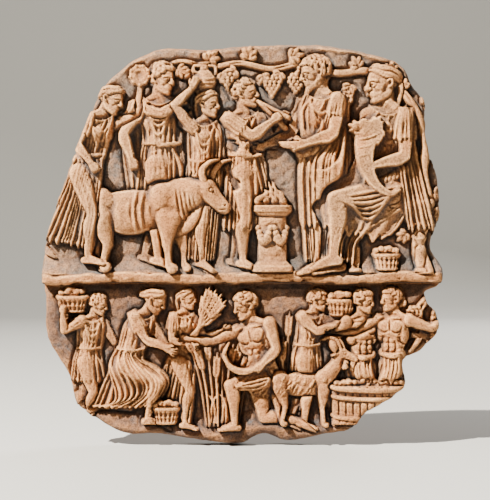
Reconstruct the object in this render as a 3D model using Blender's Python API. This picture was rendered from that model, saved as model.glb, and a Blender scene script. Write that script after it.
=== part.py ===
"""A fired-clay relief panel: a slab with a broken outline, carved with two scenes and a ledge between."""
import math

import bmesh
import bpy
import numpy as np
from mathutils.geometry import delaunay_2d_cdt

# Sizes in metres
PANEL_WIDTH = 0.2
PANEL_HEIGHT = 0.1995
SLAB_DEPTH = 0.012  # from the back to the ground of the carving
RELIEF_DEPTH = 0.0105  # from the ground to the highest carving
LEDGE_DEPTH = 0.007  # how far the ledge between the scenes stands out
LEDGE_HEIGHT = 0.005
LEDGE_DROP = 0.017  # from the panel's middle down to the ledge's
LIP_RADIUS = 0.001  # the raised line inside the top edge
EDGE_RADIUS = 0.003  # round the face
BACK_RADIUS = 0.0012  # round the back
LIP_RISE = 1.3  # the raised line's height as a share of its radius

CLAY_COLOUR = (0.41, 0.23, 0.135, 1.0)
CLAY_ROUGHNESS = 0.9

# How fine the carving is, in drawn units, and how many triangles the solid may take
STEP = 0.4
SOFTEN = 0.5
MESH_SPACING = 0.7
FRONT_TRIANGLES = 9000
PRESSED = ((1.2, 0.8, 1.0), (5.0, 2.5, 0.64))  # for thinning: the reach of forms, their most and weight
UNFOLDING = 40  # rounds at most
STEEPEST = 0.02  # how much of a front triangle's normal at least looks forward
RIM_INSET = 0.99  # where the front's edge takes its height from, as a share of the outline
FLAT_SHARE = 0.2  # of the back's radius: what lies nearer the back than this belongs to it

# The carving is drawn on a face of this size and depth, and then brought to the sizes above
DRAWN_WIDTH = 200.0
DRAWN_HEIGHT = 199.5
DRAWN_DEPTH = 10.5
ACROSS = PANEL_WIDTH / DRAWN_WIDTH
UP = PANEL_HEIGHT / DRAWN_HEIGHT
OUT = RELIEF_DEPTH / DRAWN_DEPTH
LEDGE_TOP = (LEDGE_HEIGHT / 2 - LEDGE_DROP) / UP
LEDGE_FOOT = -(LEDGE_HEIGHT / 2 + LEDGE_DROP) / UP
LEDGE_OUT = LEDGE_DEPTH / OUT
LIP_WIDTH = LIP_RADIUS / ACROSS
LIP_OUT = LIP_RISE * LIP_RADIUS / OUT
EDGE_WIDTH = EDGE_RADIUS / ACROSS
EDGE_OUT = EDGE_RADIUS / OUT
EDGE_REACH = EDGE_WIDTH * 2.5
BROAD_TOP = 7.6  # broad forms stay under this
FINE_TOP = 3.1  # and small forms add up to this
FINE_GAIN = 1.35
SOFT_TOP = 8.0
GROOVE = 1.3  # cut round each form
SHARPENING = 1.6
BROAD_TOOL = (1.4, 0.12, 0.3)  # a tool's radius, and the most that it lifts and cuts
FINE_TOOL = (0.5, 0.25, 0.6)

# The panel's broken outline, as shares of half its width and height, clockwise from the upper left
EDGE = (
    (-0.40, 0.98), (-0.18, 0.975), (0.02, 0.995), (0.30, 1.0), (0.42, 0.995), (0.69, 0.945),
    (0.80, 0.89), (0.85, 0.795), (0.91, 0.72), (0.917, 0.64), (0.913, 0.54), (0.935, 0.44),
    (0.967, 0.365), (0.985, 0.165), (0.95, 0.04), (0.945, -0.03), (0.985, -0.09), (1.0, -0.14),
    (0.98, -0.21), (0.915, -0.24), (0.925, -0.29), (0.965, -0.34), (0.975, -0.43), (0.94, -0.48),
    (0.89, -0.535), (0.80, -0.585), (0.81, -0.70), (0.75, -0.76), (0.61, -0.85), (0.54, -0.925),
    (0.38, -0.955), (0.22, -0.985), (0.10, -0.95), (-0.03, -1.0), (-0.25, -0.972), (-0.45, -0.948),
    (-0.60, -0.945), (-0.80, -0.83), (-0.84, -0.78), (-0.87, -0.66), (-0.96, -0.51), (-0.985, -0.43),
    (-0.985, -0.30), (-0.997, -0.22), (-1.0, -0.08), (-0.985, 0.03), (-0.96, 0.12), (-0.90, 0.29),
    (-0.83, 0.48), (-0.77, 0.63), (-0.735, 0.72), (-0.70, 0.79), (-0.59, 0.895), (-0.53, 0.935))


# The clay: a window on the face that holds how far each point stands out

EMPTY = -1e6  # where a window holds no clay
FAR_SHARE = 0.35  # how much of its depth a form behind its figure's middle keeps


def soft_max(a, b, fillet):
    """The larger of two surfaces, with a small fillet where they meet."""
    if fillet <= 0:
        return np.maximum(a, b)
    near = np.clip(fillet - np.abs(a - b), 0, None) / fillet
    return np.maximum(a, b) + near * near * fillet / 4


def blurred(a, sigma):
    """Three box blurs, close to a Gaussian of sigma cells."""
    width = max(1, int(round(math.sqrt(4 * sigma * sigma + 1))) | 1)
    half = width // 2
    for axis in (0, 1) * 3:
        pad = [(0, 0), (0, 0)]
        pad[axis] = (half + 1, half)
        total = np.cumsum(np.pad(a, pad, mode="edge"), axis=axis)
        count = total.shape[axis]
        late = np.take(total, np.arange(width, count), axis=axis)
        early = np.take(total, np.arange(0, count - width), axis=axis)
        a = (late - early) / width
    return a


def curve(points, spacing):
    """Rows along a smooth curve through the given rows. The first three columns are a place in space."""
    p = np.asarray(points, float)
    return through(np.vstack([2 * p[0] - p[1], p, 2 * p[-1] - p[-2]]), spacing)


def through(q, spacing):
    """The same from the second row to the last but one. The outer rows only steer its ends."""
    out = []
    for i in range(1, len(q) - 2):
        a, b, c, d = q[i - 1 : i + 3]
        count = max(2, int(np.linalg.norm(c[:3] - b[:3]) / spacing) + 2)
        t = np.linspace(0, 1, count, endpoint=i == len(q) - 3)[:, None]
        bend = (c - a) * t + (2 * a - 5 * b + 4 * c - d) * t**2 + (3 * b - a - 3 * c + d) * t**3
        out.append(b + bend / 2)
    return np.vstack(out)


def direction(a, b=0.0):
    """A unit vector. It is a degrees from straight down towards +x, and b degrees towards the viewer."""
    a, b = math.radians(a), math.radians(b)
    return np.array([math.sin(a) * math.cos(b), math.sin(b), -math.cos(a) * math.cos(b)])


def turned(yaw, lean=0.0, bow=0.0):
    """Columns: the left, front and up of something. Yaw 0 faces the viewer and yaw 90 faces +x.
    Lean tips it towards +x, and bow bends it forward."""
    y, a, b = map(math.radians, (yaw, lean, bow))
    left = np.array([math.cos(y), -math.sin(y), 0.0])
    ahead = np.array([math.sin(y), math.cos(y), 0.0])
    top = np.array([0.0, 0.0, 1.0])
    up = top * math.cos(b) + ahead * math.sin(b)
    front = ahead * math.cos(b) - top * math.sin(b)
    tip = np.array([[math.cos(a), 0, math.sin(a)], [0, 1, 0], [-math.sin(a), 0, math.cos(a)]])
    return tip @ np.column_stack([left, front, up])


def pressed(y):
    """The depth of a form's middle, with what lies behind the figure's middle brought forward."""
    return np.where(y < 0, y * FAR_SHARE, y)


class Clay:
    """A window on the face: x to the right, z up, and y towards the viewer."""

    def __init__(self, x0, x1, z0, z1):
        self.i0, self.j0 = round(z0 / STEP), round(x0 / STEP)
        rows = round(z1 / STEP) - self.i0 + 1
        columns = round(x1 / STEP) - self.j0 + 1
        self.y = np.full((rows, columns), EMPTY)

    def grid(self):
        rows, columns = self.y.shape
        return (self.j0 + np.arange(columns)) * STEP, (self.i0 + np.arange(rows)) * STEP

    def window(self, x0, x1, z0, z1):
        """The part of the grid in a box, as slices and the x and z of its cells."""
        rows, columns = self.y.shape
        j0 = max(0, math.floor(x0 / STEP) - self.j0)
        j1 = min(columns, math.ceil(x1 / STEP) - self.j0 + 1)
        i0 = max(0, math.floor(z0 / STEP) - self.i0)
        i1 = min(rows, math.ceil(z1 / STEP) - self.i0 + 1)
        if i1 <= i0 or j1 <= j0:
            return None
        x = (self.j0 + np.arange(j0, j1)) * STEP
        z = (self.i0 + np.arange(i0, i1)) * STEP
        return (slice(i0, i1), slice(j0, j1)), x[None, :], z[:, None]

    def swept(self, path, reach, value):
        """The window round a path, and the largest value that its points give each cell there."""
        low, high = path.min(axis=0) - reach, path.max(axis=0) + reach
        found = self.window(low[0], high[0], low[2], high[2])
        if found is None:
            return None
        at, x, z = found
        field = np.full((z.size, x.size), EMPTY)
        half = int(math.ceil(reach / STEP))
        offsets = np.arange(-half, half + 1)
        column = np.round((path[:, 0] - x[0, 0]) / STEP).astype(int)[:, None, None] + offsets[None, None, :]
        row = np.round((path[:, 2] - z[0, 0]) / STEP).astype(int)[:, None, None] + offsets[None, :, None]
        inside = (column >= 0) & (column < x.size) & (row >= 0) & (row < z.size)
        column, row = np.broadcast_arrays(np.clip(column, 0, x.size - 1), np.clip(row, 0, z.size - 1))
        dx = x[0][column] - path[:, 0][:, None, None]
        dz = z[:, 0][row] - path[:, 2][:, None, None]
        values = np.where(inside, value(dx, dz), EMPTY)
        np.maximum.at(field.reshape(-1), (row * x.size + column).reshape(-1), values.reshape(-1))
        return at, field

    def chain(self, points, radii, fillet=0.6):
        """A rounded form of changing thickness along a curve through points (x, y, z)."""
        p = np.asarray(points, float)
        r = np.full(len(p), float(radii)) if np.ndim(radii) == 0 else np.asarray(radii, float)
        rows = curve(np.column_stack([p, r]), max(0.6 * STEP, 0.08 * float(r.mean())))
        middle, r = rows[:, :3], np.abs(rows[:, 3])
        depth = pressed(middle[:, 1])[:, None, None]
        square = (r * r)[:, None, None]

        def front(dx, dz):
            d = square - dx * dx - dz * dz
            return np.where(d > 0, depth + np.sqrt(np.maximum(d, 0)), EMPTY)

        found = self.swept(middle, r.max(), front)
        if found is not None:
            self.y[found[0]] = soft_max(self.y[found[0]], found[1], fillet)

    def egg(self, centre, radii, axes=np.eye(3), fillet=0.6):
        """An ellipsoid whose own directions are the columns of axes."""
        r = np.full(3, float(radii)) if np.ndim(radii) == 0 else np.asarray(radii, float)
        m = axes @ np.diag(1 / r**2) @ axes.T
        reach = np.sqrt(np.diag(axes @ np.diag(r**2) @ axes.T))
        found = self.window(centre[0] - reach[0], centre[0] + reach[0], centre[2] - reach[2],
                            centre[2] + reach[2])
        if found is None:
            return
        at, x, z = found
        dx, dz = x - centre[0], z - centre[2]
        b = m[0, 1] * dx + m[1, 2] * dz
        c = m[0, 0] * dx * dx + 2 * m[0, 2] * dx * dz + m[2, 2] * dz * dz - 1
        d = b * b - m[1, 1] * c
        front = pressed(centre[1]) + (-b + np.sqrt(np.maximum(d, 0))) / m[1, 1]
        self.y[at] = soft_max(self.y[at], np.where(d > 0, front, EMPTY), fillet)

    def stroke(self, points, width, height, even=False):
        """Raises a rounded line through points (x, z) on the clay, or presses it in if height is below 0."""
        p = np.asarray(points, float)
        path = curve(np.column_stack([p[:, 0], np.zeros(len(p)), p[:, 1]]), max(0.5 * STEP, 0.3 * width))
        along = np.linspace(0, 1, len(path))[:, None, None]
        tall = np.ones_like(along) if even else np.sin(np.pi * along) ** 0.6
        found = self.swept(path, 1.7 * width, lambda dx,
                           dz: tall * np.exp(-1.5 * (dx**2 + dz**2) / width**2))
        if found is not None:
            at, field = found
            self.y[at] += np.where(self.y[at] > EMPTY / 2, height * np.maximum(field, 0), 0)

    def dent(self, place, radius, depth):
        """A round hollow at a place (x, y, z)."""
        x0, z0 = place[0], place[2]
        found = self.window(x0 - 2 * radius, x0 + 2 * radius, z0 - 2 * radius, z0 + 2 * radius)
        if found is None:
            return
        at, x, z = found
        share = np.exp(-1.5 * ((x - x0) ** 2 + (z - z0) ** 2) / radius**2)
        self.y[at] -= np.where(self.y[at] > EMPTY / 2, depth * share, 0)

    def lathe(self, x, profile, deep=0.8, y=0.0, fillet=0.3):
        """A turned form on an upright axis at x. The profile is a list of (z, radius), from below."""
        p = np.asarray(profile, float)
        r = p[:, 1].max()
        found = self.window(x - r, x + r, p[0, 0], p[-1, 0])
        if found is None:
            return
        at, gx, gz = found
        d = np.interp(gz[:, 0], p[:, 0], p[:, 1])[:, None] ** 2 - (gx - x) ** 2
        inside = (d > 0) & (gz >= p[0, 0]) & (gz <= p[-1, 0])
        front = np.where(inside, y + deep * np.sqrt(np.maximum(d, 0)), EMPTY)
        self.y[at] = soft_max(self.y[at], front, fillet)

    def drape(self, left, right, folds, deep, seed, thick, soft, keep, start, fan, hem, dip):
        """Cloth over what the window holds, between two rails of (x, z) points that run from top to bottom.
        Keep is how far a raised form under the cloth smooths its folds. Dip lowers the top's middle."""
        a, b = np.asarray(left, float), np.asarray(right, float)
        long = max(np.abs(np.diff(a, axis=0)).sum(), np.abs(np.diff(b, axis=0)).sum())
        wide = max(np.linalg.norm(a[0] - b[0]), np.linalg.norm(a[-1] - b[-1]), np.linalg.norm(a[1] - b[1]))
        rows, columns = int(long / STEP * 3) + 4, int(wide / STEP * 3) + 4
        a, b = even_points(a, rows), even_points(b, rows)
        u, v = np.meshgrid(np.linspace(-1, 1, columns), np.linspace(0, 1, rows))
        fine = pleats(u, v, 2 * folds + 1, seed + 50, start, fan)
        ridge = np.maximum(pleats(u, v, folds, seed, start, fan), 0.4 * fine)
        x = a[:, :1] * (1 - u) / 2 + b[:, :1] * (1 + u) / 2
        z = a[:, 1:] * (1 - u) / 2 + b[:, 1:] * (1 + u) / 2
        z = z + 2 * hem * np.clip((v - 0.9) / 0.1, 0,
                                  1) * (1 - ridge) - dip * (1 - u * u) * np.clip(1 - 2 * v, 0, 1)
        rim = np.clip((1 - np.abs(u)) * wide / 2.4, 0, 1)
        rim = np.sqrt(1 - (1 - rim) ** 2) + (0.7 if dip else 0.0) * np.exp(-((v * long / 1.1) ** 2))
        found = self.window(x.min(), x.max(), z.min(), z.max())
        if found is None:
            return
        at, gx, gz = found
        column = np.round((x - gx[0, 0]) / STEP).astype(int)
        row = np.round((z - gz[0, 0]) / STEP).astype(int)
        inside = (column >= 0) & (column < gx.size) & (row >= 0) & (row < gz.size)
        cell = (row * gx.size + column)[inside]
        cells = gx.size * gz.size
        count = np.bincount(cell, minlength=cells).reshape(gz.size, gx.size)
        sums = [np.bincount(cell, weights=w[inside], minlength=cells) for w in (ridge, rim)]
        ridge, rim = (w.reshape(count.shape) / np.maximum(count, 1) for w in sums)
        under = np.maximum(self.y[at], 0.0)
        low = blurred(under, soft / STEP)
        raised = np.clip((under - blurred(under, 3 * soft / STEP)) / 1.8 + 0.3, 0, 1)
        body = np.maximum(low, 0.55 * blurred(under, 0.45 / STEP) + 0.45 * low)
        cloth = body + thick * rim + deep * ridge * (1 - keep * raised) * (0.4 + 0.6 * np.minimum(rim, 1))
        self.y[at] = np.where(count > 0, cloth, self.y[at])

    def rolled(self, points, radius, strands=3, turns=1.5):
        """Bundled cloth: strands twisted round a curve through points (x, y, z)."""
        path = curve(points, 1.5)
        along = np.gradient(path, axis=0)
        along /= np.linalg.norm(along, axis=1)[:, None] + 1e-9
        side = np.column_stack([-along[:, 2], np.zeros(len(along)), along[:, 0]])
        share = np.linspace(0, 1, len(path))
        for i in range(strands):
            a = 2 * math.pi * (i / strands + turns * share)
            strand = path + side * (0.55 * radius * np.cos(a))[:, None]
            strand[:, 1] += 0.4 * radius * np.sin(a)
            self.chain(strand[::2] if len(strand) > 4 else strand, 0.55 * radius, 0.1)

    def mirrored(self):
        other = Clay(0, 0, 0, 0)
        other.i0, other.j0 = self.i0, -(self.j0 + self.y.shape[1] - 1)
        other.y = self.y[:, ::-1].copy()
        return other


def even_points(rail, count):
    """Points at equal steps along a smooth curve through a rail of (x, z) points."""
    path = curve(np.column_stack([rail[:, 0], np.zeros(len(rail)), rail[:, 1]]), 0.4)[:, [0, 2]]
    run = np.concatenate([[0], np.cumsum(np.linalg.norm(np.diff(path, axis=0), axis=1))])
    want = np.linspace(0, run[-1], count)
    return np.column_stack([np.interp(want, run, path[:, 0]), np.interp(want, run, path[:, 1])])


def pleats(u, v, count, seed, start, fan):
    """Folds that run along v. Their crisp backs have many widths, begin at many heights, and some fork."""
    rng = np.random.RandomState(seed)
    widths = rng.uniform(0.45, 1.55, count)
    edges = np.concatenate([[0], np.cumsum(widths)]) / widths.sum() * 2 - 1
    middles = (edges[1:] + edges[:-1]) / 2
    out = np.zeros_like(u)
    for i in range(count):
        sharp, tall, begin = rng.uniform(0.42, 0.85), rng.uniform(0.7, 1.0), rng.uniform(0, 0.45) * start
        parent = middles[max(0, i - 1)] if rng.rand() < 0.45 else middles[i]
        apart = np.clip((v - begin) / 0.45, 0, 1)
        middle = parent + (middles[i] - parent) * apart * apart * (3 - 2 * apart)
        middle = middle + rng.uniform(-0.35, 0.35) / count * np.sin(3 * v + i)
        d = (u - middle) / (edges[i + 1] - edges[i]) * 2
        grown = np.clip((v - begin) / 0.3 + (1 - start), 0, 1)
        back = tall * min(1.15, 0.5 + 0.5 * widths[i]) * np.exp(-((d / sharp) ** 2))
        out = np.maximum(out, back * grown * (1 + fan * (v - 0.5)))
    return out


# People

class Figure:
    """A person whose hips are over x = 0 and whose lowest point is at z = 0, built in shares of the height.
    Each leg is (thigh, thigh depth, shin, shin depth) as angles for direction(). Of each pair of limbs the
    first is the nearer one when the figure faces +x."""

    def __init__(self, tall, yaw, lean, chest, legs, female=False):
        t = self.t = tall
        self.female = female
        self.clay = Clay(-0.75 * t, 0.75 * t, -0.08 * t, 1.2 * t)
        self.hips = turned(yaw, lean * 0.5)
        self.chest = turned(*chest)
        middle = turned((yaw + chest[0]) / 2, (lean * 0.5 + chest[1]) / 2, chest[2] / 2)
        self.pelvis = np.zeros(3)
        self.waist = self.hips[:, 2] * 0.055 * t + middle[:, 2] * 0.045 * t
        self.heart = self.waist + middle[:, 2] * 0.045 * t + self.chest[:, 2] * 0.078 * t
        self.neck = self.point(self.heart, self.chest, 0, -0.008, 0.098)
        wide = 0.1 if female else 0.122
        self.shoulder = [self.point(self.heart, self.chest, s * wide, -0.004, 0.062) for s in (-1, 1)]
        self.hip = [self.point(self.pelvis, self.hips, s * 0.046, 0, -0.018) for s in (-1, 1)]
        self.knee = [h + direction(*leg[:2]) * 0.236 * t for h, leg in zip(self.hip, legs)]
        self.ankle = [k + direction(*leg[2:]) * 0.228 * t for k, leg in zip(self.knee, legs)]
        low = min(min(a[2] for a in self.ankle) - 0.038 * t, min(k[2] for k in self.knee) - 0.034 * t)
        for joint in [self.pelvis, self.waist, self.heart, self.neck, *self.shoulder, *self.hip, *self.knee,
                      *self.ankle]:
            joint[2] -= low

    def point(self, base, axes, left, front, up):
        return base + axes @ (np.array([left, front, up]) * self.t)

    def near(self, joint, dx=0.0, dz=0.0):
        """The (x, z) of a place beside a joint, in shares of the height."""
        return (joint[0] + dx * self.t, joint[2] + dz * self.t)

    def over(self, joint, dx=0.0, y=0.0, dz=0.0):
        """A place beside a joint, at its own depth y, in shares of the height."""
        return (joint[0] + dx * self.t, y * self.t, joint[2] + dz * self.t)

    def lump(self, base, axes, left, front, up, radii, fillet=1.0):
        self.clay.egg(self.point(base, axes, left, front, up), np.array(radii) * self.t, axes, fillet)

    def limb(self, points, radii, fillet=0.8):
        self.clay.chain(points, np.array(radii) * self.t, fillet)

    def dress(self, left, right, folds=9, deep=2.0, seed=1, thick=0.9, soft=1.6, keep=0.4, start=0.0,
              fan=0.3, hem=1.0, dip=0.0):
        """Cloth between two rails of (joint, dx, dz). Its thicknesses are for a figure 100 tall."""
        s = self.t / 100
        rails = [[self.near(*place) for place in rail] for rail in (left, right)]
        self.clay.drape(*rails, folds, deep * s, seed, thick * s, soft * s, keep, start, fan, hem * s,
                        dip * self.t)

    @property
    def wide(self):
        """Half the width of a garment at the chest. It is wider when the chest faces us."""
        return (0.078 if self.female else 0.086) + 0.03 * abs(self.chest[0, 0])

    def bodice(self, seed, folds=8, deep=1.5, dip=0.045, low=-0.012, hem=0.0, thick=0.8):
        """The top of a garment, from its round neckline to below the waist."""
        w = self.wide
        self.dress(*([(self.neck, s * 0.74 * w, 0.014), (self.heart, s * w, 0.02),
                      (self.waist, s * 0.9 * w, low)] for s in (-1, 1)),
                   folds, deep, seed, thick, 1.2, 0.75, 0, 0, hem, dip)
        self.swags((self.neck, -0.7 * w, -0.005), (self.neck, 0.7 * w, -0.005),
                   [dip + 0.045 * (i + 1) for i in range(3)], 0.9, 0.9)

    def skirt(self, left, right, seed, folds=11, deep=3.0, start=0.3, keep=0.8, fan=0.5, hem=1.3, thick=0.6):
        """A skirt from the waist to the places left and right of its hem."""
        w = self.wide
        self.dress([(self.waist, -0.86 * w, 0), (self.pelvis, -1.08 * w, 0), left],
                   [(self.waist, 0.84 * w, 0), (self.pelvis, 1.04 * w, 0), right],
                   folds, deep, seed, thick, 1.8, keep, start, fan, hem)

    def belt(self, radius=0.013):
        w = 0.86 * self.wide
        self.roll([(self.waist, -w, 0.025, -0.002), (self.waist, 0, 0.08, -0.014),
                   (self.waist, w, 0.025, -0.004)], radius, 2, 3)

    def sleeve(self, i, upper, seed, long=0.62):
        """A short sleeve over the top of an arm."""
        t, s, d = self.t, self.shoulder[i], direction(*upper)
        across = np.array([d[2], 0, -d[0]])
        rails = [[(s + across * side * w * t + d * along * t, 0, 0) for along,
                  w in ((-0.042, 0.03), (0.03, 0.047), (0.162 * long, 0.052))]
                 for side in (1, -1)]
        self.dress(*rails, 5, 1.5, seed, 0.9, 1.0, 0.2, 0, 0.3, 1.2)

    def fold(self, places, width=1.0, height=0.9):
        """A raised fold through places of (joint, dx, dz)."""
        self.clay.stroke([self.near(*place) for place in places], width * self.t / 100,
                         height * self.t / 100)

    def roll(self, places, radius, strands=3, turns=1.5):
        """Bundled cloth through places of (joint, dx, y, dz)."""
        self.clay.rolled([self.over(*place) for place in places], radius * self.t, strands, turns)

    def swags(self, a, b, sags, width=0.85, height=1.1):
        """Folds that hang in curves from a to b, which are (joint, dx, dz). Each sags further."""
        p, q = (np.array(self.near(*place)) for place in (a, b))
        v = np.linspace(0, 1, 7)[:, None]
        for i, sag in enumerate(sags):
            inset = 0.05 * i
            way = p + (q - p) * (inset + (1 - 2 * inset) * v) - np.array([0, 4 * sag * self.t]) * v * (1 - v)
            self.clay.stroke(way, width * self.t / 100, height * self.t / 100)

    def carve(self, base, axes, places, width=0.9, height=-0.9):
        """A line over a form through (left, up) places on its front, pressed in if height is below 0."""
        way = [self.point(base, axes, a, 0.05, b)[[0, 2]] for a, b in places]
        self.clay.stroke(way, width * self.t / 100, height * self.t / 100)

    def trunk(self, bare=False):
        c, h = self.chest, self.hips
        middle = (c + h) / 2
        if self.female:
            forms = ((self.heart, c, (0.084, 0.06, 0.098)), (self.waist, middle, (0.067, 0.055, 0.08)),
                     (self.pelvis, h, (0.09, 0.07, 0.078)))
        else:
            forms = ((self.heart, c, (0.108, 0.07, 0.1)), (self.waist, middle, (0.08, 0.062, 0.09)),
                     (self.pelvis, h, (0.085, 0.068, 0.07)))
        for base, axes, radii in forms:
            self.lump(base, axes, 0, 0, 0, radii, 2.5)
        for end in self.shoulder:
            r = 0.03 if self.female else 0.04
            self.lump(end, c, 0, 0, 0, (r, r, 1.15 * r), 1.5)
            top = self.neck + c[:, 2] * 0.015 * self.t
            self.limb([top, (self.neck + end) / 2 + c[:, 2] * 0.004 * self.t, end], (0.03, 0.026, 0.026),
                      1.5)
        for s in (-1, 1):
            if self.female:
                self.lump(self.heart, c, s * 0.042, 0.046, 0.01, (0.034,) * 3, 0.8)
        if bare:
            self.muscles()

    def muscles(self):
        """The chest and belly of a bare trunk."""
        c, h = self.chest, self.hips
        for s in (-1, 1):
            self.lump(self.heart, c, s * 0.05, 0.026, 0.022, (0.056, 0.045, 0.042), 1.5)
            self.lump(self.heart, c, s * 0.088, 0.0, -0.03, (0.03, 0.04, 0.06), 2)
            self.lump(self.waist, c, s * 0.062, 0.01, -0.035, (0.03, 0.045, 0.035), 1.5)
            for n in range(3):
                self.lump(self.waist, c, s * 0.021, 0.036, 0.05 - 0.034 * n, (0.024, 0.03, 0.021), 0.7)
                self.carve(self.heart, c,
                           [(s * 0.062, -0.035 - 0.02 * n), (s * 0.085, -0.028 - 0.02 * n),
                            (s * 0.1, -0.01 - 0.02 * n)], 0.7, -0.8)
            self.carve(self.heart, c,
                       [(s * 0.008, -0.006), (s * 0.045, -0.022), (s * 0.085, -0.004), (s * 0.1, 0.03)], 0.9,
                       -1.2)
            self.carve(self.heart, c, [(s * 0.012, 0.082), (s * 0.06, 0.078), (s * 0.1, 0.07)], 1.0, 0.9)
            self.carve(self.waist, c,
                       [(s * 0.02, 0.062), (s * 0.048, 0.03), (s * 0.047, -0.02), (s * 0.03, -0.06)], 0.8,
                       -0.8)
            self.carve(self.pelvis, h, [(s * 0.08, 0.05), (s * 0.055, 0.02), (s * 0.02, -0.02)], 0.9, -1.1)
            self.clay.egg(self.point(self.heart, c, s * 0.055, 0.068, 0.006), 0.006 * self.t, fillet=0.2)
        self.carve(self.heart, c, [(0, 0.06), (0, 0.02), (0, -0.02)], 0.8, -1.0)
        self.carve(self.waist, c, [(0, 0.07), (0, 0.02), (0, -0.05)], 0.7, -0.8)
        self.clay.dent(self.point(self.waist, c, 0, 0.06, -0.032), 0.008 * self.t, 1.0)

    def leg(self, i, foot=(80, 15)):
        t = self.t
        h, k, a = self.hip[i], self.knee[i], self.ankle[i]
        f = 0.94 if self.female else 1.0
        self.limb([h, h * 0.72 + k * 0.28, h * 0.35 + k * 0.65, k], (0.062 * f, 0.061 * f, 0.047 * f, 0.034),
                  1)
        shin = (a - k) / np.linalg.norm(a - k)
        back = np.array([shin[2], 0, -shin[0]]) * 0.014 * t
        self.limb([h * 0.4 + k * 0.6 + back * 0.8, h * 0.15 + k * 0.85 + back * 0.6], (0.03, 0.022), 1.2)
        self.limb([k, k * 0.74 + a * 0.26 + back, k * 0.45 + a * 0.55 + back * 0.6, a],
                  (0.032, 0.039, 0.028, 0.0178))
        self.limb([k * 0.9 + a * 0.1 - back * 0.5, k * 0.3 + a * 0.7 - back * 0.1], (0.018, 0.014), 0.6)
        self.clay.egg(k - back * 0.8 + np.array([0, 0.012 * t, 0]), np.array((0.02, 0.02, 0.023)) * t,
                      fillet=0.5)
        self.foot(a, shin, *foot)

    def foot(self, a, shin, heading, depth):
        t = self.t
        d = direction(heading, depth)
        side = np.cross(d, np.array([0, 0, 1.0]))
        side /= np.linalg.norm(side) + 1e-9
        sole = np.cross(side, d)
        sole *= -1 if sole[2] > 0 else 1
        heel = a - d * 0.02 * t + sole * 0.018 * t + shin * 0.004 * t
        ball = a + d * 0.072 * t + sole * 0.022 * t
        self.limb([a, a + d * 0.02 * t + sole * 0.012 * t, ball], (0.0175, 0.021, 0.014), 0.5)
        self.limb([heel, a + d * 0.03 * t + sole * 0.022 * t, ball], (0.018, 0.013, 0.014), 0.5)
        for n in range(-2, 3):
            root = ball + side * n * 0.0095 * t + sole * 0.002 * t
            tip = ball + side * n * 0.0105 * t + d * (0.03 - 0.002 * abs(n + 1)) * t + sole * 0.006 * t
            self.limb([root, tip], (0.0085, 0.0068), 0.15)
        self.clay.egg(a + side * 0.012 * t, 0.009 * t, fillet=0.4)

    def arm(self, i, upper, fore, hand="open", turn=0):
        """Shoulder to fingers. The hand is open, grip or rest. Returns the wrist."""
        f = 0.88 if self.female else 1.0
        s = self.shoulder[i]
        e = s + direction(*upper) * 0.162 * self.t
        w = e + direction(*fore) * 0.135 * self.t
        u, d = (e - s) / np.linalg.norm(e - s), (w - e) / np.linalg.norm(w - e)
        out, under = (np.array([v[2], 0, -v[0]]) * 0.008 * self.t for v in (u, d))
        self.limb([s, s * 0.75 + e * 0.25, e], (0.038 * f, 0.035 * f, 0.024 * f), 0.8)
        self.limb([s * 0.6 + e * 0.4 - out, s * 0.35 + e * 0.65 - out * 0.6], (0.03 * f, 0.024 * f), 0.6)
        self.limb([s * 0.55 + e * 0.45 + out, s * 0.25 + e * 0.75 + out], (0.026 * f, 0.021 * f), 0.6)
        self.limb([e, e * 0.75 + w * 0.25 + under * 0.4, e * 0.4 + w * 0.6, w],
                  (0.0235 * f, 0.0295 * f, 0.0225 * f, 0.016 * f), 0.7)
        self.clay.egg(e + under * 0.6, 0.017 * self.t, fillet=0.5)
        self.hand(w, fore[0] + turn, fore[1], hand)
        return w

    def reach(self, i, place, hand="grip", side=1, depth=14, turn=0):
        """An arm whose wrist comes to a place (x, z) if that is near enough. Side 1 keeps the elbow low."""
        dx, dz = place[0] - self.shoulder[i][0], place[1] - self.shoulder[i][2]
        upper, fore = (long * self.t * math.cos(math.radians(depth)) for long in (0.162, 0.135))
        far = min(math.hypot(dx, dz), 0.98 * (upper + fore))
        a = math.degrees(math.atan2(dx, -dz))
        at_shoulder = math.degrees(math.acos((upper**2 + far**2 - fore**2) / (2 * upper * far)))
        at_wrist = math.degrees(math.acos((fore**2 + far**2 - upper**2) / (2 * fore * far)))
        angles = (a - side * at_shoulder, depth)
        return angles, self.arm(i, angles, (a + side * at_wrist, depth), hand, turn)

    def hand(self, w, a, b, kind):
        t = self.t
        d = direction(a, b)
        n = direction(a + 90)
        y = np.array([0, t, 0])
        palm = w + d * 0.026 * t
        self.clay.egg(palm, np.array((0.02, 0.0135, 0.029)) * t, np.column_stack([n, [0, 1, 0], d]))
        for q in range(4):
            off = n * (q - 1.5) * t
            if kind == "grip":
                m = palm + d * 0.018 * t + off * 0.0098 + y * 0.008
                self.limb([m - d * 0.004 * t + y * 0.004, m + d * 0.01 * t + y * 0.004,
                           m + d * 0.014 * t - y * 0.006],
                          (0.0068, 0.0068, 0.006), 0.1)
                continue
            spread, curl, long = (0.004, 0, 0.04) if kind == "open" else (0.0012, -0.012, 0.034)
            size = 1 - 0.1 * abs(q - 1.4)
            m = palm + d * 0.02 * t + off * 0.0092
            self.limb([m, m + (d * long * 0.55 * t + off * spread) * size + y * 0.002,
                       m + (d * long * t + off * spread * 2) * size + y * curl], (0.0062, 0.0058, 0.0048),
                       0.1)
        if kind == "grip":
            self.limb([palm + n * 0.018 * t, palm + n * 0.02 * t + d * 0.018 * t + y * 0.008],
                      (0.0075, 0.0065), 0.2)
        else:
            self.limb([palm + n * 0.014 * t, palm + n * 0.027 * t + d * 0.01 * t,
                       palm + n * 0.03 * t + d * 0.024 * t],
                      (0.0085, 0.0065, 0.0052), 0.3)

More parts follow.
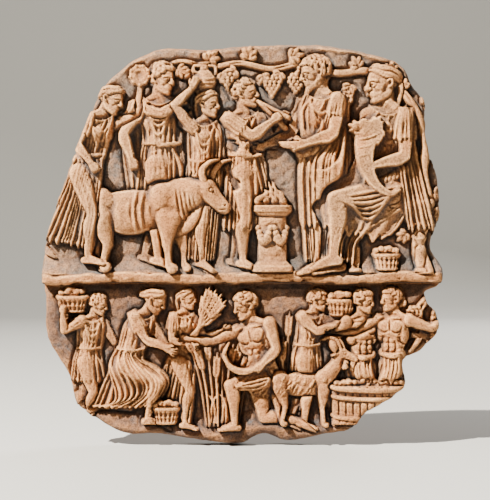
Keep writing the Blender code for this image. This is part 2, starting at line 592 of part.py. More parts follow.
    def head(self, yaw, tilt=0, nod=0, hair="short", beard=False, crown=None, seed=1):
        """Neck, face and hair. Tilt leans the head towards +x, and nod bows it."""
        t = self.t
        h = 0.155 * t
        axes = turned(yaw, tilt, nod)
        up = self.chest[:, 2]
        centre = self.neck + (up + axes[:, 2]) * 0.05 * t + axes[:, 1] * 0.02 * t
        r = 0.029 if self.female else 0.036
        self.limb([self.neck - up * 0.02 * t, self.neck + up * 0.02 * t,
                   centre - axes[:, 2] * 0.1 * h - axes[:, 1] * 0.08 * h],
                  (1.15 * r, r, r), 1)
        Head(self.clay, centre, axes, h, seed).finish(hair, beard, crown)


class Head:
    """A head of height h round its middle c, in shares of h: left, front and up."""

    def __init__(self, clay, c, axes, h, seed):
        self.clay, self.c, self.axes, self.h = clay, c, axes, h
        self.rng = np.random.RandomState(seed)

    def point(self, left, front, up):
        return self.c + self.axes @ (np.array([left, front, up]) * self.h)

    def egg(self, left, front, up, radii, fillet=0.5):
        self.clay.egg(self.point(left, front, up), np.multiply(radii, self.h), self.axes, fillet)

    def line(self, points, radii, fillet=0.25):
        self.clay.chain([self.point(*p) for p in points], np.multiply(radii, self.h), fillet)

    def shows(self, left, front=0.0):
        return (self.axes @ np.array([left, front, 0.0]))[1] > -0.02

    def finish(self, hair, beard, crown):
        self.skull()
        for s in (-1, 1):
            self.cheek(s)
        self.nose()
        for s in (-1, 1):
            self.lips(s)
            if self.shows(s):
                self.ear(s)
        if hair == "short":
            self.locks(0.052, 30, 7)
        elif hair == "curls":
            self.locks(0.07, 18, 17)
        else:
            self.waves(hair == "bun")
        if beard:
            self.beard()
        if crown == "wreath":
            self.wreath()
        if crown == "band":
            self.line([self.on_skull(az, self.rim(az), 1.1) for az in range(-180, 181, 20)], 0.028, 0.1)

    def skull(self):
        self.egg(0, -0.05, 0.13, (0.3, 0.42, 0.37), 1)
        self.egg(0, 0.12, 0.13, (0.24, 0.27, 0.28), 1)
        self.egg(0, 0.11, -0.14, (0.21, 0.24, 0.33), 1)
        for s in (-1, 1):
            jaw = [(s * 0.18, -0.09, -0.1), (s * 0.16, -0.02, -0.26), (s * 0.09, 0.19, -0.37),
                   (0, 0.27, -0.4)]
            self.line(jaw, (0.1, 0.1, 0.09, 0.09), 1.2)
        self.egg(0, 0.275, -0.41, (0.1, 0.1, 0.09))
        self.egg(0, 0.25, -0.24, (0.15, 0.14, 0.13), 0.6)

    def cheek(self, s):
        """The eye, brow and cheek of one side."""
        if not self.shows(s * 0.5, 0.5):
            return
        self.clay.dent(self.point(s * 0.12, 0.34, 0.02), 0.1 * self.h, 0.07 * self.h)
        self.clay.dent(self.point(s * 0.18, 0.26, -0.17), 0.09 * self.h, 0.03 * self.h)
        self.egg(s * 0.115, 0.262, 0.01, (0.07, 0.075, 0.055), 0.05)
        self.line([(s * 0.05, 0.34, 0.005), (s * 0.11, 0.352, 0.052), (s * 0.19, 0.28, 0.008)],
                  (0.018, 0.026, 0.02), 0.1)
        self.line([(s * 0.06, 0.33, 0.0), (s * 0.115, 0.33, -0.04), (s * 0.18, 0.28, -0.005)],
                  (0.014, 0.018, 0.014), 0.1)
        self.line([(s * 0.03, 0.37, 0.1), (s * 0.12, 0.345, 0.13), (s * 0.215, 0.25, 0.09)],
                  (0.04, 0.045, 0.04), 0.5)
        self.egg(s * 0.112, 0.13, -0.06, (0.1, 0.15, 0.12), 1.5)

    def nose(self):
        ridge = [(0, 0.345, 0.16), (0, 0.375, 0.07), (0, 0.42, -0.02), (0, 0.455, -0.085), (0, 0.45, -0.105)]
        self.line(ridge, (0.05, 0.045, 0.048, 0.055, 0.055), 0.5)
        for s in (-1, 1):
            self.egg(s * 0.05, 0.4, -0.1, (0.045, 0.06, 0.042), 0.4)

    def lips(self, s):
        self.line([(0, 0.36, -0.205), (s * 0.045, 0.352, -0.2), (s * 0.1, 0.3, -0.228)], (0.03, 0.03, 0.016),
                  0.2)
        self.line([(0, 0.35, -0.262), (s * 0.045, 0.34, -0.264), (s * 0.09, 0.29, -0.24)],
                  (0.033, 0.032, 0.016), 0.2)

    def ear(self, s):
        shell = [(s * 0.3, -0.01, 0.05), (s * 0.33, -0.07, 0.09), (s * 0.34, -0.13, 0.03),
                 (s * 0.33, -0.1, -0.06), (s * 0.3, -0.03, -0.11)]
        self.line(shell, (0.026, 0.032, 0.034, 0.03, 0.036), 0.1)

    def on_skull(self, az, el, out=1.0):
        """A place on the skull: az degrees from the front round to its left, and el degrees up."""
        a, e = math.radians(az), math.radians(el)
        across = out * math.cos(e)
        return (0.3 * across * math.sin(a), -0.05 + 0.42 * across * math.cos(a),
                0.13 + 0.37 * out * math.sin(e))

    def rim(self, az):
        """How high a band or wreath lies at a bearing."""
        return 38 - 11 * (1 - math.cos(math.radians(az)))

    def locks(self, r, long, bend):
        """Locks of hair in rows from the crown down. Each is long degrees and bends to either side."""
        rows = 0.68 * long + 4
        for row, el in enumerate(np.arange(-42, 90, rows)):
            step = 300 * r / max(0.2, math.cos(math.radians(el)))
            for az in np.arange(-180, 180, step):
                az += self.rng.uniform(-4, 4) + row % 2 * step / 2
                bearing = abs((az + 180) % 360 - 180)
                if el + 2 < np.interp(bearing, [0, 35, 60, 78, 92, 110, 180], [40, 38, 28, -2, 4, -32, -42]):
                    continue
                side = self.rng.choice([-1, 1]) * bend / max(0.35, math.cos(math.radians(el)))
                top = min(88, el + 0.45 * long)
                lock = [self.on_skull(az, top, 1.07), self.on_skull(az + side, el + 0.1 * long, 1.15),
                        self.on_skull(az + 0.7 * side, el - 0.3 * long, 1.14),
                        self.on_skull(az - 0.2 * side, el - 0.55 * long, 1.07)]
                self.line(lock, (r * 0.6, r, r * self.rng.uniform(0.75, 0.95), r * 0.35), 0.02)

    def waves(self, bun):
        """Strands combed back from a middle parting, into a bun or down the neck."""
        for s in (-1, 1):
            for n in range(7):
                az0, el0 = 6 + 4.5 * n, 68 - 6 * n
                way = []
                for v in np.linspace(0, 1, 7):
                    az = az0 * (1 - v) + 168 * v + 3 * math.sin(9 * v + n)
                    rise = 14 * math.sin(math.pi * v) if n < 4 else 0
                    el = el0 * (1 - v) - (6 + 4 * n) * v + rise + 2.5 * math.sin(14 * v)
                    way.append(self.on_skull(s * az, el, 1.08 + 0.05 * (n % 2)))
                self.line(way, (0.034,) + (0.052,) * 5 + (0.036,), 0.0)
        if bun:
            self.egg(0, -0.52, 0.04, (0.15, 0.16, 0.15), 0.1)
            for q in range(4):
                a, back = 0.8 * q, -0.5 - 0.05 * q
                self.line([(0.12 * math.cos(a), back, 0.04 + 0.15 * math.sin(a)),
                           (0, -0.66 + 0.02 * q, 0.02),
                           (-0.12 * math.cos(a), back, 0.04 - 0.14 * math.sin(a))], 3 * (0.03,), 0.02)
            return
        for n in range(5):
            side, wave = (n - 2) * 0.09, 0.05 * (n % 2)
            self.line([(side, -0.42, -0.05), (side * 1.1, -0.4 - wave, -0.25), (side * 1.1, -0.33, -0.45),
                       (side, -0.3 - wave, -0.6)], (0.07, 0.06, 0.055, 0.03), 0.05)

    def beard(self):
        for s in (-1, 1):
            for v in np.linspace(0, 1, 6):
                root = np.array([s * (0.28 - 0.25 * v), -0.06 + 0.33 * v, -0.16 - 0.2 * v])
                for q in range(2):
                    tip = root * (0.8 - 0.2 * q, 1, 1) + (0, 0.05 + 0.05 * q, -0.13 - 0.07 * v - 0.04 * q)
                    bend = (root + tip) / 2 + (self.rng.uniform(-0.03, 0.03), 0.03, 0)
                    self.line([root, bend, tip], (0.055, 0.05, 0.022), 0.02)
            self.line([(0, 0.405, -0.165), (s * 0.07, 0.38, -0.185), (s * 0.13, 0.29, -0.27)],
                      (0.022, 0.03, 0.02), 0.03)

    def wreath(self):
        for az in np.arange(-180, 180, 14):
            stalk = self.on_skull(az, self.rim(az), 1.14)
            for up in (-9, 9):
                self.line([stalk, self.on_skull(az + 13, self.rim(az) + up, 1.24)], (0.034, 0.016), 0.02)


# Animals, plants and vessels

def ox(t):
    """An ox with a ribbon round its middle, walking to +x. Its height at the shoulder is t."""
    clay = Clay(-1.05 * t, 1.2 * t, -0.06 * t, 1.4 * t)

    def hoofed(x, y, top, lean, back, thick):
        hip = np.array([x, y, top]) * t
        knee = hip + direction(lean) * 0.53 * top * t
        foot = knee + direction(back) * (0.47 * top - 0.05) * t
        clay.chain([hip, hip * 0.5 + knee * 0.5, knee], np.array((1.05, 0.66, 0.36)) * thick * t, 2)
        clay.egg(knee, 0.4 * thick * t, fillet=0.6)
        clay.chain([knee, knee * 0.5 + foot * 0.5, foot], np.array((0.36, 0.26, 0.29)) * thick * t, 0.5)
        clay.chain([foot, foot + direction(40) * 0.055 * t], np.array((0.3, 0.42)) * thick * t, 0.1)

    hoofed(0.44, -0.02, 0.5, 14, 2, 0.12)
    hoofed(-0.52, -0.02, 0.5, 0, 16, 0.12)
    forms = (((-0.05, 0.02, 0.68), (0.54, 0.18, 0.24), 3), ((-0.12, 0.04, 0.6), (0.3, 0.19, 0.2), 3),
             ((0.36, 0.05, 0.74), (0.23, 0.18, 0.27), 3),
             ((0.26, 0.02, 0.9), (0.2, 0.13, 0.14), 3), ((-0.47, 0.05, 0.72), (0.19, 0.18, 0.23), 3),
             ((-0.6, 0.0, 0.84), (0.09, 0.1, 0.08), 2))
    for centre, radii, fillet in forms:
        clay.egg(np.array(centre) * t, np.array(radii) * t, fillet=fillet)
    clay.chain(np.array([(0.3, 0.04, 0.8), (0.52, 0.06, 0.86), (0.7, 0.08, 0.92)]) * t,
               np.array((0.22, 0.2, 0.135)) * t, 2.5)
    clay.chain(np.array([(0.46, 0.05, 0.46), (0.56, 0.06, 0.52), (0.66, 0.07, 0.66), (0.72, 0.07, 0.8)]) * t,
               np.array((0.07, 0.075, 0.06, 0.045)) * t, 1.5)
    hoofed(0.33, 0.12, 0.6, -3, 6, 0.145)
    hoofed(-0.46, 0.12, 0.6, 16, -14, 0.15)
    head = np.array([0.76, 0.1, 0.93]) * t
    nose = head + direction(44, 8) * 0.28 * t
    clay.chain([head, head * 0.5 + nose * 0.5, nose], np.array((0.13, 0.1, 0.082)) * t, 1)
    clay.chain([nose, nose + direction(52, 8) * 0.03 * t], np.array((0.08, 0.074)) * t, 0.3)
    eye = head + direction(44) * 0.07 * t + np.array([0.02, 0.11, 0.035]) * t
    clay.dent(eye, 0.035 * t, 1.0)
    clay.egg(eye, 0.021 * t, fillet=0.05)
    clay.dent(nose + np.array([0.035, 0, 0.01]) * t, 0.016 * t, 0.9)
    clay.stroke([(nose[0] - 0.04 * t, nose[2] - 0.045 * t), (nose[0] + 0.05 * t, nose[2] - 0.035 * t)],
                0.012 * t, -0.7)
    for y, out in ((0.07, 0.0), (-0.05, 0.07)):
        horn = head + np.array([-0.02 + out, y, 0.09]) * t
        way = ((0, 0, 0), (-0.02 + out, 0.02, 0.12), (0.07 + out, 0, 0.22), (0.17 + out, 0, 0.25))
        clay.chain([horn + np.array(p) * t for p in way], np.array((0.042, 0.035, 0.022, 0.01)) * t, 0.3)
    ear = head + np.array([-0.07, 0.06, 0.03]) * t
    clay.chain([ear, ear + np.array([-0.09, 0.03, 0.0]) * t, ear + np.array([-0.16, 0.01, -0.06]) * t],
               np.array((0.024, 0.036, 0.012)) * t, 0.2)
    tail = np.array([-0.63, 0.06, 0.82]) * t
    clay.chain([tail, tail + np.array([-0.06, 0, -0.1]) * t, tail + np.array([-0.03, 0.02, -0.34]) * t],
               np.array((0.03, 0.024, 0.018)) * t, 0.4)
    clay.chain([tail + np.array([-0.03, 0.02, -0.34]) * t, tail + np.array([-0.05, 0.02, -0.48]) * t],
               np.array((0.034, 0.012)) * t, 0.2)
    for n in range(5):
        x = 0.42 + 0.05 * n
        clay.stroke(np.array([(x, 0.93 - 0.02 * n), (x + 0.03, 0.72), (x + 0.07, 0.5 + 0.05 * n)]) * t,
                    0.018 * t, -0.6)
    for n in range(4):
        x = 0.12 - 0.12 * n
        clay.stroke(np.array([(x, 0.8), (x - 0.02, 0.66), (x + 0.02, 0.52)]) * t, 0.03 * t, 0.4)
    for x in (-0.04, 0.04):
        clay.stroke(np.array([(x, 0.9), (x - 0.03, 0.68), (x, 0.42)]) * t, 0.024 * t, 1.0, even=True)
    return clay


def goat(t):
    """A goat looking up, facing +x. Its height at the shoulder is t."""
    clay = Clay(-1.1 * t, 1.2 * t, -0.06 * t, 1.8 * t)

    def hoofed(x, y, top, lean, back, thick):
        hip = np.array([x, y, top]) * t
        knee = hip + direction(lean) * 0.5 * top * t
        foot = knee + direction(back) * (0.5 * top - 0.05) * t
        clay.chain([hip, hip * 0.4 + knee * 0.6, knee], np.array((1.0, 0.6, 0.35)) * thick * t, 1.2)
        clay.chain([knee, foot, foot + direction(60) * 0.05 * t], np.array((0.32, 0.25, 0.36)) * thick * t,
                   0.4)

    hoofed(0.4, -0.02, 0.52, 12, 0, 0.11)
    hoofed(-0.5, -0.02, 0.52, 2, 16, 0.11)
    clay.egg(np.array((-0.06, 0.02, 0.72)) * t, np.array((0.5, 0.17, 0.21)) * t, fillet=2)
    clay.egg(np.array((0.3, 0.05, 0.76)) * t, np.array((0.18, 0.16, 0.22)) * t, fillet=2)
    clay.egg(np.array((-0.45, 0.05, 0.76)) * t, np.array((0.17, 0.16, 0.2)) * t, fillet=2)
    hoofed(0.3, 0.1, 0.66, -5, 5, 0.13)
    hoofed(-0.45, 0.1, 0.66, 16, -12, 0.13)
    clay.chain(np.array([(0.34, 0.05, 0.84), (0.5, 0.07, 1.04), (0.58, 0.09, 1.22)]) * t,
               np.array((0.15, 0.11, 0.085)) * t, 1.5)
    head = np.array([0.6, 0.1, 1.26]) * t
    nose = head + direction(66, 5) * 0.26 * t
    clay.chain([head, head * 0.5 + nose * 0.5, nose], np.array((0.095, 0.072, 0.05)) * t, 1)
    eye = head + direction(66) * 0.06 * t + np.array([0, 0.085, 0.03]) * t
    clay.dent(eye, 0.035 * t, 0.6)
    clay.egg(eye, 0.02 * t, fillet=0.05)
    for y, out in ((0.04, 0), (-0.02, 0.06)):
        horn = head + np.array([-0.02 + out, y, 0.07]) * t
        way = ((0, 0, 0), (-0.06, 0.01, 0.14), (-0.2, 0, 0.2), (-0.34, 0, 0.14))
        clay.chain([horn + np.array(p) * t for p in way], np.array((0.036, 0.032, 0.024, 0.01)) * t, 0.3)
    ear = head + np.array([-0.05, 0.06, 0.0]) * t
    clay.chain([ear, ear + np.array([-0.12, 0.03, -0.05]) * t], np.array((0.03, 0.014)) * t, 0.2)
    for n in range(3):
        root = nose + np.array([-0.06 + 0.02 * n, 0, -0.05]) * t
        clay.chain([root, root + np.array([-0.03, 0, -0.15]) * t], np.array((0.024, 0.008)) * t, 0.05)
    clay.chain(np.array([(-0.6, 0.05, 0.86), (-0.69, 0.05, 0.95)]) * t, np.array((0.04, 0.014)) * t, 0.3)
    rng = np.random.RandomState(3)
    for _ in range(46):
        x, z = rng.uniform(-0.55, 0.42), rng.uniform(0.56, 0.9)
        clay.stroke(np.array([(x, z), (x - 0.02, z - 0.05), (x - 0.06, z - 0.09)]) * t, 0.018 * t, 0.5)
    return clay


def leaf(clay, x, z, a, size, y):
    """A lobed leaf on a stalk at (x, z) that points along the angle a."""
    for turn, long in ((-70, 0.62), (-35, 0.85), (0, 1.0), (35, 0.85), (70, 0.62)):
        d = direction(a + turn)
        axes = np.column_stack([d, [0, 1, 0], direction(a + turn + 90)])
        middle = np.array([x, y, z]) + d * size * 0.5 * long
        clay.egg(middle, (size * 0.52 * long, size * 0.22, size * 0.2), axes, 0.35)
    for turn, long in ((-50, 0.7), (0, 0.9), (50, 0.7)):
        d = direction(a + turn) * size * long
        clay.stroke([(x, z), (x + d[0], z + d[2])], size * 0.06 + 0.15, -0.45)


def grapes(clay, x, z, size, y, seed):
    rng = np.random.RandomState(seed)
    for row, count in enumerate((3, 4, 4, 3, 2, 1)):
        for i in range(count):
            off = i - (count - 1) / 2
            place = (x + (0.36 * off + rng.uniform(-0.03, 0.03)) * size,
                     y + 0.16 * size * (1 - abs(off) / 2.5), z - 0.28 * size * row)
            clay.egg(place, 0.2 * size, fillet=0.02)


def fruit(clay, x, z, r, count, spread, y, seed):
    """A heap of round fruit."""
    rng = np.random.RandomState(seed)
    for _ in range(count):
        off = rng.uniform(-1, 1)
        high = rng.uniform(-0.2, 1) * r * 1.6 * (1 - abs(off) / 1.6)
        clay.egg((x + off * spread, y + rng.uniform(0, 0.8), z + high), r * rng.uniform(0.8, 1.1),
                 fillet=0.03)


def hoop(clay, x, z, r, y, thick, deep=0.8):
    """A ring round a turned form of radius r."""
    way = [(x + r * math.sin(a), y + deep * r * math.cos(a) * 0.98,
            z - 0.1 * r * math.cos(a)) for a in np.linspace(-1.57, 1.57, 7)]
    clay.chain(way, thick, 0.1)


def basket(clay, x, z, r, tall, y, seed):
    """A wicker basket of fruit whose foot is at (x, z)."""
    clay.lathe(x, [(z, r * 0.72), (z + tall * 0.4, r * 0.9), (z + tall, r)], 0.75, y)
    for n in range(3):
        hoop(clay, x, z + tall * (0.15 + 0.36 * n), r * (0.78 + 0.1 * n), y, 0.06 * r + 0.2, 0.75)
    columns = int(r * 1.6) + 3
    for n in range(columns):
        s = math.sin(1.35 * ((n + 0.5) / columns * 2 - 1))
        clay.stroke([(x + s * r * 0.72, z), (x + s * r * 0.98, z + tall)], 0.28, 0.4 if n % 2 else -0.5,
                    even=True)
    hoop(clay, x, z + tall, r, y, 0.1 * r + 0.3, 0.75)
    fruit(clay, x, z + tall + 0.2 * r, 0.23 * r, 16, r * 0.8, y + 0.3 * r, seed)


def altar(tall, r):
    """A round altar with a hanging garland, and a small fire on top."""
    clay = Clay(-2.2 * r, 2.2 * r, -1, 1.6 * tall)
    profile = ((0, 1.18), (0.09, 1.18), (0.1, 1.05), (0.15, 0.9), (0.16, 0.86), (0.84, 0.82), (0.85, 0.92),
               (0.9, 1.08),
               (0.91, 1.16), (1, 1.16))
    clay.lathe(0, [(z * tall, w * r) for z, w in profile], 0.75, 0, 0)
    for s in (-1, 1):
        for v in np.linspace(0, 1, 9):
            x, sag = s * r * (0.1 + 0.72 * v), math.sin(math.pi * v)
            y = 0.75 * math.sqrt(max(0, (0.84 * r) ** 2 - x * x))
            clay.egg((x, y + 0.5, tall * (0.66 - 0.2 * sag)), 1.5 + 0.7 * sag, fillet=0.1)
        ribbon = ((0.1, 0.65, 0.68), (0.08, 0.68, 0.58), (0.14, 0.68, 0.48))
        clay.chain([(s * a * r, b * r, c * tall) for a, b, c in ribbon], (0.9, 0.7, 1.0), 0.1)
    for n in range(-3, 4):
        x, bend = n * r * 0.23, (-1) ** n
        tip = tall * (1.34 - 0.06 * abs(n)) + 2.5 * (n % 2)
        clay.chain([(x, 2, tall), (x + 1.4 * bend, 3, 1.08 * tall), (0.6 * x - 1.0 * bend, 3, 1.17 * tall),
                    (0.5 * x + 0.9 * bend, 2, tip)],
                   (1.9, 1.6, 1.1, 0.3), 0.1)
    return clay


def wheat_ear(clay, root, d):
    """An ear of wheat that starts at root and points along d."""
    side = np.array([-d[2], 0, d[0]])
    for q in range(5):
        for s in (-1, 1):
            grain = root + d * q * 1.7 + side * 0.5 * s
            clay.chain([grain, grain + d * 2.0 + side * 0.9 * s + np.array([0, 0.4, 0])], (1.0, 0.5), 0.0)
    clay.chain([root + d * 8, root + d * 11], (0.7, 0.3), 0.0)


def standing_wheat():
    """Wheat with its ears nodding to both sides."""
    clay = Clay(-20, 20, -1, 58)
    rng = np.random.RandomState(6)
    for i in range(-4, 5):
        x, lean = 2.0 * i + rng.uniform(-0.3, 0.3), 2.6 * i + rng.uniform(-2, 2)
        high, y = (37, 29, 34, 25)[i % 4] + rng.uniform(-1, 1), 0.6 + 1.4 * (i % 2)
        top = np.array([x + math.tan(math.radians(lean)) * high, y, high])
        clay.chain([(x, y - 0.4, 0), ((x + top[0]) / 2 - lean * 0.06, y, high * 0.55), top], 0.6, 0.0)
        wheat_ear(clay, top, direction(180 - lean * 2.0 - rng.uniform(-8, 8)))
    for i in range(-2, 3):
        side = (-1) ** i
        clay.chain([(3 * i, 0.5, 2), (3 * i + 1.5 * side, 1.5, 12), (3 * i + 4.5 * side, 1.0, 16)],
                   (0.9, 0.7, 0.3), 0.05)
    return clay


def stem(clay, points, radii, seed=2):
    """A woody stem with cracks along its bark."""
    clay.chain(points, radii)
    path = curve(points, 1.0)
    rng = np.random.RandomState(seed)
    for _ in range(12):
        i = rng.randint(0, max(1, len(path) - 12))
        off = rng.uniform(-0.6, 0.6) * np.mean(radii)
        clay.stroke([(p[0] + off, p[2]) for p in path[i : i + 12 : 4]], 0.45, -0.7)


def climbing_vine():
    """A vine that climbs the right edge, with leaves and grapes."""
    clay = Clay(-146, 16, -2, 114)
    stem(clay,
         [(4, 1.5, -1), (1, 2, 14), (6, 2, 30), (3, 2, 48), (5, 2, 64), (-1, 2, 80), (-11, 2, 92),
          (-24, 1.5, 99), (-40, 1, 98),
                (-56, 1, 103), (-72, 1, 100), (-88, 1, 103), (-104, 1, 101), (-118, 1, 104), (-130, 1, 99)],
         (4.2, 3.3, 3.0, 2.7, 2.4, 2.1, 1.9, 1.8, 1.7, 1.6, 1.5, 1.4, 1.3, 1.1, 0.7))
    stem(clay, [(3, 1, 44), (-6, 1, 54), (-9, 1, 66)], (1.9, 1.4, 0.8))
    leaves = ((9, 70, 70), (8, 55, 95), (-2, 74, -60), (4, 82, 130), (-6, 90, -150), (-13, 98, 170),
              (-20, 92, -40), (-29, 101, -150),
              (-33, 92, -20), (-44, 96, -110), (-43, 84, -60), (-10, 60, -80), (-9, 72, -140), (9, 38, 80),
              (-3, 32, -70), (10, 20, 60),
              (-5, 18, -50), (-56, 100, -30), (-63, 106, 100), (-68, 98, -30), (-77, 97, 20),
              (-84, 105, 170), (-90, 99, -60), (-97, 98, 30),
              (-104, 104, 140), (-112, 99, -10), (-119, 100, 60), (-128, 98, -60))
    for i, (x, z, a) in enumerate(leaves):
        leaf(clay, x, z, a, 6.2 if i % 3 else 7.2, 2.2)
    for i, (x,
            z) in enumerate(((-36, 88), (10, 63), (-10, 54), (8, 30), (-60, 97), (-72, 95), (-93, 97),
                             (-108, 96))):
        grapes(clay, x, z, 6.0, 2.2, i)
    return clay


def vine_end():
    """The end of a vine, for the lobe at the lower right."""
    clay = Clay(-26, 16, -34, 14)
    stem(clay, [(8, 1, 4), (2, 1.6, -4), (4, 1.6, -14), (-2, 1.4, -24)], (2.2, 1.9, 1.6, 1.0))
    for x, z, a in ((-5, 2, -70), (9, -6, 80), (-4, -9, -90), (8, -17, 40), (-8, -20, -60)):
        leaf(clay, x, z, a, 5.6, 2.0)
    for i, (x, z) in enumerate(((0, -2), (9, -10), (-6, -13))):
        grapes(clay, x, z, 5.6, 2.0, i)
    return clay


def vat(width, tall):
    """A treading vat of upright staves with two hoops, full of grapes."""
    clay = Clay(-width / 2 - 4, width / 2 + 4, -1, tall + 8)
    half = width / 2
    clay.lathe(0, [(0, half * 0.94), (tall, half)], 0.3, 1.0, 0)
    staves = int(width / 3.4)
    for i in range(staves + 1):
        x = (i / staves - 0.5) * width
        clay.stroke([(x * 0.95, 0), (x, tall)], 0.45, -0.8, even=True)
    for z, thick in ((0.24, 1.0), (0.76, 1.0), (1.0, 1.3)):
        hoop(clay, 0, z * tall, half * (0.94 + 0.06 * z), 1.2, thick, 0.3)
    fruit(clay, 0, tall + 1.0, 1.5, 34, half * 0.9, 3.0, 3)
    return clay


def full_basket():
    clay = Clay(-12, 12, -1, 20)
    basket(clay, 0, 0, 6.5, 8.0, 0.5, 5)
    return clay


# The people of the upper scene

def dancer(t):
    """A woman who dances up the left edge with a small drum, her mantle blown back."""
    f = Figure(t, 62, 14, (50, 20, 4), ((20, 8, -8, 0), (-24, -4, -44, -6)), female=True)
    f.dress([(f.shoulder[0], -0.01, 0.055), (f.heart, -0.145, 0.03), (f.pelvis, -0.19, 0.065),
             (f.knee[1], -0.13, 0.13)],
            [(f.shoulder[0], 0.03, 0.01), (f.heart, -0.055, -0.065), (f.pelvis, -0.09, -0.03),
             (f.knee[1], -0.03, 0.02)],
            folds=6, deep=2.4, seed=8, thick=0.6, keep=0.2)
    f.leg(1, (66, 0))
    f.leg(0, (82, 12))
    wrist = f.arm(1, (112, 5), (176, 5), "open")
    f.trunk()
    f.skirt((f.ankle[1], -0.07, 0.05), (f.ankle[0], 0.035, 0.03), 3, folds=15, fan=0.7, hem=1.6)
    f.bodice(6, low=-0.05, hem=1.4)
    f.belt()
    for i in range(5):
        f.fold([(f.hip[0], 0.03 - 0.03 * i, -0.02), (f.knee[0], 0.01 - 0.035 * i, 0.02),
                (f.ankle[0], 0.0 - 0.035 * i, 0.05)], 0.8, 0.9)
    f.arm(0, (-20, 14), (36, 25), "grip")
    f.sleeve(0, (-20, 14), 7)
    f.head(66, 16, 4, "bun", crown="wreath", seed=4)
    drum = wrist + np.array([0.0, 0.03, 0.08]) * t
    f.clay.egg(drum, np.array((0.058, 0.02, 0.058)) * t, fillet=0.2)
    for n in range(9):
        f.clay.egg(drum + direction(40 * n) * 0.052 * t + np.array([0, 0.02 * t, 0]), 0.01 * t, fillet=0.02)
    f.clay.dent(drum, 0.035 * t, 1.4)
    return f.clay


def tunic(f, hem, seed, flare=0.13):
    """A belted tunic over the trunk, down to the height hem (a share of the figure's)."""
    knees = np.array([(f.knee[0][0] + f.knee[1][0]) / 2, 0, hem * f.t])
    f.skirt((knees, -flare, 0), (knees, flare, 0), seed, folds=9, deep=2.6, hem=1.6, thick=1.0)
    f.bodice(seed + 5)
    f.belt()


def herdsman(t):
    """A youth in a short tunic and cloak beside the ox."""
    f = Figure(t, 50, 0, (28, -3, 0), ((4, 0, -2, 0), (-10, -5, -20, 0)))
    f.dress([(f.shoulder[0], -0.05, 0.03), (f.waist, -0.2, 0), (f.knee[1], -0.16, 0.06)],
            [(f.shoulder[0], 0.05, 0.03), (f.waist, -0.03, 0), (f.knee[1], -0.02, 0.02)], folds=6, seed=9,
            thick=0.5, keep=0.2, hem=1.8)
    f.leg(1, (70, 20))
    f.leg(0, (70, 20))
    f.arm(1, (36, -5), (64, 5), "rest")
    f.trunk()
    tunic(f, 0.33, 11)
    f.roll([(f.shoulder[0], -0.03, 0.05, 0.015), (f.shoulder[0], 0.03, 0.09, -0.01),
            (f.heart, 0.0, 0.1, 0.02), (f.shoulder[1], -0.02, 0.07, 0.0),
            (f.shoulder[1], 0.015, 0.03, 0.02)], 0.024, 4, 1.2)
    f.swags((f.shoulder[0], -0.01, 0.0), (f.shoulder[1], 0.0, 0.0), (0.05, 0.075), 0.9, 1.3)
    f.arm(0, (-28, 12), (18, 22), "grip")
    f.sleeve(0, (-28, 12), 21, 0.5)
    f.head(48, 3, 4, "curls", seed=7)
    return f.clay


def jug_bearer(t):
    """A girl in a long dress with a jug on her head."""
    f = Figure(t, 50, -2, (40, 2, 0), ((6, 0, -2, 0), (-6, 0, -12, 0)), female=True)
    f.leg(1, (60, 20))
    f.leg(0, (66, 26))
    f.arm(1, (8, -10), (24, 0), "rest")
    f.trunk()
    f.skirt((f.ankle[1], -0.08, 0), (f.ankle[0], 0.07, 0), 41, folds=12)
    f.bodice(14, folds=9, low=-0.09, hem=1.8, thick=1.2)
    f.belt(0.011)
    f.head(58, 2, 2, "waves", crown="band", seed=15)
    x, _, z = f.neck + np.array([0.0, 0, 0.15]) * t
    f.sleeve(0, f.reach(0, (x - 0.075 * t, z + 0.03 * t), "rest", -1, turn=20)[0], 31, 0.4)
    profile = ((0, 0.03), (0.01, 0.034), (0.02, 0.024), (0.05, 0.06), (0.09, 0.068), (0.13, 0.044),
               (0.145, 0.026), (0.175, 0.024), (0.19, 0.038))
    f.clay.lathe(x, [(z + a * t, r * t) for a, r in profile], 0.75, 0.5, 0.1)
    for s in (-1, 1):
        f.clay.chain([(x + s * a * t, 1, z + b * t) for a,
                      b in ((0.024, 0.17), (0.06, 0.165), (0.066, 0.12))], 0.8, 0.1)
    for a, b in ((0.075, 0.066), (0.1, 0.064)):
        hoop(f.clay, x, z + a * t, b * t, 0.6, 0.35, 0.75)
    return f.clay


def piper(t):
    """A boy in a tunic who plays two pipes."""
    f = Figure(t, 55, -2, (45, -2, 0), ((6, 0, -4, 0), (-8, 0, -16, 0)))
    f.leg(1, (70, 15))
    f.leg(0, (74, 20))
    f.trunk()
    tunic(f, 0.2, 17)
    f.head(70, -2, -4, "curls", crown="band", seed=12)
    mouth = f.neck + np.array([0.078, 0.045, 0.062]) * t
    for i, a in ((1, 62), (0, 46)):
        way = direction(a, 8)
        f.clay.chain([mouth, mouth + way * 0.3 * t], (0.85, 1.25), 0.1)
        f.clay.egg(mouth + way * 0.3 * t, 1.8, fillet=0.1)
        hold = mouth + way * (0.12 + 0.05 * i) * t
        upper = f.reach(i, (hold[0] - 0.012 * t, hold[2] - 0.03 * t), "grip")[0]
    f.sleeve(0, upper, 23)
    return f.clay


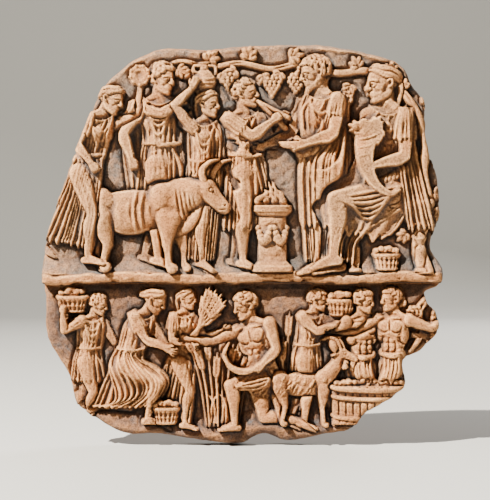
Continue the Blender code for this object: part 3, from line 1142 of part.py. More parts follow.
def priest(t):
    """A bearded elder in a long mantle who pours from a shallow bowl."""
    f = Figure(t, 60, 2, (50, 0, 3), ((10, 0, 2, 0), (-10, 0, -14, 0)))
    f.leg(1, (76, 20))
    f.leg(0, (78, 24))
    f.arm(1, (22, 0), (66, 10), "rest")
    f.trunk()
    f.skirt((f.ankle[1], -0.085, 0.0), (f.ankle[0], 0.06, 0.005), 22, folds=17, deep=2.6, start=0.1)
    f.bodice(2)
    f.dress([(f.shoulder[0], -0.055, 0), (f.heart, -0.135, 0), (f.pelvis, -0.14, 0),
             (f.knee[1], -0.125, -0.06)],
            [(f.shoulder[0], 0.03, 0.035), (f.waist, 0.02, 0.01), (f.pelvis, 0.11, 0),
             (f.knee[0], 0.09, -0.06)],
            folds=11, deep=2.0, seed=33, thick=1.7, soft=1.8, start=0.1, hem=1.8)
    for v in np.linspace(0, 1, 8):
        f.fold([(f.pelvis, 0.1 - 0.03 * v, 0.03 - 0.09 * v), (f.pelvis, 0.01, -0.045 - 0.09 * v),
                (f.pelvis, -0.08, 0.02 - 0.08 * v), (f.heart, -0.12 + 0.01 * v, -0.02 - 0.06 * v)], 0.95,
                1.5)
    f.roll([(f.pelvis, 0.105, 0.03, 0.035), (f.waist, 0.02, 0.085, -0.02), (f.heart, -0.05, 0.095, 0),
            (f.shoulder[0], -0.01, 0.085, 0.015)],
           0.03, 4, 1.6)
    x, y, z = f.arm(0, (8, 18), (70, 14), "rest", turn=6) + np.array([0.075, 0.015, -0.005]) * t
    f.sleeve(0, (8, 18), 35, 0.5)
    f.head(78, 3, 8, "short", beard=True, crown="wreath", seed=9)
    f.clay.lathe(x, [(z - 1.6, 2.2), (z - 0.6, 4.8), (z + 0.9, 6.2), (z + 1.3, 6.3)], 0.6, y, 0.1)
    f.clay.stroke([(x - 6, z + 0.4), (x + 6, z + 0.4)], 0.35, -0.5, even=True)
    return f.clay


def stool(clay, x, seat, half):
    """A stool with turned legs and a cushion. Half is half its width."""
    turning = ((0, 3.2), (0.04, 3.2), (0.06, 1.9), (0.14, 2.6), (0.35, 2.9), (0.4, 1.6), (0.5, 3.3),
               (0.6, 1.6), (0.72, 2.8), (0.92, 2.5))
    for s in (-0.78, 0.78):
        clay.lathe(x + s * half, [(z * seat, r) for z, r in turning], 0.8, 0.5, 0.1)
    clay.chain([(x - half, 1.2, seat - 3.2), (x + half, 1.2, seat - 3.2)], 2.0, 0.1)
    clay.chain([(x - half, 1.8, seat + 0.6), (x + half, 1.8, seat + 0.6)], 2.6, 0.1)
    for u in np.linspace(-0.89, 0.89, 9):
        clay.stroke([(x + u * half, seat + 3), (x + u * half + 0.6, seat - 1.5)], 0.35, -0.4)


def enthroned(t):
    """A seated woman with a horn of plenty."""
    f = Figure(t, 58, -2, (42, -4, 0), ((82, 22, 2, 0), (74, -6, -16, 0)), female=True)
    stool(f.clay, -0.02 * t, f.pelvis[2] - 0.07 * t, 0.17 * t)
    f.leg(1, (80, 10))
    f.leg(0, (76, 22))
    f.trunk()
    f.dress([(f.hip[0], -0.06, -0.07), (f.ankle[1], -0.1, 0.1), (f.ankle[1], -0.07, 0)],
            [(f.knee[0], 0.035, 0.02), (f.ankle[0], 0.045, 0.12), (f.ankle[0], 0.05, -0.005)],
            folds=15, deep=3.0, seed=52, start=0.1, thick=0.5, fan=0.5, hem=1.2)
    f.dress([(f.waist, -0.085, 0), (f.pelvis, -0.125, -0.02), (f.hip[0], -0.05, -0.13),
             (f.hip[0], 0.02, -0.2)],
            [(f.waist, 0.07, 0), (f.hip[0], 0.15, 0.075), (f.knee[0], 0.05, 0.03), (f.knee[0], 0.05, -0.13)],
            folds=8, deep=0.9, seed=55, thick=1.2, soft=1.8, hem=1.8)
    f.swags((f.knee[0], 0.03, 0.0), (f.hip[0], -0.09, 0.03), (0.0, 0.022, 0.043, 0.066, 0.087, 0.108), 0.8,
            1.7)
    for i in range(5):
        f.fold([(f.knee[0], 0.03 - 0.02 * i, -0.1), (f.ankle[0], 0.035 - 0.022 * i, 0.1),
                (f.ankle[0], 0.04 - 0.025 * i, 0.0)], 0.7, 1.1)
    f.bodice(58, folds=10)
    f.belt(0.012)
    f.roll([(f.waist, -0.09, 0.03, -0.02), (f.pelvis, 0, 0.09, 0.02), (f.hip[0], 0.09, 0.105, 0.045)], 0.022,
           4, 2)
    f.dress([(f.shoulder[0], -0.035, 0.035), (f.heart, -0.115, 0), (f.waist, -0.15, -0.02),
             (f.pelvis, -0.215, -0.17)],
            [(f.shoulder[0], 0.015, 0.035), (f.heart, -0.035, 0), (f.waist, -0.06, -0.02),
             (f.pelvis, -0.1, -0.18)],
            folds=6, deep=2.2, seed=61, thick=1.2, keep=0.3, hem=1.8)
    f.reach(1, f.near(f.knee[0], -0.05, 0.06), "rest")
    wrist = f.arm(0, (2, 14), (74, 22), "grip")
    f.sleeve(0, (2, 14), 63)
    f.head(70, 3, 4, "waves", crown="band", seed=18)
    way = ((-0.1, 0.0, -0.1), (-0.06, 0.0, -0.115), (0.0, 0.0, -0.075), (0.035, 0.0, 0.0), (0.04, 0.0, 0.07),
           (0.03, 0.0, 0.13))
    f.clay.chain([wrist + np.array(p) * t for p in way], (0.6, 1.3, 2.4, 3.7, 4.9, 6.0), 0.2)
    for v in np.linspace(0, 1, 6):
        p = wrist + np.array((0.036 * math.sin(2.2 * v + 0.2), 0, -0.055 + 0.17 * v)) * t
        half = 2.4 + 3.2 * v
        f.clay.stroke([(p[0] - half, p[2] + 1.4), (p[0], p[2] - 0.7), (p[0] + half, p[2] - 1.6)], 0.5, 1.3)
    x, y, z = wrist + np.array([0.032, 0.0, 0.14]) * t
    hoop(f.clay, x, z - 1, 6.0, y, 0.9)
    fruit(f.clay, x, z + 1, 2.2, 18, 5.6, y + 2.5, 5)
    grapes(f.clay, x - 5.5, z, 4.6, y + 2.5, 6)
    leaf(f.clay, x + 4, z + 1, 110, 5.5, y + 2)
    leaf(f.clay, x - 4, z + 2, -150, 5.5, y + 2)
    return f.clay


# The people of the lower scene

def basket_man(t):
    """A man who walks to +x with a full basket on his shoulder."""
    f = Figure(t, 55, 5, (48, 8, 3), ((18, 5, -8, 0), (-16, -4, -38, 0)))
    f.leg(1, (60, 0))
    f.leg(0, (86, 8))
    f.arm(1, (30, 5), (60, 15), "grip")
    f.trunk()
    tunic(f, 0.34, 71, 0.14)
    f.head(74, 5, 8, "short", seed=21)
    x, _, z = f.shoulder[0] + np.array([-0.07, 0, 0.06]) * t
    basket(f.clay, x, z, 0.11 * t, 0.12 * t, 1.5, 3)
    f.arm(0, (-60, 25), (-178, 20), "grip")
    f.sleeve(0, (-60, 25), 77, 0.5)
    return f.clay


def gatherer(t):
    """A woman on one knee who fills a basket."""
    f = Figure(t, 66, 14, (58, 20, 6), ((66, 10, -18, 0), (-2, -5, -88, 0)), female=True)
    f.leg(1, (-60, 0))
    f.leg(0, (86, 10))
    f.arm(1, (34, 0), (62, 10), "rest")
    f.trunk()
    f.skirt((f.ankle[1], 0, 0), (f.ankle[0], 0.05, 0.06), 81, folds=10, start=0.1, keep=0.35)
    f.dress([(f.waist, -0.085, 0.01), (f.pelvis, -0.12, -0.02), (f.knee[1], -0.09, 0.04),
             (f.ankle[1], 0, 0)],
            [(f.waist, 0.07, -0.02), (f.hip[0], 0.1, 0.055), (f.knee[0], 0.06, 0.02),
             (f.ankle[0], 0.05, 0.06)],
            folds=12, deep=3.0, seed=83, thick=0.8, start=0.1)
    f.bodice(84, folds=8)
    f.belt()
    f.arm(0, (28, 20), (66, 22), "open")
    f.sleeve(0, (28, 20), 87)
    f.head(80, 14, 12, "bun", crown="band", seed=23)
    return f.clay


def sheaf_woman(t):
    """A woman walking to +x who carries a sheaf in both arms."""
    f = Figure(t, 50, 3, (42, 2, 2), ((22, 5, -10, 0), (-14, -4, -34, 0)), female=True)
    f.leg(1, (62, 5))
    f.leg(0, (80, 14))
    f.trunk()
    f.skirt((f.ankle[1], -0.09, 0.02), (f.ankle[0], 0.05, 0.0), 101, hem=1.6)
    f.bodice(104, low=-0.07, hem=1.8, thick=1.1)
    f.belt(0.011)
    f.head(64, -2, 4, "waves", seed=31)
    tie = f.waist + np.array([0.06 * t, 4.0, 0.03 * t])
    for n in range(-4, 5):
        d = direction(150 + 5 * n, 4)
        off = np.array([0.75 * n, 0, 0])
        top = tie + d * (13.0 + 4.0 * (n % 2)) + off + np.array([0, 0.9 * (n % 2), 0])
        f.clay.chain([tie - direction(150 - 4 * n) * 13 - off * 0.4, tie + off * 0.5 + np.array([0, 0.6, 0]),
                      top], 0.6, 0.0)
        wheat_ear(f.clay, top, d)
    f.clay.rolled([tie + np.array([-3.4, 1.4, 1.4]), tie + np.array([0, 2.4, 0.2]),
                   tie + np.array([3.6, 1.4, -1.0])], 1.1, 2, 2)
    f.arm(1, (30, 20), (110, 20), "rest")
    f.arm(0, (-4, 20), (72, 24), "open")
    f.sleeve(0, (-4, 20), 107)
    return f.clay


def reaper(t):
    """A bare-chested man on one knee who cuts wheat with a sickle."""
    f = Figure(t, 56, 10, (36, 12, 4), ((78, 16, -8, 0), (-8, -6, -84, 0)))
    f.leg(1, (-70, 0))
    f.leg(0, (86, 12))
    f.arm(1, (68, 5), (96, 10), "grip")
    f.trunk(bare=True)
    f.dress([(f.waist, -0.085, -0.02), (f.pelvis, -0.12, -0.02), (f.knee[1], -0.06, 0.1)],
            [(f.waist, 0.07, -0.045), (f.hip[0], 0.11, 0.05), (f.knee[0], -0.03, -0.01)], folds=8, deep=1.2,
            seed=91, soft=1.8, hem=1.8)
    f.swags((f.knee[0], -0.03, 0.0), (f.pelvis, -0.09, 0.0), (0.0, 0.025, 0.05, 0.075), 0.85, 1.7)
    f.roll([(f.waist, -0.085, 0.045, -0.03), (f.waist, 0, 0.095, -0.055), (f.waist, 0.075, 0.045, -0.055)],
           0.02, 3, 2)
    wrist = f.arm(0, (-16, 22), (44, 26), "grip")
    f.head(66, 8, 8, "curls", seed=27)
    blade = ((-0.01, 0.06, 0.01), (0.05, 0.06, -0.03), (0.13, 0.05, -0.045), (0.2, 0.05, -0.005),
             (0.225, 0.04, 0.06), (0.2, 0.04, 0.12))
    f.clay.chain([wrist + np.array(p) * t for p in blade], (1.0, 1.1, 1.5, 1.3, 1.0, 0.45), 0.1)
    return f.clay


def carrier(t):
    """A youth who lifts a basket in front of him."""
    f = Figure(t, 58, 6, (50, 10, 4), ((12, 5, -10, 0), (-12, -4, -26, 0)))
    f.leg(1, (66, 0))
    f.leg(0, (82, 10))
    f.arm(1, (96, 0), (132, 0), "grip")
    f.trunk()
    tunic(f, 0.33, 111)
    f.head(76, 6, 2, "curls", crown="band", seed=41)
    x, _, z = f.neck + np.array([0.2, 0, -0.02]) * t
    basket(f.clay, x, z, 0.1 * t, 0.12 * t, 1.0, 8)
    f.arm(0, (46, 24), (108, 16), "grip")
    f.sleeve(0, (46, 24), 117, 0.5)
    return f.clay


def treader(t, arm_back, seed):
    """A man treading grapes in a loincloth, one knee lifted."""
    f = Figure(t, 46, -4, (34, -2, 2), ((38, 14, -22, 0), (-4, -4, -8, 0)))
    f.arm(1, (60, 0), (84, 0), "open")
    f.leg(1, (70, 10))
    f.leg(0, (74, 10))
    f.trunk(bare=True)
    f.dress([(f.waist, -0.075, -0.03), (f.pelvis, -0.11, -0.03), (f.pelvis, -0.08, -0.16)],
            [(f.waist, 0.07, -0.04), (f.hip[0], 0.1, 0), (f.hip[0], 0.13, -0.12)], folds=7, deep=2.6,
            seed=seed, soft=1.6, hem=1.6)
    f.roll([(f.waist, -0.075, 0.035, -0.035), (f.waist, 0, 0.1, -0.055), (f.waist, 0.07, 0.035, -0.045)],
           0.018, 3, 2)
    if arm_back:
        f.arm(0, (-70, 10), (-120, 10), "open")
    else:
        f.arm(0, (-36, 15), (26, 20), "rest")
    f.head(62, 0, 6, "curls", crown="wreath", seed=seed)
    return f.clay


# The face of the panel

def smooth_noise(shape, size, seed):
    """Noise from -1 to 1 with bumps of about the given size."""
    coarse = np.random.RandomState(seed).uniform(-1, 1, 2 * (int(1.1 * DRAWN_WIDTH / size) + 3,))
    row = np.arange(shape[0]) * STEP / size
    column = np.arange(shape[1]) * STEP / size
    i, j = row.astype(int), column.astype(int)
    a, b = (row - i)[:, None], (column - j)[None, :]
    a, b = a * a * (3 - 2 * a), b * b * (3 - 2 * b)
    low = coarse[i][:, j] * (1 - b) + coarse[i][:, j + 1] * b
    high = coarse[i + 1][:, j] * (1 - b) + coarse[i + 1][:, j + 1] * b
    return low * (1 - a) + high * a


def outline():
    """The panel's edge as a closed loop of (x, z), clockwise from the top."""
    key = np.array([(x * DRAWN_WIDTH / 2, 0.0, z * DRAWN_HEIGHT / 2) for x, z in EDGE])
    path = through(np.vstack([key[-1:], key, key[:2]]), 1.0)[:-1, [0, 2]]
    rng = np.random.RandomState(17)
    chips = np.zeros(len(path))
    for size, depth in ((3, 0.18), (7, 0.25), (13, 0.25)):
        knots = rng.uniform(-1, 1, len(path) // size)
        chips += depth * np.interp(np.linspace(0, len(knots), len(path)), np.arange(len(knots) + 1),
                                   np.append(knots, knots[0]))
    path = path + chips[:, None] * outward(path)
    low, high = path.min(axis=0), path.max(axis=0)
    return (path - (low + high) / 2) / (high - low) * (DRAWN_WIDTH, DRAWN_HEIGHT)


def outward(loop):
    """At each point of a clockwise loop, the direction straight out of it."""
    along = np.roll(loop, -2, axis=0) - np.roll(loop, 2, axis=0)
    return np.column_stack([-along[:, 1], along[:, 0]]) / np.linalg.norm(along, axis=1)[:, None]


def depth_inside(loop, x, z, reach):
    """How far each point of a grid lies inside a loop, up to reach, and below 0 outside it."""
    gx, gz = np.meshgrid(x, z)
    inside = np.zeros(gx.shape, bool)
    for (x0, z0), (x1, z1) in zip(loop, np.roll(loop, -1, axis=0)):
        rows = slice(*np.searchsorted(z, sorted((z0, z1))))
        level = z[rows][:, None]
        if level.size:
            inside[rows] ^= x[None, :] < (x1 - x0) * (level - z0) / (z1 - z0) + x0
    away = np.full(gx.shape, reach)
    half = int(reach / STEP) + 1
    for px, pz in curve(np.column_stack([loop[:, 0], np.zeros(len(loop)), loop[:, 1]]), 0.5)[:, [0, 2]]:
        j, i = int((px - x[0]) / STEP), int((pz - z[0]) / STEP)
        rows, columns = slice(max(0, i - half), i + half + 1), slice(max(0, j - half), j + half + 1)
        part = away[rows, columns]
        np.minimum(part, np.hypot(gx[rows, columns] - px, gz[rows, columns] - pz), out=part)
    return np.where(inside, away, -away)


def capped(value, most):
    """A value brought smoothly under the most that it may be, up or down."""
    return most * np.tanh(value / most)


def tooled(y, radius, lift, cut):
    """Cuts the valleys between forms deeper, at most by cut, and raises their backs, at most by lift."""
    d = SHARPENING * (y - blurred(y, radius / STEP))
    return y + np.where(d < 0, capped(d, cut), capped(d, lift))


def for_thinning(y):
    """The carving with its high steps pressed down, so that thinning keeps more of its fine lines."""
    return sum(weight * capped(y - blurred(y, reach / STEP), most) for reach, most, weight in PRESSED)


class Face:
    """The whole front of the panel, as heights above its ground."""

    def __init__(self):
        self.clay = Clay(-DRAWN_WIDTH / 2 - 1, DRAWN_WIDTH / 2 + 1, -DRAWN_HEIGHT / 2 - 1,
                         DRAWN_HEIGHT / 2 + 1)
        self.x, self.z = self.clay.grid()
        shape = self.clay.y.shape
        x, z = np.meshgrid(self.x, self.z)
        above = z > LEDGE_FOOT
        ground = 0.5 * smooth_noise(shape, 22, 1) + 0.25 * smooth_noise(shape, 7, 2)
        # both floors come forward towards their front edge
        crest = LEDGE_TOP + 8.0 + 1.6 * smooth_noise(shape, 26, 5)
        ground += np.where(above, 0.62 * LEDGE_OUT * np.clip((crest - z) / 7.5, 0, 1) ** 0.8, 0)
        low = -84 + 3 * np.sin(x / 17)
        ground += np.where(above, 0, 3.5 * np.clip((low - z) / 9, 0, 1))
        self.ground = ground
        self.clay.y[:] = ground
        self.ledge(x, z)

    def ledge(self, x, z):
        """The strip that the upper scene stands on, with a shadow cut under it."""
        shape = z.shape
        wave = 0.7 * np.sin(x / 11) + 0.7 * smooth_noise(shape, 12, 8)
        top = LEDGE_TOP + wave + 0.6 * smooth_noise(shape, 5, 7)
        foot = LEDGE_FOOT + wave + 0.5 * smooth_noise(shape, 6, 10)
        middle, half = (top + foot) / 2, (top - foot) / 2
        swell = np.sqrt(np.clip(1 - np.abs((z - middle) / half) ** 2.5, 0, 1))
        front = LEDGE_OUT * (0.6 + 0.4 * swell) + 0.35 * smooth_noise(shape, 4, 9)
        y = self.clay.y
        y[:] = np.where((z < top) & (z > foot), np.maximum(y, front), y)
        y -= np.where(z <= foot, 1.8 * np.clip((z - foot + 11) / 11, 0, 1) ** 2, 0)

    def place(self, clay, x, z, lift=1.0, squash=0.74, flip=False):
        """Presses a form into the face with its zero at (x, z). A groove sets it off from what is behind."""
        source = clay.mirrored() if flip else clay
        face = self.clay
        dj = round(x / STEP) + source.j0 - face.j0
        di = round(z / STEP) + source.i0 - face.i0
        rows, columns = source.y.shape
        i0, j0 = max(0, di), max(0, dj)
        i1, j1 = min(face.y.shape[0], di + rows), min(face.y.shape[1], dj + columns)
        own = source.y[i0 - di : i1 - di, j0 - dj : j1 - dj]
        there = face.y[i0:i1, j0:j1]
        ground = self.ground[i0:i1, j0:j1]
        behind = blurred(there - ground, 3.0 / STEP)
        y = lift + squash * own + 0.35 * behind
        on = (own > EMPTY / 2) & (y > -0.5)
        # large forms are held under the highest relief and small ones keep their height
        share = blurred(on.astype(float), 4.0 / STEP) + 1e-3
        broad = blurred(np.where(on, y, 0), 4.0 / STEP) / share
        y = BROAD_TOP * np.tanh(broad / BROAD_TOP) + FINE_TOP * np.tanh(FINE_GAIN * (y - broad) / FINE_TOP)
        near = blurred(on.astype(float), 0.9 / STEP)
        groove = there - GROOVE * np.clip(2.2 * near, 0, 1)
        face.y[i0:i1, j0:j1] = np.where(on, np.maximum(y, 0.8) + ground, groove)

    def fill(self):
        """Sets every form in its place, from the farthest to the nearest."""
        g = LEDGE_TOP + 1.6
        self.place(climbing_vine(), 87, g, lift=0.6)
        self.place(piper(92), 2, g + 1, lift=0.2)
        self.place(herdsman(99), -40, g + 2, lift=0.2)
        self.place(jug_bearer(87), -19, g + 1, lift=0.6)
        self.place(ox(43), -51, g, lift=1.6, squash=0.78)
        self.place(dancer(92), -79, g + 3, lift=1.4)
        self.place(altar(33, 8.5), 15, g - 1, lift=1.5)
        self.place(priest(106), 40, g - 1, lift=1.4, flip=True)
        self.place(full_basket(), 72, g - 0.5, lift=0.6)
        self.place(enthroned(124), 70, g - 1, lift=1.2, flip=True)
        low = -91.0
        self.place(vine_end(), 86, -30, lift=0.6)
        self.place(standing_wheat(), 23, low + 8, lift=0.3)
        self.place(basket_man(67), -77, low - 1, lift=0.8)
        self.place(sheaf_woman(70), -30, low - 1, lift=0.8)
        self.place(gatherer(82), -57, low + 1, lift=1.4)
        self.place(full_basket(), -38, low + 1, lift=2.0)
        self.place(standing_wheat(), -10, low, lift=0.8)
        self.place(carrier(69), 32, low - 1, lift=0.4)
        self.place(reaper(84), 10, low - 2, lift=1.4, flip=True)
        self.place(treader(75, False, 35), 60, low - 8, lift=0.8)
        self.place(treader(75, True, 44), 75, low - 7, lift=0.8, flip=True)
        self.place(goat(29), 32, low, lift=1.4)
        self.place(vat(40, 19), 64, low + 1, lift=1.8)
        return self

    def finish(self, loop, soften):
        """Softens the carving, raises the lip along the top edge and rounds the face off at its edge."""
        inside = depth_inside(loop, self.x, self.z, EDGE_REACH)
        y = blurred(self.clay.y, soften / STEP)
        over = np.clip(y - SOFT_TOP, 0, None) / (DRAWN_DEPTH - SOFT_TOP)
        y = np.minimum(y, SOFT_TOP) + (DRAWN_DEPTH - SOFT_TOP) * np.tanh(over)
        y = tooled(tooled(y, *BROAD_TOOL), *FINE_TOOL)
        y = np.minimum(y, DRAWN_DEPTH)
        shape = y.shape
        high = np.clip((self.z[:, None] - 60) / 20, 0, 1) * (0.75 + 0.5 * smooth_noise(shape, 9, 12))
        inset = LIP_WIDTH * (1.7 + 0.5 * smooth_noise(shape, 7, 13))
        y += LIP_OUT * high * np.exp(-(((inside - inset) / LIP_WIDTH) ** 2))
        edge = EDGE_WIDTH * (1 + 0.35 * smooth_noise(shape, 6, 14))
        fall = np.clip(1 - np.clip(inside, 0, None) / edge, 0, 1)
        return y, y - EDGE_OUT * (1 - np.sqrt(1 - fall**2)), inside


# The solid

def sampled(field, face, points):
    """A grid's values at points (x, z)."""
    column = (points[:, 0] - face.x[0]) / STEP
    row = (points[:, 1] - face.z[0]) / STEP
    i, j = row.astype(int), column.astype(int)
    a, b = row - i, column - j
    low = field[i, j] * (1 - b) + field[i, j + 1] * b
    high = field[i + 1, j] * (1 - b) + field[i + 1, j + 1] * b
    return low * (1 - a) + high * a


def spaced_loop(loop, spacing):
    """A closed loop as evenly spaced points, anticlockwise."""
    closed = np.vstack([loop, loop[:1]])[::-1]
    run = np.concatenate([[0], np.cumsum(np.hypot(*np.diff(closed, axis=0).T))])
    want = np.linspace(0, run[-1], int(run[-1] / spacing))[:-1]
    path = np.column_stack([np.interp(want, run, closed[:, 0]), np.interp(want, run, closed[:, 1])])
    return path * (DRAWN_WIDTH, DRAWN_HEIGHT) / np.ptp(path, axis=0)


def triangles_between(points, rim):
    """Triangles over points (x, z) whose first ones are a closed rim."""
    found = delaunay_2d_cdt([tuple(p) for p in points], [], [list(range(rim))], 1, 1e-6)
    source = [ids[0] for ids in found[3]]
    return [tuple(source[i] for i in corners) for corners in found[2]]


def cells_inside(face, inside, margin):
    """Grid points at least a margin inside the outline."""
    across = np.arange(face.x[0] + 1, face.x[-1] - 1, MESH_SPACING)
    up = np.arange(face.z[0] + 1, face.z[-1] - 1, MESH_SPACING)
    cells = np.stack(np.meshgrid(across, up), axis=-1).reshape(-1, 2)
    return cells[sampled(inside, face, cells) > margin]


def placed(points, out):
    """Points (x, z) on the face, and how far out each one is in drawn units, as places in metres."""
    return np.column_stack([points[:, 0] * ACROSS, -(SLAB_DEPTH + out * OUT), points[:, 1] * UP])


def band(first, second):
    """Triangles between two rings of point numbers."""
    out = []
    for a, b, c, d in zip(first, first[1:] + first[:1], second, second[1:] + second[:1]):
        out += [(c, d, b), (c, b, a)]
    return out


def places_of(mesh):
    place = np.empty(len(mesh.vertices) * 3)
    mesh.vertices.foreach_get("co", place)
    return place.reshape(-1, 3)


def new_mesh(points, faces):
    mesh = bpy.data.meshes.new("relief_panel")
    mesh.from_pydata(points.tolist(), [], faces)
    return mesh


def thinned(mesh, triangles):
    """A sheet's places and triangles after thinning, closest together where it is busiest."""
    item = bpy.data.objects.new("relief_panel", mesh)
    bpy.context.scene.collection.objects.link(item)
    thin = item.modifiers.new("thin", "DECIMATE")
    thin.ratio = min(1, triangles / len(mesh.polygons))
    result = bpy.data.meshes.new_from_object(item.evaluated_get(bpy.context.evaluated_depsgraph_get()))
    faces = [tuple(f.vertices) for f in result.polygons]
    bpy.data.objects.remove(item)
    return places_of(result), faces


def border(faces):
    """The numbers of a sheet's border points, in order."""
    edges = {edge for f in faces for edge in zip(f, f[1:] + f[:1])}
    follows = {a: b for a, b in edges if (b, a) not in edges}
    first = min(follows)
    loop = [first]
    while follows[loop[-1]] != first:
        loop.append(follows[loop[-1]])
    return loop


def front_sheet(face, loop, smooth, field, inside):
    """The front as a thinned sheet: its points, how far out they are, its triangles and its border.
    It is thinned with its high steps pressed down, and then each point goes to its true height."""
    rim = spaced_loop(loop, MESH_SPACING)
    cells = cells_inside(face, inside, 0.6 * MESH_SPACING)
    points = np.vstack([rim, cells])
    low = placed(points, np.concatenate([np.zeros(len(rim)), sampled(for_thinning(field), face, cells)]))
    place, faces = thinned(new_mesh(low, triangles_between(points, len(rim))), FRONT_TRIANGLES)
    points = np.column_stack([place[:, 0] / ACROSS, place[:, 2] / UP])
    out = sampled(field, face, points)
    edge = border(faces)
    out[edge] = sampled(smooth, face, RIM_INSET * points[edge]) - EDGE_OUT
    return points, out, faces, edge


def full_mesh(face, loop, smooth, field, inside):
    """The front, the rim round it and the flat back as one closed mesh."""
    points, out, faces, edge = front_sheet(face, loop, smooth, field, inside)
    rim = points[edge]
    ring = placed(rim, out[edge])
    ring[:, 1] = -BACK_RADIUS
    inner = rim + BACK_RADIUS / ACROSS * outward(rim)  # the rim runs anticlockwise, so this goes inwards
    back = placed(inner, out[edge])
    back[:, 1] = 0.0
    first = len(points)
    second = first + len(rim)
    third = second + len(rim)
    faces += band(edge, list(range(first, second))) + band(list(range(first, second)),
                                                           list(range(second, third)))
    faces += [tuple(second + i for i in t[::-1]) for t in triangles_between(inner, len(rim))]
    return new_mesh(np.vstack([placed(points, out), ring, back]), faces)


def unfold(mesh, face, field):
    """Where thinning has folded the front over itself, moves its points back among their neighbours."""
    form = bmesh.new()
    form.from_mesh(mesh)
    form.verts.ensure_lookup_table()
    for _ in range(UNFOLDING):
        form.normal_update()
        folded = {v for f in form.faces if f.normal.y > -STEEPEST for v in f.verts
                  if all(w.co.y < -SLAB_DEPTH / 2 for g in v.link_faces for w in g.verts)}
        for v in sorted(folded, key=lambda v: v.index):
            near = [e.other_vert(v).co for e in v.link_edges]
            x = (v.co.x + sum(c.x for c in near)) / (len(near) + 1)
            z = (v.co.z + sum(c.z for c in near)) / (len(near) + 1)
            out = sampled(field, face, np.array([[x / ACROSS, z / UP]]))[0]
            v.co = (x, -(SLAB_DEPTH + out * OUT), z)
        if not folded:
            break
    form.to_mesh(mesh)
    form.free()


def fitted(mesh):
    """Brings the thinned form to its exact sizes, with its back flat."""
    place = np.array([v.co for v in mesh.vertices])
    low, high = place.min(axis=0), place.max(axis=0)
    middle = (low + high) / 2
    place[:, 0] = (place[:, 0] - middle[0]) * PANEL_WIDTH / (high[0] - low[0])
    place[:, 2] = (place[:, 2] - middle[2]) * PANEL_HEIGHT / (high[2] - low[2])
    place[place[:, 1] > -FLAT_SHARE * BACK_RADIUS, 1] = 0.0
    front = place[:, 1] < -SLAB_DEPTH
    place[front, 1] = -SLAB_DEPTH + (place[front, 1] + SLAB_DEPTH) * RELIEF_DEPTH / (-SLAB_DEPTH - low[1])
    for vertex, at in zip(mesh.vertices, place):
        vertex.co = at


def terracotta():
    material = bpy.data.materials.new("terracotta")
    material.use_nodes = True
    shader = material.node_tree.nodes["Principled BSDF"]
    shader.inputs["Base Color"].default_value = CLAY_COLOUR
    shader.inputs["Roughness"].default_value = CLAY_ROUGHNESS
    return material


def build():
    for old in list(bpy.data.objects):
        bpy.data.objects.remove(old)
    face = Face().fill()
    loop = outline()
    smooth, field, inside = face.finish(loop, SOFTEN)
    panel = bpy.data.objects.new("relief_panel", full_mesh(face, loop, smooth, field, inside))
    bpy.context.scene.collection.objects.link(panel)
    unfold(panel.data, face, field)
    fitted(panel.data)
    panel.data.materials.append(terracotta())


build()
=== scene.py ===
"""The terracotta relief panel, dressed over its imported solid."""
import math

import bpy
import numpy as np
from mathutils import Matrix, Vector
from mathutils.geometry import delaunay_2d_cdt

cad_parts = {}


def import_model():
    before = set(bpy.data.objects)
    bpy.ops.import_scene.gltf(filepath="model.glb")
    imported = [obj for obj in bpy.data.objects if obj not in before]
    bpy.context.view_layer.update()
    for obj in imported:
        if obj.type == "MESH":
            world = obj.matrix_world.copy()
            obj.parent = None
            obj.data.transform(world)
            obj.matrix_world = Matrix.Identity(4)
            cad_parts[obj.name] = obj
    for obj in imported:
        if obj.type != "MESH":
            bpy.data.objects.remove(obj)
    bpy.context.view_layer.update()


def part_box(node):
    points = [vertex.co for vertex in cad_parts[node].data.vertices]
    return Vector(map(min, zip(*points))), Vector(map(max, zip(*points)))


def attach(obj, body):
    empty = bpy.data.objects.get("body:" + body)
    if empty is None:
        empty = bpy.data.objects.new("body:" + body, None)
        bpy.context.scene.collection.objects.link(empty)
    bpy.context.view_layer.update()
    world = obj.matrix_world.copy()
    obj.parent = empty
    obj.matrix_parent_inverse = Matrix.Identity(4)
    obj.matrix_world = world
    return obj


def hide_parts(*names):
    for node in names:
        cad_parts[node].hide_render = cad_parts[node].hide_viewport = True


# Sizes in metres, as in the solid
PANEL_WIDTH = 0.2
PANEL_HEIGHT = 0.1995
SLAB_DEPTH = 0.012
RELIEF_DEPTH = 0.0105
LEDGE_DEPTH = 0.007
LEDGE_HEIGHT = 0.005
LEDGE_DROP = 0.017
LIP_RADIUS = 0.001
EDGE_RADIUS = 0.003
BACK_RADIUS = 0.0012
LIP_RISE = 1.3  # the raised line's height as a share of its radius
RIM_UNEVEN = 0.0007  # how far the rim is cut in
BACK_UNEVEN = 0.0006  # how deep the hand marks in the back are

# How fine the carving is, in drawn units, and how many triangles the piece may take
STEP = 0.2
SOFTEN = 0.08
MESH_SPACING = 0.28
BACK_SPACING = 2.2
FRONT_TRIANGLES = 172_000
PRESSED = ((0.8, 0.5, 1.4), (3.0, 2.0, 0.4))  # for thinning: the reach of forms, their most and weight
RIM_STEPS = (0.14, 0.28, 0.42, 0.56, 0.7, 0.82, 0.91, 1.0)  # from the front's edge to the back

# The photograph: its size, the panel's middle in it, and the metres that a pixel covers there
PICTURE_WIDTH, PICTURE_HEIGHT = 490, 500
PANEL_CENTRE = (242.3, 243.6)
PIXEL = 0.0005
CAMERA_DISTANCE = 0.85
SENSOR_WIDTH = 36.0  # millimetres

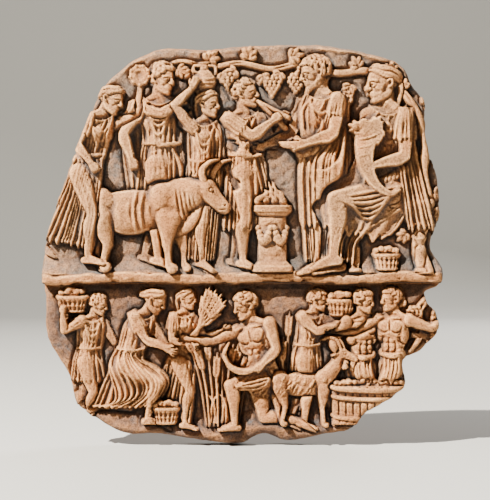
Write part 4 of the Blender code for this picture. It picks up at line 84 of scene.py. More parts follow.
# Each lamp's place, size and power, in metres and watts, and its colour
KEY_LAMP = ((-0.85, -0.82, 1.02), 0.03, 200.0, (1.0, 0.95, 0.83))
FILL_LAMP = ((1.1, -1.6, 0.3), 1.6, 0.2, (0.86, 0.92, 1.0))
BACK_LAMP = ((0.7, 1.3, 0.8), 0.8, 40.0, (1.0, 0.96, 0.9))

# How bright the surround looks, and how strongly it lights the panel
SURROUND_SEEN = 1.2
SURROUND_LIGHT = 0.02

# The painted shadow under the ledge: how far down it reaches, and over how much it comes in
SHADOW_HEIGHT = 0.0055
LEDGE_FADE = 0.001

# Colours, linear
CLAY_WARM = (0.33, 0.13, 0.042, 1)
CLAY_COOL = (0.29, 0.142, 0.062, 1)
CLAY_DARK = (0.13, 0.058, 0.028, 1)
# pale wear with a painted highlight on crisp edges
PALE_WEAR_AND_HIGHLIGHT = (0.9, 0.48, 0.2, 1)
GROUND_GREY = (0.15, 0.104, 0.076, 1)
GROUND_BROWN = (0.105, 0.056, 0.036, 1)
# dust colours; in hollows and creases they also stand for painted shade
DUST_AND_SHADE_BROWN = (0.035, 0.023, 0.018, 1)
SLATE_DUST_AND_SHADE = (0.055, 0.066, 0.077, 1)
# painted shadow and painted shade, near black
SHADOW_BROWN = (0.012, 0.008, 0.006, 1)
SHADOW_SLATE = (0.02, 0.023, 0.026, 1)
GRAIN_DARK = (0.22, 0.19, 0.17, 1)
GRAIN_PALE = (1.0, 1.0, 1.0, 1)
PIT = (0.02, 0.014, 0.01, 1)
FLOOR_PALE = (0.34, 0.335, 0.325, 1)
SURROUND_PALE = (0.8, 0.79, 0.77, 1)

# Surfaces
CLAY_SHINE = 0.25
FLOOR_ROUGHNESS = 0.9
GRAIN_DEPTH = 0.001  # metres

# The map for baked pictures, as shares of its side
MAP_FRONT = 0.8
MAP_GAP = 0.008
MAP_STRIPS = 5

# The floor: how far it reaches to the sides and in front, and where and how it turns up behind
FLOOR_SIDE = 1.7
FLOOR_FRONT = 1.9
FLOOR_TURN = 1.6
FLOOR_BEND = 0.8
FLOOR_TOP = 4.0
FLOOR_GAP = 0.001  # under the panel

# The carving is drawn on a face of this size and depth, and then brought to the sizes above
DRAWN_WIDTH = 200.0
DRAWN_HEIGHT = 199.5
DRAWN_DEPTH = 10.5
ACROSS = PANEL_WIDTH / DRAWN_WIDTH
UP = PANEL_HEIGHT / DRAWN_HEIGHT
OUT = RELIEF_DEPTH / DRAWN_DEPTH
LEDGE_TOP = (LEDGE_HEIGHT / 2 - LEDGE_DROP) / UP
LEDGE_FOOT = -(LEDGE_HEIGHT / 2 + LEDGE_DROP) / UP
LEDGE_OUT = LEDGE_DEPTH / OUT
LIP_WIDTH = LIP_RADIUS / ACROSS
LIP_OUT = LIP_RISE * LIP_RADIUS / OUT
EDGE_WIDTH = EDGE_RADIUS / ACROSS
EDGE_OUT = EDGE_RADIUS / OUT
EDGE_REACH = EDGE_WIDTH * 2.5
BROAD_TOP = 7.6  # broad forms stay under this
FINE_TOP = 3.1  # and small forms add up to this
FINE_GAIN = 1.35  # how much small forms are raised
SOFT_TOP = 8.0  # over this the highest relief flattens
GROOVE = 1.3  # cut round each form
GROOVE_REACH = 0.9
BROAD_REACH = 4.0  # what is broad and what is small is told apart over this
BEHIND_REACH = 3.0  # a form rides on what is behind it, smoothed over this
BEHIND_SHARE = 0.35  # and takes this much of its height
SHELF_HEIGHT = 8.5  # over which the ground comes forward to the ledge
SHELF_SHARE = 0.82  # and how much of the ledge's depth it reaches
LOWER_FLOOR = -91.0  # where the people of the lower scene stand
LOWER_RISE = 3.5  # how far the ground comes forward under them
SHARPENING = 1.6  # how strongly the tools cut and lift
BROAD_TOOL = (1.4, 0.12, 0.3)  # a tool's radius, and the most that it lifts and cuts
FINE_TOOL = (0.5, 0.25, 0.6)

# The panel's broken outline, as shares of half its width and height, clockwise from the upper left
EDGE = (
    (-0.40, 0.98), (-0.18, 0.975), (0.02, 0.995), (0.30, 1.0), (0.42, 0.995), (0.69, 0.945),
    (0.80, 0.89), (0.85, 0.795), (0.91, 0.72), (0.917, 0.64), (0.913, 0.54), (0.935, 0.44),
    (0.967, 0.365), (0.985, 0.165), (0.95, 0.04), (0.945, -0.03), (0.985, -0.09), (1.0, -0.14),
    (0.98, -0.21), (0.915, -0.24), (0.925, -0.29), (0.965, -0.34), (0.975, -0.43), (0.94, -0.48),
    (0.89, -0.535), (0.80, -0.585), (0.81, -0.70), (0.75, -0.76), (0.61, -0.85), (0.54, -0.925),
    (0.38, -0.955), (0.22, -0.985), (0.10, -0.95), (-0.03, -1.0), (-0.25, -0.972), (-0.45, -0.948),
    (-0.60, -0.945), (-0.80, -0.83), (-0.84, -0.78), (-0.87, -0.66), (-0.96, -0.51), (-0.985, -0.43),
    (-0.985, -0.30), (-0.997, -0.22), (-1.0, -0.08), (-0.985, 0.03), (-0.96, 0.12), (-0.90, 0.29),
    (-0.83, 0.48), (-0.77, 0.63), (-0.735, 0.72), (-0.70, 0.79), (-0.59, 0.895), (-0.53, 0.935))


# The clay: a window on the face that holds how far each point stands out

EMPTY = -1e6  # where a window holds no clay
FAR_SHARE = 0.35  # how much of its depth a form behind its figure's middle keeps


def soft_max(a, b, fillet):
    """The larger of two surfaces, with a small fillet where they meet."""
    if fillet <= 0:
        return np.maximum(a, b)
    near = np.clip(fillet - np.abs(a - b), 0, None) / fillet
    return np.maximum(a, b) + near * near * fillet / 4


def blurred(a, sigma):
    """Three box blurs, close to a Gaussian of sigma cells."""
    width = max(1, int(round(math.sqrt(4 * sigma * sigma + 1))) | 1)
    half = width // 2
    for axis in (0, 1) * 3:
        pad = [(0, 0), (0, 0)]
        pad[axis] = (half + 1, half)
        total = np.cumsum(np.pad(a, pad, mode="edge"), axis=axis)
        count = total.shape[axis]
        late = np.take(total, np.arange(width, count), axis=axis)
        early = np.take(total, np.arange(0, count - width), axis=axis)
        a = (late - early) / width
    return a


def curve(points, spacing):
    """Rows along a smooth curve through the given rows. The first three columns are a place in space."""
    p = np.asarray(points, float)
    return through(np.vstack([2 * p[0] - p[1], p, 2 * p[-1] - p[-2]]), spacing)


def through(q, spacing):
    """The same from the second row to the last but one. The outer rows only steer its ends."""
    out = []
    for i in range(1, len(q) - 2):
        a, b, c, d = q[i - 1 : i + 3]
        count = max(2, int(np.linalg.norm(c[:3] - b[:3]) / spacing) + 2)
        t = np.linspace(0, 1, count, endpoint=i == len(q) - 3)[:, None]
        bend = (c - a) * t + (2 * a - 5 * b + 4 * c - d) * t**2 + (3 * b - a - 3 * c + d) * t**3
        out.append(b + bend / 2)
    return np.vstack(out)


def direction(a, b=0.0):
    """A unit vector. It is a degrees from straight down towards +x, and b degrees towards the viewer."""
    a, b = math.radians(a), math.radians(b)
    return np.array([math.sin(a) * math.cos(b), math.sin(b), -math.cos(a) * math.cos(b)])


def turned(yaw, lean=0.0, bow=0.0):
    """Columns: the left, front and up of something. Yaw 0 faces the viewer and yaw 90 faces +x.
    Lean tips it towards +x, and bow bends it forward."""
    y, a, b = map(math.radians, (yaw, lean, bow))
    left = np.array([math.cos(y), -math.sin(y), 0.0])
    ahead = np.array([math.sin(y), math.cos(y), 0.0])
    top = np.array([0.0, 0.0, 1.0])
    up = top * math.cos(b) + ahead * math.sin(b)
    front = ahead * math.cos(b) - top * math.sin(b)
    tip = np.array([[math.cos(a), 0, math.sin(a)], [0, 1, 0], [-math.sin(a), 0, math.cos(a)]])
    return tip @ np.column_stack([left, front, up])


def pressed(y):
    """The depth of a form's middle, with what lies behind the figure's middle brought forward."""
    return np.where(y < 0, y * FAR_SHARE, y)


class Clay:
    """A window on the face: x to the right, z up, and y towards the viewer."""

    def __init__(self, x0, x1, z0, z1):
        self.i0, self.j0 = round(z0 / STEP), round(x0 / STEP)
        rows = round(z1 / STEP) - self.i0 + 1
        columns = round(x1 / STEP) - self.j0 + 1
        self.y = np.full((rows, columns), EMPTY)

    def grid(self):
        rows, columns = self.y.shape
        return (self.j0 + np.arange(columns)) * STEP, (self.i0 + np.arange(rows)) * STEP

    def window(self, x0, x1, z0, z1):
        """The part of the grid in a box, as slices and the x and z of its cells."""
        rows, columns = self.y.shape
        j0 = max(0, math.floor(x0 / STEP) - self.j0)
        j1 = min(columns, math.ceil(x1 / STEP) - self.j0 + 1)
        i0 = max(0, math.floor(z0 / STEP) - self.i0)
        i1 = min(rows, math.ceil(z1 / STEP) - self.i0 + 1)
        if i1 <= i0 or j1 <= j0:
            return None
        x = (self.j0 + np.arange(j0, j1)) * STEP
        z = (self.i0 + np.arange(i0, i1)) * STEP
        return (slice(i0, i1), slice(j0, j1)), x[None, :], z[:, None]

    def swept(self, path, reach, value):
        """The window round a path, and the largest value that its points give each cell there."""
        low, high = path.min(axis=0) - reach, path.max(axis=0) + reach
        found = self.window(low[0], high[0], low[2], high[2])
        if found is None:
            return None
        at, x, z = found
        field = np.full((z.size, x.size), EMPTY)
        half = int(math.ceil(reach / STEP))
        offsets = np.arange(-half, half + 1)
        column = np.round((path[:, 0] - x[0, 0]) / STEP).astype(int)[:, None, None] + offsets[None, None, :]
        row = np.round((path[:, 2] - z[0, 0]) / STEP).astype(int)[:, None, None] + offsets[None, :, None]
        inside = (column >= 0) & (column < x.size) & (row >= 0) & (row < z.size)
        column, row = np.broadcast_arrays(np.clip(column, 0, x.size - 1), np.clip(row, 0, z.size - 1))
        dx = x[0][column] - path[:, 0][:, None, None]
        dz = z[:, 0][row] - path[:, 2][:, None, None]
        values = np.where(inside, value(dx, dz), EMPTY)
        np.maximum.at(field.reshape(-1), (row * x.size + column).reshape(-1), values.reshape(-1))
        return at, field

    def chain(self, points, radii, fillet=0.6):
        """A rounded form of changing thickness along a curve through points (x, y, z)."""
        p = np.asarray(points, float)
        r = np.full(len(p), float(radii)) if np.ndim(radii) == 0 else np.asarray(radii, float)
        rows = curve(np.column_stack([p, r]), max(0.6 * STEP, 0.08 * float(r.mean())))
        middle, r = rows[:, :3], np.abs(rows[:, 3])
        depth = pressed(middle[:, 1])[:, None, None]
        square = (r * r)[:, None, None]

        def front(dx, dz):
            d = square - dx * dx - dz * dz
            return np.where(d > 0, depth + np.sqrt(np.maximum(d, 0)), EMPTY)

        found = self.swept(middle, r.max(), front)
        if found is not None:
            self.y[found[0]] = soft_max(self.y[found[0]], found[1], fillet)

    def egg(self, centre, radii, axes=np.eye(3), fillet=0.6):
        """An ellipsoid whose own directions are the columns of axes."""
        r = np.full(3, float(radii)) if np.ndim(radii) == 0 else np.asarray(radii, float)
        m = axes @ np.diag(1 / r**2) @ axes.T
        reach = np.sqrt(np.diag(axes @ np.diag(r**2) @ axes.T))
        found = self.window(centre[0] - reach[0], centre[0] + reach[0],
                            centre[2] - reach[2], centre[2] + reach[2])
        if found is None:
            return
        at, x, z = found
        dx, dz = x - centre[0], z - centre[2]
        b = m[0, 1] * dx + m[1, 2] * dz
        c = m[0, 0] * dx * dx + 2 * m[0, 2] * dx * dz + m[2, 2] * dz * dz - 1
        d = b * b - m[1, 1] * c
        front = pressed(centre[1]) + (-b + np.sqrt(np.maximum(d, 0))) / m[1, 1]
        self.y[at] = soft_max(self.y[at], np.where(d > 0, front, EMPTY), fillet)

    def stroke(self, points, width, height, even=False):
        """Raises a rounded line through points (x, z) on the clay, or presses it in if height is below 0."""
        p = np.asarray(points, float)
        path = curve(np.column_stack([p[:, 0], np.zeros(len(p)), p[:, 1]]), max(0.5 * STEP, 0.3 * width))
        along = np.linspace(0, 1, len(path))[:, None, None]
        tall = np.ones_like(along) if even else np.sin(np.pi * along) ** 0.6

        def bulge(dx, dz):
            return tall * np.exp(-1.5 * (dx**2 + dz**2) / width**2)

        found = self.swept(path, 1.7 * width, bulge)
        if found is not None:
            at, field = found
            self.y[at] += np.where(self.y[at] > EMPTY / 2, height * np.maximum(field, 0), 0)

    def dent(self, place, radius, depth):
        """A round hollow at a place (x, y, z)."""
        x0, z0 = place[0], place[2]
        found = self.window(x0 - 2 * radius, x0 + 2 * radius, z0 - 2 * radius, z0 + 2 * radius)
        if found is None:
            return
        at, x, z = found
        share = np.exp(-1.5 * ((x - x0) ** 2 + (z - z0) ** 2) / radius**2)
        self.y[at] -= np.where(self.y[at] > EMPTY / 2, depth * share, 0)

    def lathe(self, x, profile, deep=0.8, y=0.0, fillet=0.3):
        """A turned form on an upright axis at x. The profile is a list of (z, radius), from below."""
        p = np.asarray(profile, float)
        r = p[:, 1].max()
        found = self.window(x - r, x + r, p[0, 0], p[-1, 0])
        if found is None:
            return
        at, gx, gz = found
        d = np.interp(gz[:, 0], p[:, 0], p[:, 1])[:, None] ** 2 - (gx - x) ** 2
        inside = (d > 0) & (gz >= p[0, 0]) & (gz <= p[-1, 0])
        front = np.where(inside, y + deep * np.sqrt(np.maximum(d, 0)), EMPTY)
        self.y[at] = soft_max(self.y[at], front, fillet)

    def drape(self, left, right, folds, deep, seed, thick, soft, keep, start, fan, hem, dip):
        """Cloth over what the window holds, between two rails of (x, z) points that run from top to bottom.
        Keep is how far a raised form under the cloth smooths its folds. Dip lowers the top's middle."""
        a, b = np.asarray(left, float), np.asarray(right, float)
        long = max(np.abs(np.diff(a, axis=0)).sum(), np.abs(np.diff(b, axis=0)).sum())
        wide = max(np.linalg.norm(a[0] - b[0]), np.linalg.norm(a[-1] - b[-1]), np.linalg.norm(a[1] - b[1]))
        rows, columns = int(long / STEP * 3) + 4, int(wide / STEP * 3) + 4
        a, b = even_points(a, rows), even_points(b, rows)
        u, v = np.meshgrid(np.linspace(-1, 1, columns), np.linspace(0, 1, rows))
        fine = pleats(u, v, 2 * folds + 1, seed + 50, start, fan)
        ridge = np.maximum(pleats(u, v, folds, seed, start, fan), 0.4 * fine)
        x = a[:, :1] * (1 - u) / 2 + b[:, :1] * (1 + u) / 2
        z = a[:, 1:] * (1 - u) / 2 + b[:, 1:] * (1 + u) / 2
        foot = np.clip((v - 0.9) / 0.1, 0, 1)
        z = z + 2 * hem * foot * (1 - ridge) - dip * (1 - u * u) * np.clip(1 - 2 * v, 0, 1)
        rim = np.clip((1 - np.abs(u)) * wide / 2.4, 0, 1)
        rim = np.sqrt(1 - (1 - rim) ** 2) + (0.7 if dip else 0.0) * np.exp(-((v * long / 1.1) ** 2))
        found = self.window(x.min(), x.max(), z.min(), z.max())
        if found is None:
            return
        at, gx, gz = found
        column = np.round((x - gx[0, 0]) / STEP).astype(int)
        row = np.round((z - gz[0, 0]) / STEP).astype(int)
        inside = (column >= 0) & (column < gx.size) & (row >= 0) & (row < gz.size)
        cell = (row * gx.size + column)[inside]
        cells = gx.size * gz.size
        count = np.bincount(cell, minlength=cells).reshape(gz.size, gx.size)
        sums = [np.bincount(cell, weights=w[inside], minlength=cells) for w in (ridge, rim)]
        ridge, rim = (w.reshape(count.shape) / np.maximum(count, 1) for w in sums)
        under = np.maximum(self.y[at], 0.0)
        low = blurred(under, soft / STEP)
        raised = np.clip((under - blurred(under, 3 * soft / STEP)) / 1.8 + 0.3, 0, 1)
        body = np.maximum(low, 0.55 * blurred(under, 0.45 / STEP) + 0.45 * low)
        cloth = body + thick * rim + deep * ridge * (1 - keep * raised) * (0.4 + 0.6 * np.minimum(rim, 1))
        self.y[at] = np.where(count > 0, cloth, self.y[at])

    def rolled(self, points, radius, strands=3, turns=1.5):
        """Bundled cloth: strands twisted round a curve through points (x, y, z)."""
        path = curve(points, 1.5)
        along = np.gradient(path, axis=0)
        along /= np.linalg.norm(along, axis=1)[:, None] + 1e-9
        side = np.column_stack([-along[:, 2], np.zeros(len(along)), along[:, 0]])
        share = np.linspace(0, 1, len(path))
        for i in range(strands):
            a = 2 * math.pi * (i / strands + turns * share)
            strand = path + side * (0.55 * radius * np.cos(a))[:, None]
            strand[:, 1] += 0.4 * radius * np.sin(a)
            self.chain(strand[::2] if len(strand) > 4 else strand, 0.55 * radius, 0.1)

    def mirrored(self):
        other = Clay(0, 0, 0, 0)
        other.i0, other.j0 = self.i0, -(self.j0 + self.y.shape[1] - 1)
        other.y = self.y[:, ::-1].copy()
        return other


def even_points(rail, count):
    """Points at equal steps along a smooth curve through a rail of (x, z) points."""
    path = curve(np.column_stack([rail[:, 0], np.zeros(len(rail)), rail[:, 1]]), 0.4)[:, [0, 2]]
    run = np.concatenate([[0], np.cumsum(np.linalg.norm(np.diff(path, axis=0), axis=1))])
    want = np.linspace(0, run[-1], count)
    return np.column_stack([np.interp(want, run, path[:, 0]), np.interp(want, run, path[:, 1])])


def pleats(u, v, count, seed, start, fan):
    """Folds that run along v. Their crisp backs have many widths, begin at many heights, and some fork."""
    rng = np.random.RandomState(seed)
    widths = rng.uniform(0.45, 1.55, count)
    edges = np.concatenate([[0], np.cumsum(widths)]) / widths.sum() * 2 - 1
    middles = (edges[1:] + edges[:-1]) / 2
    out = np.zeros_like(u)
    for i in range(count):
        sharp, tall, begin = rng.uniform(0.42, 0.85), rng.uniform(0.7, 1.0), rng.uniform(0, 0.45) * start
        parent = middles[max(0, i - 1)] if rng.rand() < 0.45 else middles[i]
        apart = np.clip((v - begin) / 0.45, 0, 1)
        middle = parent + (middles[i] - parent) * apart * apart * (3 - 2 * apart)
        middle = middle + rng.uniform(-0.35, 0.35) / count * np.sin(3 * v + i)
        d = (u - middle) / (edges[i + 1] - edges[i]) * 2
        grown = np.clip((v - begin) / 0.3 + (1 - start), 0, 1)
        back = tall * min(1.15, 0.5 + 0.5 * widths[i]) * np.exp(-((d / sharp) ** 2))
        out = np.maximum(out, back * grown * (1 + fan * (v - 0.5)))
    return out


# People

# A body's lengths, as shares of its height
THIGH, SHIN = 0.236, 0.228
UPPER_ARM, FOREARM = 0.162, 0.135
HEAD_TALL = 0.155

# The skull's middle and radii, as shares of the head's height
SKULL_MIDDLE = (0, -0.05, 0.13)
SKULL = (0.3, 0.42, 0.37)


class Figure:
    """A person whose hips are over x = 0 and whose lowest point is at z = 0, built in shares of the height.
    Each leg is (thigh, thigh depth, shin, shin depth) as angles for direction(). Of each pair of limbs the
    first is the nearer one when the figure faces +x."""

    def __init__(self, tall, yaw, lean, chest, legs, female=False):
        t = self.t = tall
        self.female = female
        self.clay = Clay(-0.75 * t, 0.75 * t, -0.08 * t, 1.2 * t)
        self.hips = turned(yaw, lean * 0.5)
        self.chest = turned(*chest)
        middle = turned((yaw + chest[0]) / 2, (lean * 0.5 + chest[1]) / 2, chest[2] / 2)
        self.pelvis = np.zeros(3)
        self.waist = self.hips[:, 2] * 0.055 * t + middle[:, 2] * 0.045 * t
        self.heart = self.waist + middle[:, 2] * 0.045 * t + self.chest[:, 2] * 0.078 * t
        self.neck = self.point(self.heart, self.chest, 0, -0.008, 0.098)
        wide = 0.1 if female else 0.122
        self.shoulder = [self.point(self.heart, self.chest, s * wide, -0.004, 0.062) for s in (-1, 1)]
        self.hip = [self.point(self.pelvis, self.hips, s * 0.046, 0, -0.018) for s in (-1, 1)]
        self.knee = [h + direction(*leg[:2]) * THIGH * t for h, leg in zip(self.hip, legs)]
        self.ankle = [k + direction(*leg[2:]) * SHIN * t for k, leg in zip(self.knee, legs)]
        low = min(min(a[2] for a in self.ankle) - 0.038 * t, min(k[2] for k in self.knee) - 0.034 * t)
        joints = [self.pelvis, self.waist, self.heart, self.neck, *self.shoulder, *self.hip, *self.knee,
                  *self.ankle]
        for joint in joints:
            joint[2] -= low

    def point(self, base, axes, left, front, up):
        return base + axes @ (np.array([left, front, up]) * self.t)

    def near(self, joint, dx=0.0, dz=0.0):
        """The (x, z) of a place beside a joint, in shares of the height."""
        return (joint[0] + dx * self.t, joint[2] + dz * self.t)

    def over(self, joint, dx=0.0, y=0.0, dz=0.0):
        """A place beside a joint, at its own depth y, in shares of the height."""
        return (joint[0] + dx * self.t, y * self.t, joint[2] + dz * self.t)

    def lump(self, base, axes, left, front, up, radii, fillet=1.0):
        self.clay.egg(self.point(base, axes, left, front, up), np.array(radii) * self.t, axes, fillet)

    def limb(self, points, radii, fillet=0.8):
        self.clay.chain(points, np.array(radii) * self.t, fillet)

    def dress(self, left, right, folds=9, deep=2.0, seed=1, thick=0.9, soft=1.6, keep=0.4, start=0.0,
              fan=0.3, hem=1.0, dip=0.0):
        """Cloth between two rails of (joint, dx, dz). Its thicknesses are for a figure 100 tall."""
        s = self.t / 100
        rails = [[self.near(*place) for place in rail] for rail in (left, right)]
        self.clay.drape(*rails, folds, deep * s, seed, thick * s, soft * s, keep, start, fan, hem * s,
                        dip * self.t)

    @property
    def wide(self):
        """Half the width of a garment at the chest. It is wider when the chest faces us."""
        return (0.078 if self.female else 0.086) + 0.03 * abs(self.chest[0, 0])

    def bodice(self, seed, folds=8, deep=1.5, dip=0.045, low=-0.012, hem=0.0, thick=0.8):
        """The top of a garment, from its round neckline to below the waist."""
        w = self.wide
        rails = [[(self.neck, s * 0.74 * w, 0.014), (self.heart, s * w, 0.02),
                  (self.waist, s * 0.9 * w, low)] for s in (-1, 1)]
        self.dress(*rails, folds, deep, seed, thick, 1.2, 0.75, 0, 0, hem, dip)
        self.swags((self.neck, -0.7 * w, -0.005), (self.neck, 0.7 * w, -0.005),
                   [dip + 0.045 * (i + 1) for i in range(3)], 0.9, 0.9)

    def skirt(self, left, right, seed, folds=11, deep=3.0, start=0.3, keep=0.8, fan=0.5, hem=1.3, thick=0.6):
        """A skirt from the waist to the places left and right of its hem."""
        w = self.wide
        self.dress([(self.waist, -0.86 * w, 0), (self.pelvis, -1.08 * w, 0), left],
                   [(self.waist, 0.84 * w, 0), (self.pelvis, 1.04 * w, 0), right],
                   folds, deep, seed, thick, 1.8, keep, start, fan, hem)

    def belt(self, radius=0.013):
        w = 0.86 * self.wide
        self.roll([(self.waist, -w, 0.025, -0.002), (self.waist, 0, 0.08, -0.014),
                   (self.waist, w, 0.025, -0.004)], radius, 2, 3)

    def sleeve(self, i, upper, seed, long=0.62):
        """A short sleeve over the top of an arm."""
        t, s, d = self.t, self.shoulder[i], direction(*upper)
        across = np.array([d[2], 0, -d[0]])
        rings = ((-0.042, 0.03), (0.03, 0.047), (UPPER_ARM * long, 0.052))
        rails = [[(s + across * side * w * t + d * along * t, 0, 0) for along, w in rings]
                 for side in (1, -1)]
        self.dress(*rails, 5, 1.5, seed, 0.9, 1.0, 0.2, 0, 0.3, 1.2)

    def line(self, way, width, height):
        """A raised or pressed line through (x, z) points. Its sizes are for a figure 100 tall."""
        self.clay.stroke(way, width * self.t / 100, height * self.t / 100)

    def fold(self, places, width=1.0, height=0.9):
        """A raised fold through places of (joint, dx, dz)."""
        self.line([self.near(*place) for place in places], width, height)

    def roll(self, places, radius, strands=3, turns=1.5):
        """Bundled cloth through places of (joint, dx, y, dz)."""
        self.clay.rolled([self.over(*place) for place in places], radius * self.t, strands, turns)

    def swags(self, a, b, sags, width=0.85, height=1.1):
        """Folds that hang in curves from a to b, which are (joint, dx, dz). Each sags further."""
        p, q = (np.array(self.near(*place)) for place in (a, b))
        v = np.linspace(0, 1, 7)[:, None]
        for i, sag in enumerate(sags):
            inset = 0.05 * i
            way = p + (q - p) * (inset + (1 - 2 * inset) * v) - np.array([0, 4 * sag * self.t]) * v * (1 - v)
            self.line(way, width, height)

    def carve(self, base, axes, places, width=0.9, height=-0.9):
        """A line over a form through (left, up) places on its front, pressed in if height is below 0."""
        way = [self.point(base, axes, a, 0.05, b)[[0, 2]] for a, b in places]
        self.line(way, width, height)

    def trunk(self, bare=False):
        c, h = self.chest, self.hips
        middle = (c + h) / 2
        if self.female:
            forms = ((self.heart, c, (0.084, 0.06, 0.098)), (self.waist, middle, (0.067, 0.055, 0.08)),
                     (self.pelvis, h, (0.09, 0.07, 0.078)))
        else:
            forms = ((self.heart, c, (0.108, 0.07, 0.1)), (self.waist, middle, (0.08, 0.062, 0.09)),
                     (self.pelvis, h, (0.085, 0.068, 0.07)))
        for base, axes, radii in forms:
            self.lump(base, axes, 0, 0, 0, radii, 2.5)
        for end in self.shoulder:
            r = 0.03 if self.female else 0.04
            self.lump(end, c, 0, 0, 0, (r, r, 1.15 * r), 1.5)
            top = self.neck + c[:, 2] * 0.015 * self.t
            self.limb([top, (self.neck + end) / 2 + c[:, 2] * 0.004 * self.t, end],
                      (0.03, 0.026, 0.026), 1.5)
        if self.female:
            for s in (-1, 1):
                self.lump(self.heart, c, s * 0.042, 0.046, 0.01, (0.034,) * 3, 0.8)
        if bare:
            self.muscles()

    def muscles(self):
        """The chest and belly of a bare trunk."""
        c, h = self.chest, self.hips
        for s in (-1, 1):
            self.lump(self.heart, c, s * 0.05, 0.026, 0.022, (0.056, 0.045, 0.042), 1.5)
            self.lump(self.heart, c, s * 0.088, 0.0, -0.03, (0.03, 0.04, 0.06), 2)
            self.lump(self.waist, c, s * 0.062, 0.01, -0.035, (0.03, 0.045, 0.035), 1.5)
            for n in range(3):
                self.lump(self.waist, c, s * 0.021, 0.036, 0.05 - 0.034 * n, (0.024, 0.03, 0.021), 0.7)
                self.carve(self.heart, c,
                           [(s * 0.062, -0.035 - 0.02 * n), (s * 0.085, -0.028 - 0.02 * n),
                            (s * 0.1, -0.01 - 0.02 * n)], 0.7, -0.8)
            self.carve(self.heart, c,
                       [(s * 0.008, -0.006), (s * 0.045, -0.022), (s * 0.085, -0.004), (s * 0.1, 0.03)],
                       0.9, -1.2)
            self.carve(self.heart, c, [(s * 0.012, 0.082), (s * 0.06, 0.078), (s * 0.1, 0.07)], 1.0, 0.9)
            self.carve(self.waist, c,
                       [(s * 0.02, 0.062), (s * 0.048, 0.03), (s * 0.047, -0.02), (s * 0.03, -0.06)],
                       0.8, -0.8)
            self.carve(self.pelvis, h, [(s * 0.08, 0.05), (s * 0.055, 0.02), (s * 0.02, -0.02)], 0.9, -1.1)
            self.clay.egg(self.point(self.heart, c, s * 0.055, 0.068, 0.006), 0.006 * self.t, fillet=0.2)
        self.carve(self.heart, c, [(0, 0.06), (0, 0.02), (0, -0.02)], 0.8, -1.0)
        self.carve(self.waist, c, [(0, 0.07), (0, 0.02), (0, -0.05)], 0.7, -0.8)
        self.clay.dent(self.point(self.waist, c, 0, 0.06, -0.032), 0.008 * self.t, 1.0)

    def stand(self, far, near):
        """Both legs, with the heading and depth of each foot."""
        self.leg(1, far)
        self.leg(0, near)

    def leg(self, i, foot):
        t = self.t
        h, k, a = self.hip[i], self.knee[i], self.ankle[i]
        f = 0.94 if self.female else 1.0
        self.limb([h, h * 0.72 + k * 0.28, h * 0.35 + k * 0.65, k],
                  (0.062 * f, 0.061 * f, 0.047 * f, 0.034), 1)
        shin = (a - k) / np.linalg.norm(a - k)
        back = np.array([shin[2], 0, -shin[0]]) * 0.014 * t
        self.limb([h * 0.4 + k * 0.6 + back * 0.8, h * 0.15 + k * 0.85 + back * 0.6], (0.03, 0.022), 1.2)
        self.limb([k, k * 0.74 + a * 0.26 + back, k * 0.45 + a * 0.55 + back * 0.6, a],
                  (0.032, 0.039, 0.028, 0.0178))
        self.limb([k * 0.9 + a * 0.1 - back * 0.5, k * 0.3 + a * 0.7 - back * 0.1], (0.018, 0.014), 0.6)
        self.clay.egg(k - back * 0.8 + np.array([0, 0.012 * t, 0]),
                      np.array((0.02, 0.02, 0.023)) * t, fillet=0.5)
        self.foot(a, shin, *foot)

    def foot(self, a, shin, heading, depth):
        t = self.t
        d = direction(heading, depth)
        side = np.cross(d, np.array([0, 0, 1.0]))
        side /= np.linalg.norm(side) + 1e-9
        sole = np.cross(side, d)
        sole *= -1 if sole[2] > 0 else 1
        heel = a - d * 0.02 * t + sole * 0.018 * t + shin * 0.004 * t
        ball = a + d * 0.072 * t + sole * 0.022 * t
        self.limb([a, a + d * 0.02 * t + sole * 0.012 * t, ball], (0.0175, 0.021, 0.014), 0.5)
        self.limb([heel, a + d * 0.03 * t + sole * 0.022 * t, ball], (0.018, 0.013, 0.014), 0.5)
        for n in range(-2, 3):
            root = ball + side * n * 0.0095 * t + sole * 0.002 * t
            tip = ball + side * n * 0.0105 * t + d * (0.03 - 0.002 * abs(n + 1)) * t + sole * 0.006 * t
            self.limb([root, tip], (0.0085, 0.0068), 0.15)
        self.clay.egg(a + side * 0.012 * t, 0.009 * t, fillet=0.4)

    def arm(self, i, upper, fore, hand="open", turn=0):
        """Shoulder to fingers. The hand is open, grip or rest. Returns the wrist."""
        f = 0.88 if self.female else 1.0
        s = self.shoulder[i]
        e = s + direction(*upper) * UPPER_ARM * self.t
        w = e + direction(*fore) * FOREARM * self.t
        u, d = (e - s) / np.linalg.norm(e - s), (w - e) / np.linalg.norm(w - e)
        out, under = (np.array([v[2], 0, -v[0]]) * 0.008 * self.t for v in (u, d))
        self.limb([s, s * 0.75 + e * 0.25, e], (0.038 * f, 0.035 * f, 0.024 * f), 0.8)
        self.limb([s * 0.6 + e * 0.4 - out, s * 0.35 + e * 0.65 - out * 0.6], (0.03 * f, 0.024 * f), 0.6)
        self.limb([s * 0.55 + e * 0.45 + out, s * 0.25 + e * 0.75 + out], (0.026 * f, 0.021 * f), 0.6)
        self.limb([e, e * 0.75 + w * 0.25 + under * 0.4, e * 0.4 + w * 0.6, w],
                  (0.0235 * f, 0.0295 * f, 0.0225 * f, 0.016 * f), 0.7)
        self.clay.egg(e + under * 0.6, 0.017 * self.t, fillet=0.5)
        self.hand(w, fore[0] + turn, fore[1], hand)
        return w

    def sleeved(self, upper, fore, hand, seed, long=0.62, turn=0):
        """The nearer arm in a short sleeve. Returns the wrist."""
        wrist = self.arm(0, upper, fore, hand, turn)
        self.sleeve(0, upper, seed, long)
        return wrist

